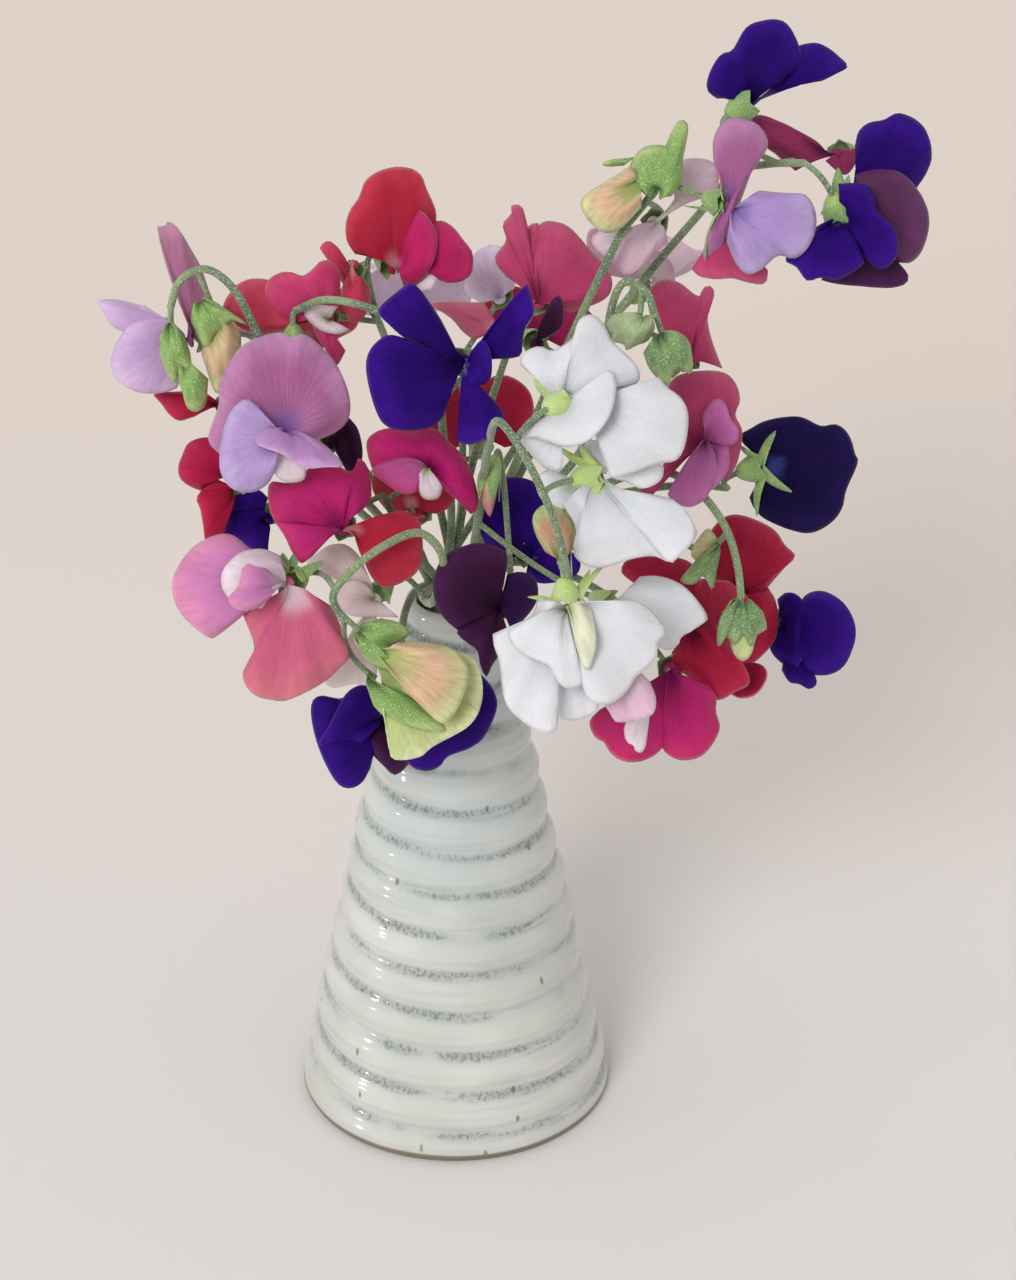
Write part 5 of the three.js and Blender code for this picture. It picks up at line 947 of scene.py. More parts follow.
PETALS = {
    "mauve_front": [
        Petal(MAUVE.standard, (287, 432, 0), 3, (5, -4, 6), "222,456 208,440 219,404 219,384 242,346 "
            "280,332 292,338 303,334 330,356 344,380 350,404 347,420 334,432 316,440 300,442"),
        Petal(MAUVE.wings, (283, 436, -2), 4, (-6, -6, -8), "275,470 268,482 254,491 238,491 227,484 "
            "220,468 223,430 232,410 246,399 257,406"),
        Petal(ROSE_WING, (290, 428, -2), 2, (-6, -14, -6), "318,440 332,452 343,466 328,467 308,468 "
            "297,464 284,455 256,444 251,437 260,428 273,422"),
        Petal(PALE_KEEL, (285, 440, -2), 1, (-4, -4, -4), "305,462 304,478 290,482 278,478 272,465 274,450")],
    "lilac_left": [
        Petal(LILAC.standard, (197, 343, 0), 2, (-3, 1, 7), "178,300 166,275 159,250 152,228 164,225 "
            "166,221 175,225 192,252 200,266 214,308"),
        Petal(LILAC.wings, (190, 338, -2), 4, (-5, -8, -3), "182,372 178,386 150,393 130,389 114,376 "
            "110,360 128,326 166,317 180,322"),
        Petal(LILAC.wings, (182, 330, 1), 2, (1, 4, 2), "150,333 120,330 109,322 103,311 97,302 112,299 "
            "145,306 172,318")],
    "pink_bicolor": [
        Petal(PINK.standard, (296, 583, 0), 4, (0, -3, -1), "309,583 322,594 332,607 349,656 338,669 "
            "322,683 284,701 272,700 256,696 245,684 243,672 250,660 254,648 243,614"),
        Petal(PINK.wings, (280, 580, 1), 4, (-2, -6, 3), "262,606 240,617 228,634 214,639 186,620 176,606 "
            "172,590 175,572 194,546 228,534 250,549"),
        Petal(PALE_HOOD, (288, 578, -2), 5, (-8, -12, -3), "262,608 240,606 229,599 223,590 221,576 "
            "229,562 242,552 262,549 280,556 292,567"),
        Petal(PINK.wings, (282, 584, -6), 3, (-13, -17, -9), "266,602 250,610 234,608 228,598 238,587 "
            "241,574 243,560 252,555 276,574")],
    "magenta_left": [
        Petal(MAGENTA.standard, (342, 528, 0), 5, (-1, -6, 2), "275,522 269,508 270,482 285,483 301,481 "
            "304,472 315,465 328,463 342,468 351,472 356,466 357,457 364,462 369,474 370,501 362,508 "
            "364,520"),
        Petal(MAGENTA.wings, (340, 528, -3), 3, (-6, -9, -7), "346,542 312,556 302,563 292,552 285,537 "
            "275,522"),
        Petal(RED.standard, (352, 525, -1), 4, (-1, -6, -2), "372,517 400,510 414,516 420,524 421,562 "
            "414,575 385,587 374,580 360,552 348,546")],
    "magenta_centre": [
        Petal(MAGENTA.standard, (432, 468, 0), 4, (-3, 0, -3), "372,468 368,456 367,440 376,432 392,428 "
            "408,429 426,427 438,431 448,441 466,460 478,504 472,514 464,505 442,488"),
        Petal(PINK_HOOD, (425, 462, -3), 2, (-6, -9, -5), "418,491 405,494 380,479 371,470 402,456 413,454"),
        Petal(PALE_KEEL, (426, 466, -3), 2, (-6, -8, -6), "438,480 442,488 437,498 424,498 419,490 418,476")],
    "indigo_centre": [
        Petal(INDIGO.standard, (462, 362, 0), 2, (0, -6, 4), "432,351 403,336 390,325 378,311 400,289 "
            "411,283 430,303 440,320"),
        Petal(INDIGO.standard, (462, 365, 0), 4, (-2, -5, -4), "444,414 434,425 398,430 384,424 375,408 "
            "366,368 368,353 377,341 389,335 403,338"),
        Petal(INDIGO.wings, (468, 362, -1), 3, (-4, -7, -3), "470,352 483,338 494,322 502,304 506,286 "
            "514,276 524,281 534,312 526,325 522,342 521,354 507,358"),
        Petal(INDIGO.wings, (466, 366, -2), 2, (-8, -10, -5), "472,350 482,340 490,350 490,378 482,384 "
            "470,384"),
        Petal(INDIGO.wings, (462, 370, -1), 3, (-2, -7, -2), "472,378 497,404 504,414 498,430 484,440 "
            "468,444 457,440 456,386")],
    "plum_centre": [
        Petal(PLUM.standard, (500, 606, 0), 4, (-3, -7, 0), "458,630 446,620 437,606 433,588 436,570 "
            "446,555 476,543 492,546 506,552 507,562"),
        Petal(PLUM.standard, (500, 606, -1), 2, (0, -4, -3), "510,640 492,665 486,677 480,664 477,650 "
            "466,642 457,632 470,616"),
        Petal(PLUM.wings, (500, 604, 0), 2, (1, 3, 0), "507,575 520,572 534,577 538,592 534,606 512,632")],
    "blush_low": [
        Petal(PEARL.standard, (376, 592, 0), 3, (-3, -2, 1), "330,578 312,572 306,564 314,556 328,546 "
            "342,544 352,549 360,558 372,580"),
        Petal(PEARL.wings, (376, 598, -1), 3, (-3, -7, -3), "398,617 375,616 350,615 333,600 336,590 "
            "350,580 366,582"),
        Petal(PEARL.wings, (376, 602, 1), 2, (2, 0, 1), "378,660 372,684 352,684 334,688 324,682 326,674 "
            "345,655 352,630")],
    "indigo_low_left": [
        Petal(INDIGO.standard, (385, 712, 0), 4, (-2, -6, 0), "370,768 362,782 352,788 340,786 316,740 "
            "311,706 315,698 324,696 338,700 352,692"),
        Petal(INDIGO.wings, (388, 716, -2), 4, (-7, -10, -3), "362,744 340,742 318,745 328,728 346,694 "
            "358,686 374,684 384,694"),
        Petal(PLUM.standard, (388, 722, -1), 3, (-2, -5, -3), "412,745 408,764 394,775 384,766 374,756 "
            "364,744 372,732")],
    "indigo_mid": [
        Petal(INDIGO.standard, (528, 552, 0), 2, (4, 3, 2), "502,562 486,545 478,516 484,492 502,479 "
            "524,478 544,488 558,504 562,526 558,548 546,562"),
        Petal(INDIGO.wings, (530, 556, -1), 2, (-1, -3, -1), "548,541 566,549 580,560 577,574 540,583 "
            "526,574")],
    "indigo_scallop": [
        Petal(INDIGO.standard, (432, 690, 0), 3, (0, -3, -4), "470,668 484,678 494,692 497,706 483,738 "
            "470,748 447,757 440,766 428,771 414,768 404,758 398,742 400,722"),
        Petal(INDIGO.wings, (432, 692, -2), 2, (-6, -8, -6), "452,712 444,728 428,732 414,724 412,708")],
    "red_top": [
        Petal(RED.standard, (393, 266, 0), 4, (1, -5, 3), "376,280 364,268 355,253 347,240 346,225 350,210 "
            "359,196 366,180 384,169 398,166 412,168 421,175 426,188 436,214 432,232 418,246"),
        Petal(RED.wings, (397, 264, -2), 4, (-5, -10, -4), "400,250 414,218 419,210 434,226 437,238 "
            "432,264 416,284 404,287 399,280"),
        Petal(RED.wings, (410, 262, -3), 3, (-2, -4, -4), "430,222 442,220 454,228 463,240 472,252 470,275 "
            "458,282 446,282 437,278"),
        Petal(PALE_KEEL, (410, 268, -2), 1, (-5, -6, -3), "438,262 438,274 434,286 424,291 417,290")],
    "coral_top": [
        Petal(CORAL.standard, (325, 318, 0), 3, (-1, -5, -1), "290,330 262,333 245,330 228,318 222,308 "
            "238,284 254,278 284,283"),
        Petal(CORAL.wings, (325, 318, -1), 4, (-4, -6, 1), "290,325 272,312 265,292 268,280 280,272 "
            "292,272 302,276 312,270 320,261 330,260 338,268 340,300 335,312"),
        Petal(PALE_KEEL, (330, 320, -2), 2, (-4, -8, -5), "350,330 340,334 325,332 312,324 303,312 306,306 "
            "338,306"),
        Petal(CORAL.wings, (326, 322, -2), 1, (-3, -4, -4), "345,350 335,366 326,350 318,338 312,326")],
    "coral_bud": [
        Petal(CORAL.standard, (352, 272, 0), 3, (-1, -4, 0), "344,285 325,255 320,247 328,241 337,247 "
            "345,258"),
        Petal(CORAL.standard, (352, 270, -1), 4, (-2, -6, -2), "364,272 370,288 369,304 362,318 352,322 "
            "344,308 341,290 343,276")],
    "lavender_back": [
        Petal(LAVENDER.standard, (500, 300, 0), 3, (-1, -4, 2), "482,303 465,290 468,272 476,252 488,245 "
            "500,246 510,256 516,272 514,288")],
    "pink_mid": [
        Petal(PINK.standard, (500, 330, 0), 2, (-2, -6, 0), "486,344 474,340 462,330 452,318 440,310 "
            "430,304 446,302 484,302 500,310")],
    "raspberry_top": [
        Petal(RASPBERRY.standard, (540, 302, 0), 5, (-2, -4, 0), "535,285 532,262 533,240 538,226 544,221 "
            "558,222 570,228 594,254 604,264 612,280 608,296 570,312 552,310"),
        Petal(RASPBERRY.standard, (538, 302, -1), 3, (-3, -5, -1), "507,276 498,266 495,257 507,238 "
            "502,230 505,220 512,214 509,206 522,206 521,220 522,230 530,224 538,222 538,240")],
    "raspberry_right_a": [
        Petal(RASPBERRY.standard, (690, 360, 0), 4, (-2, -2, -2), "668,340 655,320 648,300 650,288 662,280 "
            "678,282 700,296 704,287 712,286 714,296 708,308 708,325 722,368")],
    "raspberry_right_b": [
        Petal(RASPBERRY.standard, (694, 450, 2), 4, (2, -5, 5), "650,498 640,488 662,468 668,440 672,410 "
            "668,390 674,378 690,372 726,373 737,385 740,400 735,415 742,430 738,460 728,480"),
        Petal(RASPBERRY.wings, (706, 440, -2), 3, (-6, -10, -6), "702,420 706,408 718,398 726,404 730,418 "
            "738,430 736,442 724,446"),
        Petal(RASPBERRY.wings, (706, 436, -3), 4, (-7, -11, -6), "716,446 718,465 712,485 706,498 690,507 "
            "676,503 668,494 682,482 690,470 692,455 698,440"),
        Petal(RASPBERRY.wings, (712, 440, -2), 2, (-4, -6, -5), "728,446 730,460 726,474 714,488 706,494")],
    "blush_top": [
        Petal(BLUSH.standard, (662, 222, 1), 3, (-1, -5, -1), "668,242 652,254 640,268 628,275 616,266 "
            "614,255 632,226 646,214"),
        Petal(BLUSH.wings, (676, 208, 1), 3, (0, -1, 2), "672,188 676,170 683,159 714,163 719,178 716,194"),
        Petal(BLUSH.wings, (642, 232, 2), 2, (1, -1, 1), "628,258 610,258 594,246 592,238 600,230 620,224")],
    "mauve_top_right": [
        Petal(MAUVE.standard, (726, 204, -1), 3, (-3, -1, -3), "718,180 714,160 714,140 720,125 730,118 "
            "758,125 768,140 766,150 756,158 750,175 748,195 742,215 718,250 704,258 706,240 714,220"),
        Petal(MAUVE.wings, (730, 212, -3), 5, (-4, -6, -5), "745,192 760,190 790,193 805,195 814,206 "
            "817,222 812,240 804,252 794,258 780,254 760,270 748,274 738,266 727,240"),
        Petal(RASPBERRY.standard, (722, 225, 2), 2, (1, 0, 1), "768,270 766,282 750,282 735,278 715,279 "
            "700,276 692,268")],
    "indigo_top": [
        Petal(INDIGO.standard, (748, 106, 0), 4, (-2, -3, 1), "718,97 708,90 708,78 722,53 732,50 746,28 "
            "758,21 784,20 801,56 797,70 774,104 768,115 757,116"),
        Petal(INDIGO.wings, (770, 95, 3), 3, (4, 4, 3), "800,45 815,43 830,48 848,66 836,72 820,76 784,91")],
    "plum_top": [
        Petal(WINE.standard, (830, 156, 0), 3, (-1, -4, 0), "808,168 796,170 775,152 766,146 758,130 "
            "750,117 762,114 776,120 806,134 822,138 836,140 838,150"),
        Petal(WINE.standard, (838, 152, 1), 1, (0, -2, -1), "858,148 856,162 846,174 836,168 826,160")],
    "indigo_right": [
        Petal(INDIGO.wings, (838, 215, -3), 4, (-4, -9, -5), "832,195 838,184 866,184 874,194 876,208 "
            "896,232 899,248 893,262 882,268 872,264 862,250"),
        Petal(INDIGO.wings, (836, 218, -3), 4, (-6, -10, -6), "862,252 864,262 836,279 820,277 808,281 "
            "796,266 788,262 785,258 800,256 815,228"),
        Petal(WINE.wings, (850, 206, 3), 5, (2, 0, 5), "848,185 856,172 870,167 886,168 902,174 916,186 "
            "925,200 929,218 927,238 920,254 910,262 898,262"),
        Petal(INDIGO.standard, (852, 200, 5), 4, (6, 5, 7), "856,145 860,130 870,122 884,120 897,113 "
            "912,116 924,126 932,156 927,172 917,187"),
        Petal(PLUM.standard, (852, 220, 5), 2, (6, 5, 5), "898,262 907,272 908,281 898,286 840,284 822,279")],
    "white_top": [
        Petal(WHITE.standard, (560, 404, -1), 5, (-5, -5, 2), "522,366 520,360 528,350 540,346 552,350 "
            "574,336 576,325 586,315 597,316 606,328 612,340 632,360 640,372 638,382 625,385 612,390 "
            "600,400"),
        Petal(WHITE.standard, (560, 406, -2), 3, (-8, -13, -4), "600,375 610,370 616,382 610,415 592,438 "
            "578,445 562,446 534,437 520,438 530,430"),
        Petal(WHITE.wings, (562, 420, 0), 2, (-3, -3, -5), "562,462 560,471 545,468 526,448 520,440 "
            "530,434"),
        Petal(WHITE.wings, (585, 405, 2), 6, (0, -4, -4), "612,392 628,386 640,382 642,372 652,369 668,388 "
            "680,397 688,412 684,448 676,460 660,463 622,476 612,478 610,465 602,450"),
        Petal(WHITE.wings, (600, 430, 4), 2, (3, 3, 3), "664,466 662,478 652,486 640,488 628,482 614,478")],
    "white_mid": [
        Petal(WHITE.wings, (594, 474, 0), 2, (-2, -2, 0), "582,452 588,441 600,440 612,441 615,450 610,462 "
            "606,474"),
        Petal(WHITE.standard, (592, 478, -1), 5, (-3, -8, -3), "616,480 640,498 652,496 668,497 682,506 "
            "693,520 697,535 680,555 672,562 655,556 635,558 600,568 585,565 575,556 574,545 577,530 "
            "562,503 566,495"),
        Petal(WHITE.wings, (604, 486, -4), 3, (-7, -12, -6), "672,499 686,511 696,530 690,545 678,556 "
            "672,563 652,540 640,522 624,508"),
        Petal(WHITE.wings, (580, 484, 2), 2, (1, 1, 1), "562,512 548,505 538,492 537,478 548,470 560,474")],
    "white_low": [
        Petal(CREAM_KEEL, (566, 599, -8), 5, (-12, -18, -12), "585,598 592,610 596,645 588,671 582,662 "
            "578,645 566,612"),
        Petal(WHITE.wings, (572, 602, -5), 5, (-8, -9, -12), "600,600 632,600 648,608 666,632 658,642 "
            "657,655 648,667 636,677 628,690 614,702 602,704 590,700 584,690 582,676"),
        Petal(WHITE.wings, (564, 602, -5), 5, (-12, -10, -4), "584,684 572,689 562,686 548,665 536,661 "
            "524,655 513,645 508,632 516,626 526,622 536,610 537,600 548,591"),
        Petal(WHITE.standard, (562, 604, 0), 4, (-2, -6, -2), "562,690 560,710 558,730 548,733 536,730 "
            "512,712 505,700 499,660 494,645 493,634"),
        Petal(WHITE.standard, (568, 610, 1), 2, (1, 1, 1), "600,700 595,712 580,719 562,719 556,700"),
        Petal(BLUSH.standard, (580, 610, 2), 2, (-1, -2, -1), "650,682 656,700 652,715 614,721 612,710 "
            "600,702")],
    "white_side": [
        Petal(WHITE.standard, (612, 604, 0), 5, (-1, -6, -3), "614,590 624,578 640,577 655,576 672,580 "
            "688,590 708,619 700,625 690,632 682,636 678,645 670,650 660,647 652,640")],
    "navy_right": [
        Petal(NAVY.standard, (764, 466, 1), 4, (0, -3, 2), "745,445 740,436 752,428 765,421 800,417 "
            "822,426 836,424 846,430 852,442 855,454 858,460 846,492 842,508 832,522 808,533 765,518 "
            "755,508 750,497 752,484")],
    "crimson_right_a": [
        Petal(CRIMSON.standard, (738, 600, 0), 5, (-1, -4, -1), "705,575 703,550 712,530 725,517 740,515 "
            "775,530 785,545 795,556 785,567 768,587"),
        Petal(CRIMSON.standard, (738, 598, -1), 5, (-4, -6, -3), "768,587 775,600 778,620 775,640 735,672 "
            "706,650 700,630 708,605")],
    "crimson_right_b": [
        Petal(CRIMSON.standard, (690, 630, 0), 4, (0, -3, -1), "722,622 735,650 750,683 735,692 718,700 "
            "700,690 688,676 675,668 672,652"),
        Petal(CRIMSON.standard, (684, 612, 1), 3, (1, 1, 1), "655,600 636,584 622,572 625,562 645,556 "
            "690,562 702,582")],
    "indigo_far_right": [
        Petal(INDIGO.wings, (788, 625, 0), 5, (-3, -6, -3), "802,600 808,594 822,591 838,598 850,612 "
            "856,632 852,652 842,668 826,675 808,672 802,660"),
        Petal(INDIGO.standard, (780, 622, 1), 2, (-1, -6, 0), "778,600 786,593 796,594 804,604 800,650 "
            "800,664 792,668 772,652 770,640"),
        Petal(INDIGO.standard, (784, 648, 0), 2, (-2, -4, -1), "814,672 817,684 810,689 800,684 790,682 "
            "782,670")],
    "magenta_low_right": [
        Petal(MAGENTA.standard, (668, 670, 0), 5, (-2, -5, -2), "695,674 708,684 716,698 716,712 720,728 "
            "704,754 690,760 676,759 664,750 660,735 662,715"),
        Petal(MAGENTA.standard, (666, 672, -1), 4, (-1, -5, -2), "668,720 664,745 652,757 636,762 620,760 "
            "610,752 604,742 596,738 590,722 600,710"),
        Petal(PALE_KEEL, (652, 690, -4), 2, (-7, -9, -7), "646,745 641,753 630,745 624,733 627,720")],
    "plum_mid": [
        Petal(PLUM.standard, (534, 342, 0), 1, (-1, -4, 0), "528,336 545,312 555,297 560,295 562,325 "
            "552,335")],
    "plum_left": [
        Petal(PLUM.standard, (332, 438, 0), 2, (-1, -3, -1), "336,428 349,418 357,428 362,455 358,468 "
            "350,473 336,452")],
    "crimson_left_a": [
        Petal(CRIMSON.standard, (222, 404, 0), 3, (-1, -4, 0), "212,415 195,416 178,420 168,413 160,402 "
            "153,394 175,392 200,390 215,392")],
    "crimson_left_b": [
        Petal(CRIMSON.wings, (232, 474, 0), 4, (-1, -4, 0), "200,490 190,486 180,478 178,466 183,452 "
            "188,443 210,438 222,450"),
        Petal(CRIMSON.standard, (240, 490, 0), 3, (-2, -5, 0), "222,540 206,542 203,525 200,508 196,498 "
            "214,478 228,477 240,480")],
    "indigo_left": [
        Petal(INDIGO.standard, (272, 520, 0), 3, (-1, -4, -1), "268,552 252,550 240,542 225,538 224,512 "
            "240,505 258,503"),
        Petal(INDIGO.wings, (264, 512, -1), 2, (-5, -6, -2), "226,510 228,498 242,492 258,490 268,498")],
}

BUD_PETALS = {
    "half_open": [
        Petal(BUD_CREAM, (376, 652, -3), 7, (-4, -6, -4), "387,648 409,641 451,648 465,662 469,678 446,723 "
            "437,721 429,707 408,679 392,671"),
        Petal(BUD_LIME, (380, 655, 2), -2, (0, 3, 0), "455,650 474,660 482,680 481,705 471,724 431,748 "
            "420,757 391,758 405,730 398,705"),
        Petal(BUD_LIME, (378, 656, 3), -6, (-1, 2, -1), "390,648 412,643 452,652 462,666 464,680 458,698 "
            "444,712 424,706 404,690 390,674"),
        Petal(BUD_GREEN, (356, 628, -4), 4, (-5, -4, -2), "366,620 380,619 396,622 410,633 400,641 388,648 "
            "394,660 404,672 374,666 362,656 354,642"),
        Petal(BUD_GREEN, (354, 626, 0), -3, (2, 3, 2), "364,618 382,618 400,628 392,644 380,660 366,656 "
            "354,640")],
    "top_left": [
        Petal(BUD_CREAM, (640, 186, -1), 5, (-2, -3, -2), "630,166 612,178 583,197 581,207 595,227 606,232 "
            "618,229 641,207 648,196"),
        Petal(BUD_LIME, (640, 186, 1), -4, (0, 1, 0), "632,168 587,199 586,208 592,218 606,227 622,221 "
            "645,196"),
        Petal(BUD_GREEN, (654, 204, -2), 5, (-2, -3, -2), "671,196 682,180 683,160 672,148 657,145 641,149 "
            "630,167 632,178 640,190 646,206 640,212 650,214"),
        Petal(BUD_GREEN, (656, 200, 2), -4, (1, 2, 1), "670,192 680,176 680,160 668,149 652,149 638,156 "
            "633,172 640,188 648,198"),
        Petal(BUD_GREEN, (636, 158, 0), 0.6, (0, -1, -1), "637,154 610,160 602,164 611,165 624,164 636,163")],
    "slim": [
        Petal(BUD_GREEN, (364, 676, -9), 3, (-9, -10, -9), "374,677 409,697 425,706 445,731 387,718 "
            "374,706 366,690"),
        Petal(BUD_GREEN, (364, 676, -6), -3, (-8, -8, -8), "374,679 428,710 442,728 385,714 372,702 "
            "366,688")],
    "hung_left": [
        Petal(BUD_GREEN, (184, 356, -2), 4, (-2, -3, -2), "176,372 182,390 187,407 194,411 204,406 208,379 "
            "195,352"),
        Petal(BUD_GREEN, (184, 356, 2), -4, (0, 0, 0), "177,373 184,390 189,405 196,408 203,403 206,379 "
            "194,354"),
        Petal(BUD_GREEN, (169, 318, -2), 5, (-4, -5, -4), "163,320 159,334 159,351 164,368 175,384 179,368 "
            "190,371 189,352 183,336 174,321"),
        Petal(BUD_GREEN, (169, 318, 2), -4, (1, 2, 1), "163,322 160,335 160,351 165,366 176,378 186,362 "
            "183,342 174,324")],
    "hung_right": [
        Petal(BUD_CREAM, (212, 322, 0), 5, (-1, -2, -1), "203,332 202,354 217,394 224,386 235,372 240,336 "
            "234,322 224,315"),
        Petal(BUD_LIME, (212, 322, 3), -4, (1, 2, 1), "204,334 203,354 208,371 216,389 236,364 236,328 "
            "226,317"),
        Petal(BUD_GREEN, (197, 296, -2), 4, (-5, -6, -5), "192,304 191,321 206,349 213,336 219,329 222,341 "
            "225,328 232,320 249,326 217,303 204,296"),
        Petal(BUD_GREEN, (197, 296, 3), -4, (3, 4, 3), "192,305 191,321 198,335 208,342 220,330 230,318 "
            "217,304 204,298")],
    "crumpled": [
        Petal(BUD_PALE, (648, 313, -2), 6, (-4, -6, -4), "646,308 611,315 607,325 613,334 612,341 624,343 "
            "626,350 636,345 648,340 655,327"),
        Petal(BUD_PALE, (648, 313, 2), -5, (2, 3, 2), "645,309 620,313 612,318 610,327 616,340 628,345 "
            "642,341 653,328")],
    "hooded": [
        Petal(BUD_DEEP, (656, 333, -2), 6, (-5, -7, -5), "650,338 644,352 649,366 661,381 668,387 673,372 "
            "680,368 691,374 689,341 678,332 664,330"),
        Petal(BUD_DEEP, (656, 333, 2), -5, (2, 3, 2), "650,340 646,353 664,380 678,374 688,360 686,343 "
            "676,334 664,332")],
    "hung_far": [
        Petal(BUD_LIME, (742, 606, -1), 3, (-2, -2, -2), "735,622 731,640 736,656 744,661 752,652 754,636 "
            "750,620"),
        Petal(BUD_LIME, (742, 606, 2), -4, (1, 1, 1), "735,622 732,640 738,655 744,658 751,650 752,636 "
            "749,620"),
        Petal(BUD_DEEP, (743, 594, -2), 5, (-4, -5, -4), "731,599 723,611 718,628 719,648 727,636 735,645 "
            "743,634 752,648 758,634 767,629 763,612 754,600"),
        Petal(BUD_DEEP, (743, 594, 3), -5, (3, 4, 3), "731,601 724,613 720,630 728,632 742,636 756,632 "
            "763,618 753,602")],
    "blushing": [
        Petal(BUD_RED, (562, 562, -1), 3, (-2, -4, -2), "574,548 574,530 566,512 554,503 541,506 533,517 "
            "536,534 546,552"),
        Petal(BUD_PALE, (563, 562, 1), -3, (1, 2, 1), "575,552 577,534 570,516 556,506 542,508 536,520 "
            "548,550")],
    "peeking": [
        Petal(BUD_CREAM, (719, 543, -1), 1, (-2, -2, -2), "700,562 692,556 694,545 709,528 708,546"),
        Petal(BUD_DEEP, (722, 542, 0), 3, (-1, -3, -1), "712,590 703,576 694,584 681,581 690,568 702,553 "
            "714,546"),
        Petal(BUD_DEEP, (722, 542, 2), -2, (1, 2, 1), "714,588 704,574 694,580 684,578 692,566 704,551 "
            "716,545")],
    "top_tip": [
        Petal(BUD_GREEN, (662, 190, -4), 3, (-3, -3, -3), "658,168 664,150 680,120 687,122 682,164 682,184 "
            "674,198"),
        Petal(BUD_GREEN, (662, 190, 0), -2, (0, 0, 0), "660,168 681,124 684,140 680,164 678,182 672,194")],
}

SEPAL_TIPS = {
    "white_top": ((534, 379, -3), (565, 391, -6), (554, 422, -4)),
    "white_mid": ((557, 446, -3), (581, 444, -4), (597, 471, -4), (594, 509, -4)),
    "white_low": ((571, 549, 0), (612, 557, 1), (528, 597, -2), (590, 570, 3)),
    "navy_right": ((738, 444, -3), (776, 431, -5), (792, 492, -4), (757, 516, -2), (744, 470, 2)),
    "mauve_top_right": ((722, 180, -3), (705, 260, -4), (684, 206, 2), (724, 216, -4)),
    "indigo_right": ((849, 175, -2), (832, 193, -3), (838, 168, 2)),
    "indigo_top": ((725, 98, -2), (745, 112, 0)),
    "pink_bicolor": ((267, 551, 3), (282, 553, 4), (298, 548, 3), (323, 561, 2)),
}

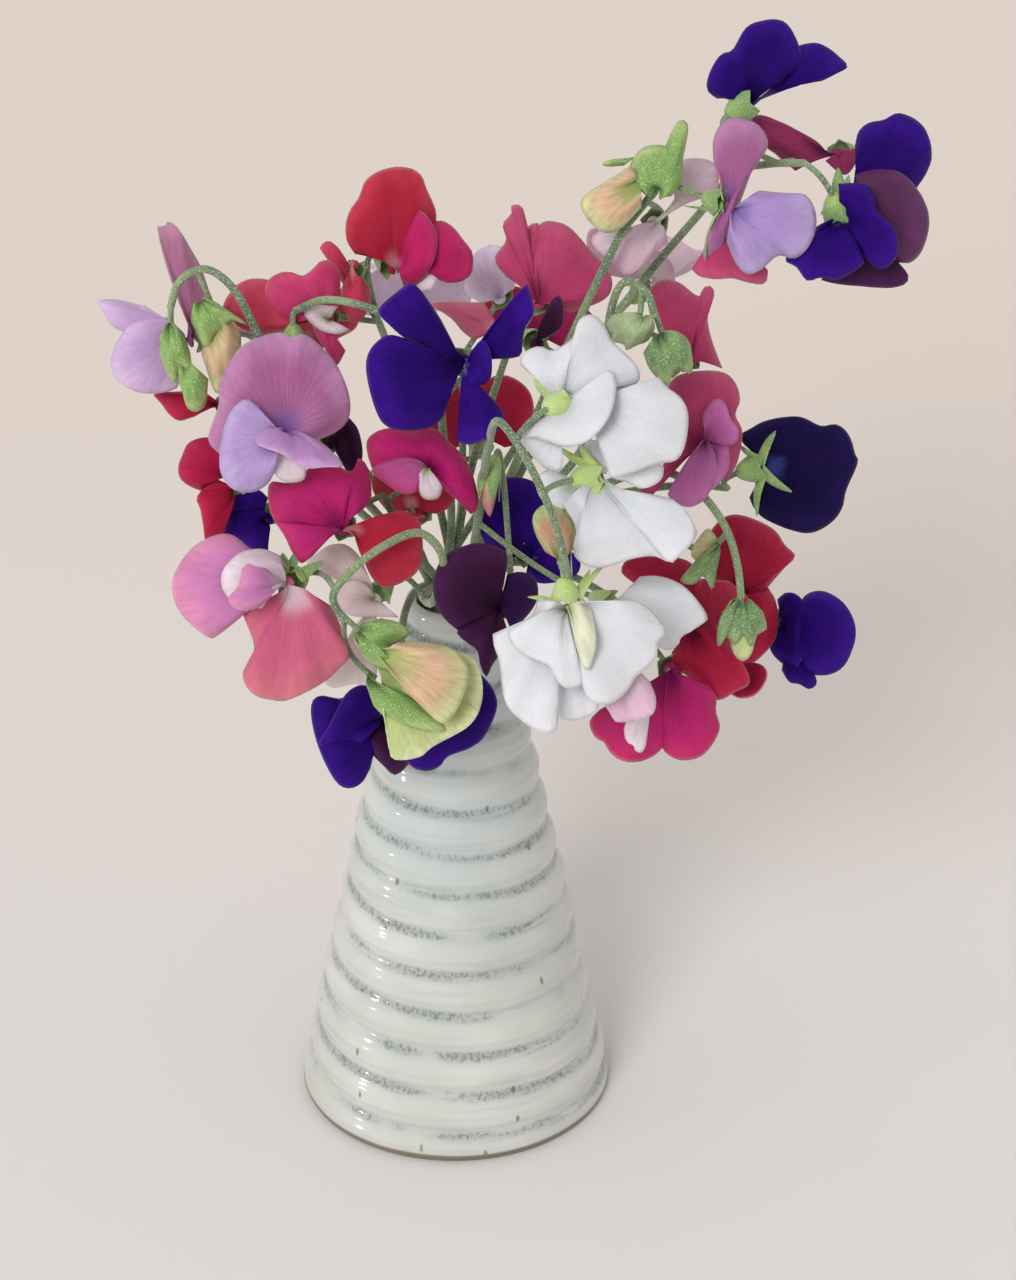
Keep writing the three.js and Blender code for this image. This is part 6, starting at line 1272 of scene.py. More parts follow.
BLOOMS = [
    Bloom("mauve_front", (-44, -48, 245), (-0.25, -0.93, -0.05), (0, 0, 1), MAUVE),
    Bloom("lilac_left", (-71, -10, 255), (-0.95, -0.3, -0.1), (-0.42, 0.1, 0.95), LILAC),
    Bloom("crimson_left_a", (-64, -8, 234), (-0.7, -0.72, 0), (0, 0.2, 1), CRIMSON),
    Bloom("crimson_left_b", (-60, -25, 218), (-0.62, -0.78, 0.1), (0, 0, 1), CRIMSON),
    Bloom("indigo_left", (-51, -22, 206), (-0.5, -0.8, -0.2), (0.2, 0, 1), INDIGO),
    Bloom("plum_left", (-33, -15, 226), (0.3, -0.9, 0.2), (0, 0.2, 1), PLUM),
    Bloom("magenta_left", (-29, -45, 214), (0, -0.95, 0.2), (0, 0.2, 1), MAGENTA),
    Bloom("pink_bicolor", (-43, -62, 206), (-0.5, -0.86, 0.1), (0.12, -0.2, -0.97), PINK),
    Bloom("blush_low", (-20, -45, 193), (-0.5, -0.75, -0.35), (-0.2, -0.3, 0.9), BLUSH),
    Bloom("indigo_low_left", (-19, -44, 154), (-0.75, -0.5, -0.4), (-0.2, -0.3, 0.9), INDIGO),
    Bloom("indigo_scallop", (-6, -42, 161), (0, -0.85, 0.5), (0.1, -0.5, -0.86), INDIGO),
    Bloom("plum_centre", (14, -50, 192), (-0.15, -0.95, 0.1), (-0.7, -0.1, 0.6), PLUM),
    Bloom("indigo_mid", (22, -30, 198), (0.5, -0.85, 0), (0, 0, 1), INDIGO),
    Bloom("red_top", (-16, -5, 275), (0.62, -0.75, -0.15), (-0.12, 0.1, 0.98), RED),
    Bloom("coral_top", (-34, -12, 262), (0.1, -0.9, 0.3), (-0.8, 0, 0.55), CORAL),
    Bloom("coral_bud", (-27, 3, 271), (-0.2, -0.3, 0.9), (0, 0.9, 0.3), CORAL),
    Bloom("indigo_centre", (4, -38, 261), (0.3, -0.85, 0.3), (-0.95, -0.1, 0.12), INDIGO),
    Bloom("plum_mid", (24, -10, 254), (0.25, -0.95, 0), (0.2, 0, 1), PLUM),
    Bloom("pink_mid", (14, 0, 254), (-0.8, -0.35, 0.2), (0, 0, 1), PINK),
    Bloom("lavender_back", (14, 25, 253), (-0.2, -0.9, 0.1), (0, 0.25, 1), LAVENDER),
    Bloom("raspberry_top", (25, 5, 260), (-0.1, -0.95, 0.25), (0, 0.2, 1), RASPBERRY),
    Bloom("raspberry_right_a", (68, 10, 240), (0.2, -0.95, 0.1), (0.15, 0.1, 1), RASPBERRY),
    Bloom("raspberry_right_b", (70, -20, 229), (0.6, -0.8, -0.05), (0, 0, 1), RASPBERRY),
    Bloom("blush_top", (57, 0, 286), (-0.25, -0.92, 0.2), (0.1, 0.1, 1), BLUSH),
    Bloom("mauve_top_right", (75, -20, 299), (0.85, -0.5, -0.15), (0.2, 0, 1), MAUVE),
    Bloom("indigo_top", (81, 0, 320), (0.66, 0.58, 0.1), (0.02, 0, 1), INDIGO),
    Bloom("plum_top", (108, 8, 303), (-0.62, -0.75, 0.1), (0.3, 0.1, 0.9), WINE),
    Bloom("indigo_right", (106, -20, 297), (0.3, 0.35, -0.88), (0.6, -0.6, 0), INDIGO),
    Bloom("white_top", (30, -66, 261), (0.5, 0.8, -0.2), (0.7, 0.1, 0.6), WHITE),
    Bloom("white_mid", (39, -62, 238), (0.75, 0.5, -0.1), (0.5, -0.1, 0.85), WHITE),
    Bloom("white_low", (32, -76, 207), (0.1, -0.35, -0.93), (0, 1, -0.35), WHITE),
    Bloom("white_side", (45, -50, 193), (0.85, -0.45, -0.1), (-0.1, 0.1, 1), WHITE),
    Bloom("navy_right", (87, -15, 218), (0.9, 0.4, 0.08), (0.45, 0, 0.9), NAVY),
    Bloom("crimson_right_a", (83, -10, 174), (0.25, -0.95, 0.15), (0.6, 0, 0.8), CRIMSON),
    Bloom("crimson_right_b", (67, -30, 177), (0.1, -0.95, 0.25), (0, 0.2, 1), CRIMSON),
    Bloom("crimson_low", (73, -26, 164), (0.45, -0.85, -0.1), (0.3, 0, 0.95), CRIMSON, half=15.1, fold=0.7),
    Bloom("indigo_far_right", (96, -12, 167), (0.75, -0.62, 0), (0, 0, 1), INDIGO),
    Bloom("magenta_low_right", (62, -35, 164), (0, -0.88, 0.45), (0.1, -0.45, -0.88), MAGENTA),
    Bloom("magenta_centre", (-5, -35, 228), (-0.15, -0.9, 0.35), (0, 0.3, 0.95), MAGENTA),
    Bloom("red_centre", (-9, -16, 204), (-0.4, -0.9, 0), (-0.3, 0, 0.95), RED, half=14, fold=0.7),
    Bloom("coral_back", (-42, 30, 232), (-0.7, 0.7, 0.1), (0, 0, 1), CORAL, half=17, fold=0.6),
    Bloom("lavender_behind", (-12, 46, 238), (-0.15, 0.95, 0.2), (0, 0, 1), LAVENDER, half=18, fold=0.6),
    Bloom("magenta_back", (26, 48, 226), (0.2, 0.95, 0.1), (0, 0, 1), MAGENTA, half=18, fold=0.6),
    Bloom("blush_back", (56, 42, 248), (0.6, 0.75, 0.2), (0, 0, 1), BLUSH, half=17, fold=0.6),
    Bloom("crimson_back", (8, 44, 196), (-0.1, 0.95, -0.2), (0, 0, 1), CRIMSON, half=17, fold=0.6),
]

STEMS = [
    Stem("stems_left", ["mauve_front", "lilac_left"],
         [(-14, -4, 188), (-34, -18, 222), (-47, -30, 252), (-53, -30, 268), (-59, -28, 279),
          (-66, -26, 283), (-73, -25, 279), (-76, -25, 271)],
         [Bud((-76, -26, 267), (0.1, -0.1, -1), 20, 4, "hung_left"),
          Bud((-64, -25, 270), (0.3, 0, -0.95), 22, 4, "hung_right")]),
    Stem("stems_left", ["crimson_left_a", "crimson_left_b"],
         [(-16, 0, 186), (-34, -4, 205), (-48, -8, 216)]),
    Stem("stems_left", ["indigo_left", "plum_left", "coral_back"],
         [(-13, 3, 190), (-24, 3, 207), (-34, 5, 218)]),
    Stem("stems_front_left", ["pink_bicolor", "blush_low"],
         [(-8, -26, 183), (-5, -44, 190), (-2, -54, 203), (-2, -58, 213), (-8, -62, 221), (-18, -67, 219),
          (-27, -71, 213), (-31, -73, 207), (-28, -74, 200)],
         [Bud((-24, -75, 198), (0.79, -0.2, -0.58), 36, 11, "half_open"),
          Bud((-22, -70, 182), (0.8, -0.15, -0.5), 24, 5, "slim")]),
    Stem("stems_front_left", ["magenta_left", "magenta_centre", "red_centre"],
         [(-11, -12, 190), (-16, -20, 205), (-19, -25, 214)]),
    Stem("stems_front_left", ["indigo_low_left", "indigo_scallop"],
         [(-10, -18, 180), (-13, -27, 178), (-14, -33, 172)]),
    Stem("stems_front", ["white_top", "white_mid", "white_low", "white_side"],
         [(6, -16, 190), (9, -33, 218), (11, -51, 242), (14, -68, 257), (20, -80, 254), (27, -86, 241),
          (31, -87, 228)],
         [Bud((31, -69, 214), (-0.3, -0.2, 0.9), 16, 4, "blushing")]),
    Stem("stems_front", ["plum_centre", "indigo_mid"],
         [(9, -12, 182), (14, -22, 190), (17, -30, 193)],
         [Bud((13, -36, 232), (-0.1, -0.2, -1), 18)]),
    Stem("stems_top", ["red_top", "coral_top", "coral_bud"],
         [(-4, 1, 200), (-12, 0, 232), (-20, 0, 256)]),
    Stem("stems_top", ["indigo_centre", "plum_mid"],
         [(0, -4, 200), (-2, -14, 228), (-4, -26, 256), (-12, -32, 269), (-22, -29, 273), (-34, -24, 273),
          (-42, -22, 269)],
         [Bud((-43, -22, 265), (0.2, 0, -1), 14)]),
    Stem("stems_top", ["raspberry_top", "pink_mid"],
         [(4, 4, 200), (10, 10, 222), (16, 14, 240)]),
    Stem("stems_right_top", ["mauve_top_right", "blush_top"],
         [(15, -4, 205), (27, -13, 240), (37, -20, 268), (43, -18, 281), (48, -15, 290), (54, -12, 297),
          (60, -10, 305), (63, -8, 314)],
         [Bud((60, -9, 311), (-0.75, -0.1, -0.6), 24, 7, "top_left"),
          Bud((58, -12, 303), (0.1, -0.2, 1), 18, 4, "top_tip")]),
    Stem("stems_right_top", ["indigo_top", "plum_top", "indigo_right", "raspberry_right_a"],
         [(18, 0, 205), (36, 4, 240), (53, 7, 264), (69, 11, 283), (80, 10, 297), (88, 3, 302),
          (97, -9, 307)]),
    Stem("stems_right_top", ["raspberry_right_b"],
         [(20, -5, 198), (36, -12, 220), (44, -22, 250), (44, -25, 268), (48, -28, 280), (54, -31, 278),
          (56, -34, 272)],
         [Bud((52, -33, 272), (-0.2, -0.3, -0.9), 13, 5, "crumpled"),
          Bud((58, -35, 268), (0.3, -0.3, -0.9), 14, 5.5, "hooded")]),
    Stem("stems_right", ["navy_right"],
         [(22, 8, 186), (44, 6, 198), (68, -2, 206), (79, -8, 208)]),
    Stem("stems_right", ["crimson_right_b", "crimson_low", "magenta_low_right"],
         [(17, -4, 182), (34, -12, 182), (50, -20, 176)]),
    Stem("stems_right", [],
         [(20, -5, 187), (42, -12, 210), (60, -22, 220), (70, -32, 218), (77, -41, 211), (80, -46, 202),
          (81, -49, 194)],
         [Bud((81, -50, 188), (0, -0.1, -1), 17, 6, "hung_far"),
          Bud((75, -38, 206), (-0.8, -0.2, -0.5), 14, 4, "peeking")]),
    Stem("stems_back", ["magenta_back", "blush_back"],
         [(8, 14, 190), (20, 24, 208), (32, 28, 220)]),
    Stem("stems_back", ["lavender_back", "lavender_behind", "crimson_back"],
         [(2, 17, 184), (3, 32, 206), (3, 44, 226)]),
    Stem("stems_back", ["indigo_far_right", "crimson_right_a"],
         [(16, 10, 184), (40, 19, 185), (66, 27, 174), (84, 31, 160)]),
]


class Stalks:
    """All the stalks of a bunch as one bevelled curve, which is then made a mesh."""

    def __init__(self, name: str) -> None:
        """Starts an empty curve with that name."""
        self.curve = bpy.data.curves.new(name, "CURVE")
        self.curve.dimensions = "3D"
        self.curve.bevel_depth = MM
        self.curve.bevel_resolution = 3
        self.curve.use_fill_caps = True
        self.curve.resolution_u = 1
        self.name = name

    def add(self, run: list[Vector], first: float, last: float) -> None:
        """Adds one stalk.

        Args:
            run: places along it, in millimetres.
            first: its radius at its start, in millimetres.
            last: its radius at its end.
        """
        spline = self.curve.splines.new("POLY")
        spline.points.add(len(run) - 1)
        for k, (point, place) in enumerate(zip(spline.points, run)):
            point.co = (*(place * MM), 1)
            point.radius = first - (first - last) * k / (len(run) - 1)
        spline.use_smooth = True

    def finish(self) -> Object:
        """The stalks as a mesh."""
        active(in_scene(self.name, self.curve))
        bpy.ops.object.convert(target="MESH")
        bpy.ops.object.shade_smooth()
        return bpy.context.view_layer.objects.active


@dataclass
class Bunch:
    """The stems that touch in the neck of the vase, with their pedicels, calyces and buds."""

    name: str
    stems: list[Stem]
    blooms: dict[str, Bloom]

    @staticmethod
    def spoke(degrees: float) -> Vector:
        """The way that a turn round the neck points, on the level."""
        return Vector((math.cos(math.radians(degrees)), math.sin(math.radians(degrees)), 0))

    def stem_run(self, stem: Stem, order: int) -> list[Vector]:
        """A stem's places from its cut end to its tip.

        Args:
            stem: the stem.
            order: its number in the bunch.

        Returns:
            Places in millimetres.
        """
        around = BUNCH_ANGLES.get(self.name)
        centre = Vector() if around is None else self.spoke(around) * NECK_BUNCH_RADIUS
        slot = centre + self.spoke((around or 0) + 60 + order * 120) * NECK_STEM_OFFSET
        foot = slot * FOOT_SPREAD + Vector((0, 0, VASE_FLOOR + RECEPTACLE_GAP))
        neck = [slot + Vector((0, 0, height)) for height in (NECK_BOTTOM, NECK_TOP)]
        return [foot, *centripetal([*neck, *(Vector(place) for place in stem.via)], 7)]

    @staticmethod
    def pedicel(stem_run: list[Vector], foot: Vector, facing: Vector) -> list[Vector]:
        """The places of the thin stalk from a stem to a calyx, which it enters from behind.

        Args:
            stem_run: places along the stem.
            foot: the calyx's foot.
            facing: the way the calyx points.

        Returns:
            Places in millimetres.
        """
        above = [p for p in stem_run if p.z > NECK_TOP + 4 or p.xy.length > VASE_NECK_RADIUS]
        target = foot - facing * PEDICEL_SETBACK
        start = min(above, key=lambda p: (p - target).length)
        behind = foot - facing * min(PEDICEL_PULL, (start - foot).length * 0.5)
        end = foot + facing * PEDICEL_SINK
        shares = [k / PEDICEL_STEPS for k in range(PEDICEL_STEPS + 1)]
        return [start * (1 - s) ** 2 + behind * (2 * s * (1 - s)) + end * s ** 2 for s in shares]

    def build(self, paints: "PaintBox") -> list[str]:
        """Makes and paints the bunch.

        Args:
            paints: where the finishes come from.

        Returns:
            The names of its pieces.
        """
        stalks = Stalks(f"{self.name}_stalks")
        cups: dict[Green, list[Object]] = {}
        pods = []
        opened: dict[PetalPaint, list[Object]] = {}
        for order, stem in enumerate(self.stems):
            run = self.stem_run(stem, order)
            stalks.add(run, STEM_RADIUS, STEM_TIP_RADIUS)
            feet = []
            for bloom in (self.blooms[name] for name in stem.blooms):
                green = LIME_CALYX if bloom.variety is WHITE else GREY_CALYX
                cups.setdefault(green, []).extend(bloom.calyx())
                feet.append((bloom.calyx_foot(), bloom.axes()[2]))
            for bud in stem.buds:
                feet.append((Vector(bud.at), bud.axes()[2]))
                for petal in BUD_PETALS.get(bud.drawn, ()):
                    opened.setdefault(petal.paint, []).append(petal.build("bud_petal", Vector(bud.at)))
                if not bud.drawn:
                    cups.setdefault(GREY_CALYX, []).append(bud.calyx())
                    pods.append(bud.pod())
            for foot, facing in feet:
                stalks.add(self.pedicel(run, foot, facing), PEDICEL_RADIUS, PEDICEL_RADIUS)
        made = [(stalks.finish(), paints.stalk())]
        for green, parts in cups.items():
            made.append((joined(f"{self.name}_{green.name}", parts), paints.calyx(green)))
        if pods:
            made.append((joined(f"{self.name}_buds", pods), paints.bud()))
        for paint, parts in opened.items():
            made.append((joined(f"{self.name}_{paint.name}", parts), paints.petal(paint)))
        return [hand_in(piece, self.name, material) for piece, material in made]


@dataclass
class Vase:
    """The thrown pot, with its rings and its rim."""

    height: float = 169
    foot_radius: float = 48
    neck_radius: float = VASE_NECK_RADIUS
    wall: float = 4
    floor: float = VASE_FLOOR
    around: int = 144
    up: int = 260

    def outer(self, height: Rows) -> Rows:
        """The cone's radius at a height."""
        return self.foot_radius + (self.neck_radius - self.foot_radius) * height / (self.height - 2)

    def profile(self) -> list[tuple[float, float]]:
        """Radius and height of each point of the pot's section, from under its foot to its floor inside."""
        foot = self.foot_radius
        start = [(0, 0), (foot - 6, 0), (foot - 2.5, 0), (foot - 1, 0.5)]
        top = self.height - 2.2
        wall = [(float(self.outer(z)), float(z)) for z in np.linspace(2, top, self.up)]
        lip = [(self.neck_radius - self.wall / 2 + 1.9 * math.cos(s), top + 0.3 + 1.9 * math.sin(s))
               for s in np.linspace(0.1, math.pi - 0.1, 9)]
        inside = [(float(self.outer(z)) - self.wall, float(z)) for z in np.linspace(top, self.floor + 3, 30)]
        return [*start, *wall, *lip, *inside, (inside[-1][0] - 3, self.floor), (0, self.floor)]

    def build(self, paints: "PaintBox") -> list[str]:
        """Makes and paints the vase.

        Args:
            paints: where the finish comes from.

        Returns:
            The names of its pieces.
        """
        profile = self.profile()
        mesh = bpy.data.meshes.new("vase_glazed")
        mesh.from_pydata([(r * MM, 0, z * MM) for r, z in profile],
                         [(k, k + 1) for k in range(len(profile) - 1)], [])
        obj = active(in_scene("vase_glazed", mesh))
        bpy.ops.object.mode_set(mode="EDIT")
        bpy.ops.mesh.select_all(action="SELECT")
        bpy.ops.mesh.spin(steps=self.around, angle=2 * math.pi, center=(0, 0, 0), axis=(0, 0, 1))
        bpy.ops.object.mode_set(mode="OBJECT")
        close_seam(obj)
        bpy.ops.object.shade_smooth()
        self.raise_rings(obj)
        return [hand_in(obj, "vase", paints.glaze())]

    def raise_rings(self, obj: Object) -> None:
        """Moves the outer wall out and in for the throwing rings, and notes where the grooves lie.

        Args:
            obj: the spun vase.
        """
        spots = Stock.spots(obj) / MM
        radius = np.hypot(spots[:, 0], spots[:, 1])
        turn = np.arctan2(spots[:, 1], spots[:, 0])
        height = spots[:, 2]
        wall = (np.abs(radius - self.outer(height)) < 0.2) & (height > 1.9) & (height < self.height - 2.1)
        fade = np.clip((height - 2) / 3, 0, 1) * np.clip((self.height - 3 - height) / 3, 0, 1)
        phase = 2 * math.pi * height / THROW_RING_PITCH + turn
        rings = THROW_RING_DEPTH * (np.sqrt(np.cos(phase / 2) ** 2 + 0.012) * 2 - 1.35)
        uneven = 0.12 * np.sin(3 * turn + height / 9) + 0.1 * np.sin(height * 1.9 + 2 * np.sin(turn))
        grown = np.where(wall, (radius + (rings + uneven) * fade) / np.maximum(radius, 0.01), 1)
        spots[:, :2] *= grown[:, None]
        Stock.place(obj, spots)
        groove = np.exp(-((np.abs(np.cos(phase / 2 + 0.2)) / 0.4) ** 2)) * wall
        marks = obj.data.attributes.new("groove", "FLOAT", "POINT")
        marks.data.foreach_set("value", groove.astype(np.float32))


@dataclass(frozen=True)
class Signal:
    """What a socket gives, with signs that add nodes to its tree."""

    tree: "Tree"
    socket: NodeSocket

    def __add__(self, other: "Signal | float") -> "Signal":
        """The sum of both."""
        return self.tree.math("ADD", self, other)

    def __sub__(self, other: "Signal | float") -> "Signal":
        """This less the other."""
        return self.tree.math("SUBTRACT", self, other)

    def __rsub__(self, other: float) -> "Signal":
        """The other less this."""
        return self.tree.math("SUBTRACT", other, self)

    def __mul__(self, other: "Signal | float") -> "Signal":
        """The product of both."""
        return self.tree.math("MULTIPLY", self, other)


class Tree:
    """A short way to write the nodes of one material or group."""

    def __init__(self, owner: NodeTree) -> None:
        """Takes the tree of the material or the group."""
        self.nodes = owner.nodes
        self.links = owner.links

    def give(self, target: NodeSocket, value: Signal | float | tuple) -> None:
        """Links a signal to an input, or sets the input to a number or a colour."""
        if isinstance(value, Signal):
            self.links.new(value.socket, target)
        else:
            target.default_value = value

    def outputs(self, kind: str, inputs: dict | None = None, **settings) -> Callable[[str | int], Signal]:
        """A new node.

        Args:
            kind: its type name.
            inputs: signals or values by the name or the number of the input.
            settings: its properties by name.

        Returns:
            What takes an output's name or number and gives its signal.
        """
        node = self.nodes.new(kind)
        for key, value in settings.items():
            setattr(node, key, value)
        for key, value in (inputs or {}).items():
            self.give(node.inputs[key], value)
        return lambda output: Signal(self, node.outputs[output])

    def math(self, operation: str, *values: Signal | float, clamp: bool = False) -> Signal:
        """A sum of numbers or signals, by Blender's name for it, kept from 0 to 1 if clamped."""
        inputs = dict(enumerate(values))
        return self.outputs("ShaderNodeMath", inputs, operation=operation, use_clamp=clamp)(0)

    def ramp(self, value: Signal, low: Signal | float, high: Signal | float) -> Signal:
        """A smooth step from 0 at low to 1 at high."""
        return self.outputs("ShaderNodeMapRange", {"Value": value, "From Min": low, "From Max": high},
                            interpolation_type="SMOOTHSTEP", clamp=True)("Result")

    def mix(self, share: Signal | float, first: Signal | tuple, second: Signal | tuple,
            blend: str = "MIX") -> Signal:
        """A mix of two colours: the first where the share is 0, the second where it is 1."""
        return self.outputs("ShaderNodeMix", {0: share, 6: first, 7: second}, data_type="RGBA",
                            blend_type=blend)(2)

    def noise(self, vector: Signal, scale: float, detail: float = 2, rough: float = 0.5) -> Signal:
        """Cloudy noise, read at a vector, with so many finer layers, each as strong as given."""
        return self.outputs("ShaderNodeTexNoise", {"Vector": vector, "Scale": scale, "Detail": detail,
                                                   "Roughness": rough})("Fac")

    def solid(self) -> Signal:
        """The place in the object's own space."""
        return self.outputs("ShaderNodeTexCoord")("Object")

    def parts(self, vector: Signal) -> Callable[[str | int], Signal]:
        """The X, Y and Z of a vector."""
        return self.outputs("ShaderNodeSeparateXYZ", {0: vector})

    def petal_map(self) -> Callable[[str | int], Signal]:
        """How far across a sheet, as X, and how far from its foot, as Y, a place lies."""
        return self.parts(self.outputs("ShaderNodeUVMap", uv_map="UVMap")("UV"))

    def stretched(self, vector: Signal, up: float) -> Signal:
        """A vector scaled along Z."""
        return self.outputs("ShaderNodeMapping", {"Scale": (1, 1, up), "Vector": vector})(0)

    def relief(self, height: Signal, strength: float, distance: float) -> Signal:
        """The normal of a surface with bumps so strong, 0 to 1, and so many millimetres deep."""
        return self.outputs("ShaderNodeBump", {"Strength": strength, "Distance": distance * MM,
                                               "Height": height})("Normal")


class PaintBox:
    """Every finish, each made once."""

    def __init__(self) -> None:
        """Starts with the shared tissue group and no finishes."""
        self.tissue = self.tissue_group()
        self.finishes: dict[str, Material] = {}

    def finish(self, name: str, recipe: Callable[[Tree], dict]) -> Material:
        """A material, which is made when it is first asked for.

        Args:
            name: the material's name.
            recipe: takes the material's tree and gives the main shader's inputs by name.

        Returns:
            The material.
        """
        if name not in self.finishes:
            material = bpy.data.materials.new(name)
            material.use_nodes = True
            tree = Tree(material.node_tree)
            shader = next(node for node in tree.nodes if node.type == "BSDF_PRINCIPLED")
            for key, value in recipe(tree).items():
                tree.give(shader.inputs[key], value)
            self.finishes[name] = material
        return self.finishes[name]

    @staticmethod
    def tissue_group() -> NodeTree:
        """The group that colours any petal from its throat to its edge, with fanned veins and a highlight
        painted on its edge.
        """
        group = bpy.data.node_groups.new("petal_tissue", "ShaderNodeTree")
        for kind, way, names in (("Color", "INPUT", TISSUE_COLOURS), ("Float", "INPUT", TISSUE_SHARES),
                                 ("Color", "OUTPUT", ("colour",)), ("Float", "OUTPUT", ("height",))):
            for name in names:
                group.interface.new_socket(name, in_out=way, socket_type=f"NodeSocket{kind}")
        tree = Tree(group)
        given = tree.outputs("NodeGroupInput")
        mapped = tree.petal_map()
        across, along = mapped("X"), mapped("Y")
        solid = tree.solid()
        cloud = tree.noise(solid, 130, 3)
        drifts = tree.noise(solid, 30)
        combed = tree.outputs("ShaderNodeCombineXYZ", {0: across * 62, 1: along * 3.2, 2: drifts * 9})(0)
        streak = tree.noise(combed, 1, 4, 0.62)
        drift = (cloud - 0.5) * 0.22
        near = along + drift
        throat = 1 - tree.ramp(near, 0.02, given("throat_reach"))
        edge = tree.math("MAXIMUM", tree.ramp(near, 1 - given("edge_width"), 1.0),
                         tree.ramp(drifts, 0.5, 0.68) * 0.6)
        turns = (across + drift * 0.16) * given("veins") * (2 * math.pi)
        coarse = tree.math("POWER", tree.math("ABSOLUTE", tree.math("COSINE", turns)), 14)
        slim = tree.math("POWER", tree.math("ABSOLUTE", tree.math("SINE", turns * 2)), 14)
        lines = tree.math("MAXIMUM", coarse, slim * tree.ramp(along, 0.35, 0.75) * 0.7)
        lines = lines * (tree.math("SUBTRACT", 1.12, along, clamp=True) * tree.ramp(streak, 0.3, 0.6))
        colour = tree.mix(edge, given("body"), given("edge"))
        colour = tree.mix(throat, colour, given("throat"))
        colour = tree.mix(lines * given("vein_strength"), colour, given("vein"))
        # Painted highlight: the outermost sliver of the petal is lightened towards white, as where the edge
        # catches light.
        rim = tree.ramp(along, 0.955, 1.0) * given("rim")
        colour = tree.mix(rim, colour, tree.mix(0.4, given("edge"), (1, 1, 1, 1)))
        light = (cloud - 0.5) * given("mottle")
        grain = (tree.noise(solid, 900) - 0.5) * 0.1
        comb = (streak - 0.5) * (given("mottle") * 4)
        bright = light * 2 + 1 + grain + comb
        tint = tree.outputs("ShaderNodeCombineColor", {0: bright, 1: bright, 2: bright})(0)
        tree.outputs("NodeGroupOutput", {"colour": tree.mix(1.0, colour, tint, "MULTIPLY"),
                                         "height": cloud * 0.5 - lines * 0.4 + streak * 0.9})
        return group

    def petal(self, paint: PetalPaint) -> Material:
        """The finish of one kind of petal."""
        def recipe(tree: Tree) -> dict:
            """Tissue, with hairs over it on the green petals of a bud."""
            inputs = dict(zip(TISSUE_COLOURS, map(shade, paint.colours.split())))
            edge = inputs["edge"]
            inputs |= {key: getattr(paint, key) for key in TISSUE_SHARES}
            tissue = tree.outputs("ShaderNodeGroup", inputs, node_tree=self.tissue)
            colour, height = tissue("colour"), tissue("height")
            if paint.hairs:
                hairs = tree.noise(tree.solid(), 2400, 2, 0.7)
                colour = tree.mix(tree.ramp(hairs, 0.53, 0.68) * paint.hairs, colour, shade("#cfd8bc"))
                height = height + hairs
            return {"Base Color": colour, "Roughness": 0.55, "Sheen Weight": paint.sheen,
                    "Sheen Roughness": 0.4, "Sheen Tint": edge, "Subsurface Weight": 0.18,
                    "Subsurface Radius": (1.0, 0.4, 0.5), "Subsurface Scale": FLESH_DEPTH * MM,
                    "Specular IOR Level": paint.gloss, "Normal": tree.relief(height, 0.65, 0.4)}

        return self.finish(paint.name, recipe)

    def stalk(self) -> Material:
        """Grey-green stalks with fine pale hairs."""
        def recipe(tree: Tree) -> dict:
            """Clouds of two greens under the hairs."""
            solid = tree.solid()
            hairs = tree.noise(solid, HAIRS_FINENESS, 2, 0.7)
            cloud = tree.ramp(tree.noise(solid, 60, 3), 0.35, 0.65)
            colour = tree.mix(cloud, shade("#50664a"), shade("#7b9060"))
            colour = tree.mix(tree.ramp(hairs, 0.52, 0.67), colour, shade("#c4cfb4"))
            return {"Base Color": colour, "Roughness": 0.62, "Sheen Weight": 0.3,
                    "Normal": tree.relief(hairs, 0.5, 0.3)}

        return self.finish("stalk_green", recipe)

    def calyx(self, green: Green) -> Material:
        """Hairy sepals in the colours given, younger towards the stalk."""
        def recipe(tree: Tree) -> dict:
            """From young to grown along the sepal, with clouds and hairs."""
            solid = tree.solid()
            young, grown, clouds, tips = map(shade, green.colours.split())
            hairs = tree.noise(solid, HAIRS_FINENESS, 2, 0.7)
            colour = tree.mix(tree.ramp(tree.petal_map()("Y"), 0.15, 0.75), young, grown)
            colour = tree.mix(tree.ramp(tree.noise(solid, 160, 3), 0.35, 0.7), colour, clouds)
            colour = tree.mix(tree.ramp(hairs, 0.54, 0.7), colour, tips)
            return {"Base Color": colour, "Roughness": 0.6, "Sheen Weight": 0.3, "Subsurface Weight": 0.12,
                    "Subsurface Scale": FLESH_DEPTH * MM, "Normal": tree.relief(hairs, 0.4, 0.25)}

        return self.finish(green.name, recipe)

    def bud(self) -> Material:
        """The folded petals of a bud: lime, then cream with a pink blush."""
        def recipe(tree: Tree) -> dict:
            """From lime to cream along the pod, with patches of blush."""
            along = tree.petal_map()("Y")
            cloud = tree.noise(tree.solid(), 70)
            colour = tree.mix(tree.ramp(along, 0.3, 0.62), shade("#96b062"), shade("#ccc096"))
            blush = tree.ramp(cloud, 0.45, 0.62) * tree.ramp(along, 0.4, 0.6) * 0.9
            colour = tree.mix(blush, colour, shade("#b4606a"))
            return {"Base Color": colour, "Roughness": 0.5, "Subsurface Weight": 0.2,
                    "Subsurface Scale": MM, "Normal": tree.relief(cloud, 0.2, 0.3)}

        return self.finish("bud_petals", recipe)

    def water(self) -> Material:
        """Clear water with a faint green tinge."""
        def recipe(tree: Tree) -> dict:
            """Two pale tints."""
            colour = tree.mix(tree.noise(tree.solid(), 30, 1), shade("#d5e6e0"), shade("#e3efea"))
            return {"Base Color": colour, "Roughness": 0.02, "IOR": 1.33, "Transmission Weight": 0.9}

        return self.finish("clear_water", recipe)

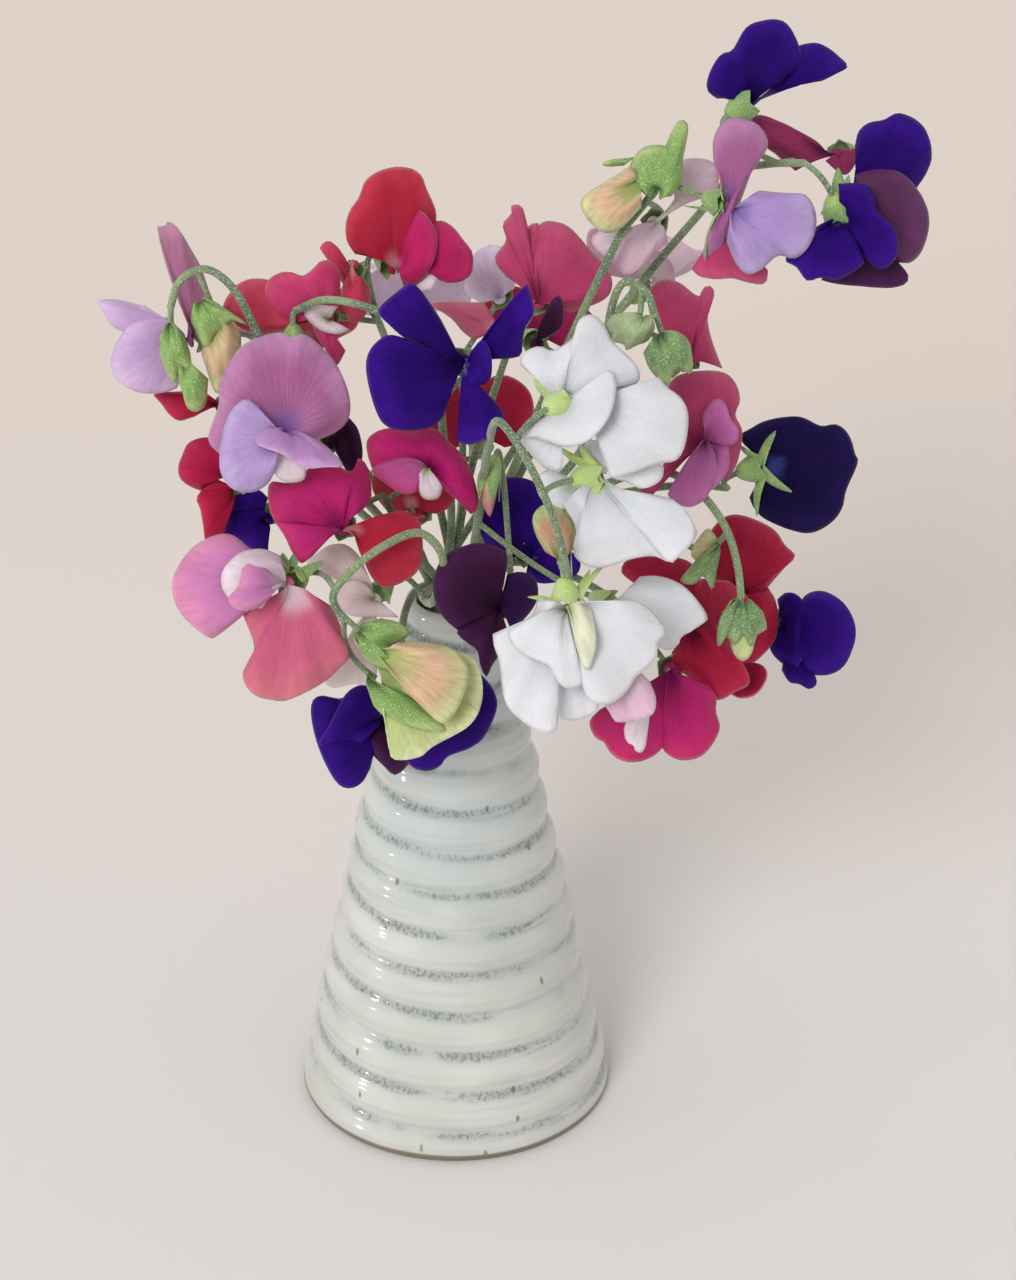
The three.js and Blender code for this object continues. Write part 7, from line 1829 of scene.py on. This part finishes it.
    def glaze(self) -> Material:
        """Glossy off-white glaze, blue-grey and speckled in the grooves, over brown clay at the foot."""
        def recipe(tree: Tree) -> dict:
            """Cream, then the wash in the grooves, its flecks, the brown specks and the bare clay."""
            solid = tree.solid()
            height = tree.parts(solid)("Z")
            drawn_out = tree.stretched(solid, 0.45)
            cloud = tree.noise(solid, 28, 3)
            bands = tree.noise(tree.stretched(solid, 9), 22, 4, 0.6)
            flecks = tree.noise(drawn_out, 1000, 3, 0.7)
            # Towards the neck the cream turns cooler blue-grey, its own tint, painted lighter as well to
            # stand in for light on the neck under the flowers.
            cream = tree.mix(tree.ramp(height, 0.03, 0.15), shade("#bfc1ba"), shade("#b8c3c4"))
            cream = tree.mix(tree.ramp(cloud, 0.35, 0.7), cream, shade("#cdcec8"))
            groove = tree.outputs("ShaderNodeAttribute", attribute_name="groove")("Fac")
            wash = groove * tree.ramp(tree.noise(solid, 34), 0.3, 0.54) * tree.ramp(bands, 0.3, 0.55)
            wash = tree.math("MAXIMUM", wash, tree.ramp(bands, 0.5, 0.72) * 0.3)
            colour = tree.mix(wash * 0.75, cream, shade("#8c9593"))
            dark = tree.ramp(flecks, 0.46, 0.62) * tree.ramp(wash, 0.2, 0.75)
            colour = tree.mix(dark * 0.6, colour, shade("#55625f"))
            specks = tree.outputs("ShaderNodeTexVoronoi", {"Scale": 150, "Vector": drawn_out})
            pick = tree.outputs("ShaderNodeSeparateColor", {0: specks("Color")})(0)
            dots = (1 - tree.ramp(specks("Distance"), 0.06, 0.13)) * tree.ramp(pick, 0.35, 0.4)
            colour = tree.mix(dots * 0.75, colour, shade("#66583a"))
            clay = 1 - tree.ramp(height + cloud * 0.001, 0.0026, 0.0036)
            return {"Base Color": tree.mix(clay, colour, shade("#756c5c")), "Roughness": clay * 0.6 + 0.12,
                    "Coat Weight": 0.5, "Coat Roughness": 0.04,
                    "Normal": tree.relief(cloud + dark * 0.1, 0.25, 0.6)}

        return self.finish("speckled_glaze", recipe)

    def backdrop(self) -> Material:
        """A plain pale ground, cooler in front and warmer behind."""
        def recipe(tree: Tree) -> dict:
            """One tint that turns to the other away from the camera."""
            away = tree.ramp(tree.parts(tree.solid())("Y"), -0.15, 0.6)
            return {"Base Color": tree.mix(away, shade("#e3dfdd"), shade("#e2d6cd")), "Roughness": 0.8}

        return self.finish("pale_ground", recipe)


class Light(Enum):
    """The lights of the studio: the broad one far off, and the small one that glints on the glaze."""

    BROAD = "SUN"
    GLINT = "AREA"


@dataclass(frozen=True)
class Lamp:
    """A soft light aimed at the middle of the bouquet."""

    light: Light
    place: Triple
    power: float
    spread: float

    def build(self) -> None:
        """Hangs the light and aims it."""
        data = bpy.data.lights.new(self.light.name.lower(), self.light.value)
        data.energy = self.power
        obj = in_scene(data.name, data)
        if self.light is Light.BROAD:
            data.angle = math.radians(self.spread)
            obj.visible_glossy = False
        else:
            data.size = self.spread
        obj.location = self.place
        aim = Vector((0, 0, 0.18)) - obj.location
        obj.rotation_euler = aim.to_track_quat("-Z", "Y").to_euler()


@dataclass(frozen=True)
class Studio:
    """The pale ground, the soft lights and the camera."""

    lens: float = 105.1
    ground: float = 12
    air: float = 0.68
    lamps: tuple[Lamp, ...] = (Lamp(Light.BROAD, (-0.45, -1.1, 0.92), 1.7, 24),
                               Lamp(Light.GLINT, (-1.1, -0.42, 0.15), 1.2, 0.06))

    def build(self, paints: PaintBox) -> None:
        """Lays the ground, hangs the lights and sets up the camera.

        Args:
            paints: where the ground's finish comes from.
        """
        bpy.ops.object.select_all(action="DESELECT")
        bpy.ops.mesh.primitive_plane_add(size=self.ground, location=(0, 0, 0))
        ground = bpy.context.active_object
        ground.name = "pale_ground"
        ground.data.materials.append(paints.backdrop())
        for lamp in self.lamps:
            lamp.build()
        world = bpy.data.worlds.new("studio_air")
        world.use_nodes = True
        air = next(node for node in world.node_tree.nodes if node.type == "BACKGROUND")
        air.inputs["Color"].default_value = (1, 0.985, 0.97, 1)
        air.inputs["Strength"].default_value = self.air
        data = bpy.data.cameras.new("eye")
        data.lens = self.lens
        camera = in_scene("eye", data)
        camera.location = EYE * MM
        camera.rotation_euler = (math.pi / 2 - LOOK_DOWN, 0, 0)
        scene = bpy.context.scene
        scene.world = world
        scene.camera = camera
        scene.view_settings.view_transform = "Standard"


def main() -> None:
    """Builds the studio, the vase and the bouquet in that order, and logs the names of the pieces."""
    logging.basicConfig(level=logging.INFO, format="%(message)s")
    paints = PaintBox()
    Studio().build(paints)
    LOG.info("vase: %s", ", ".join(Vase().build(paints)))
    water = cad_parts["water"]
    water.data.materials.clear()
    water.data.materials.append(paints.water())
    blooms = {bloom.name: bloom for bloom in BLOOMS}
    for bloom in BLOOMS:
        LOG.info("bloom: %s", ", ".join(bloom.build(paints)))
    for name in dict.fromkeys(stem.bunch for stem in STEMS):
        bunch = Bunch(name, [stem for stem in STEMS if stem.bunch == name], blooms)
        LOG.info("bunch: %s", ", ".join(bunch.build(paints)))
    Stock.discard()


if __name__ == "__main__":
    main()
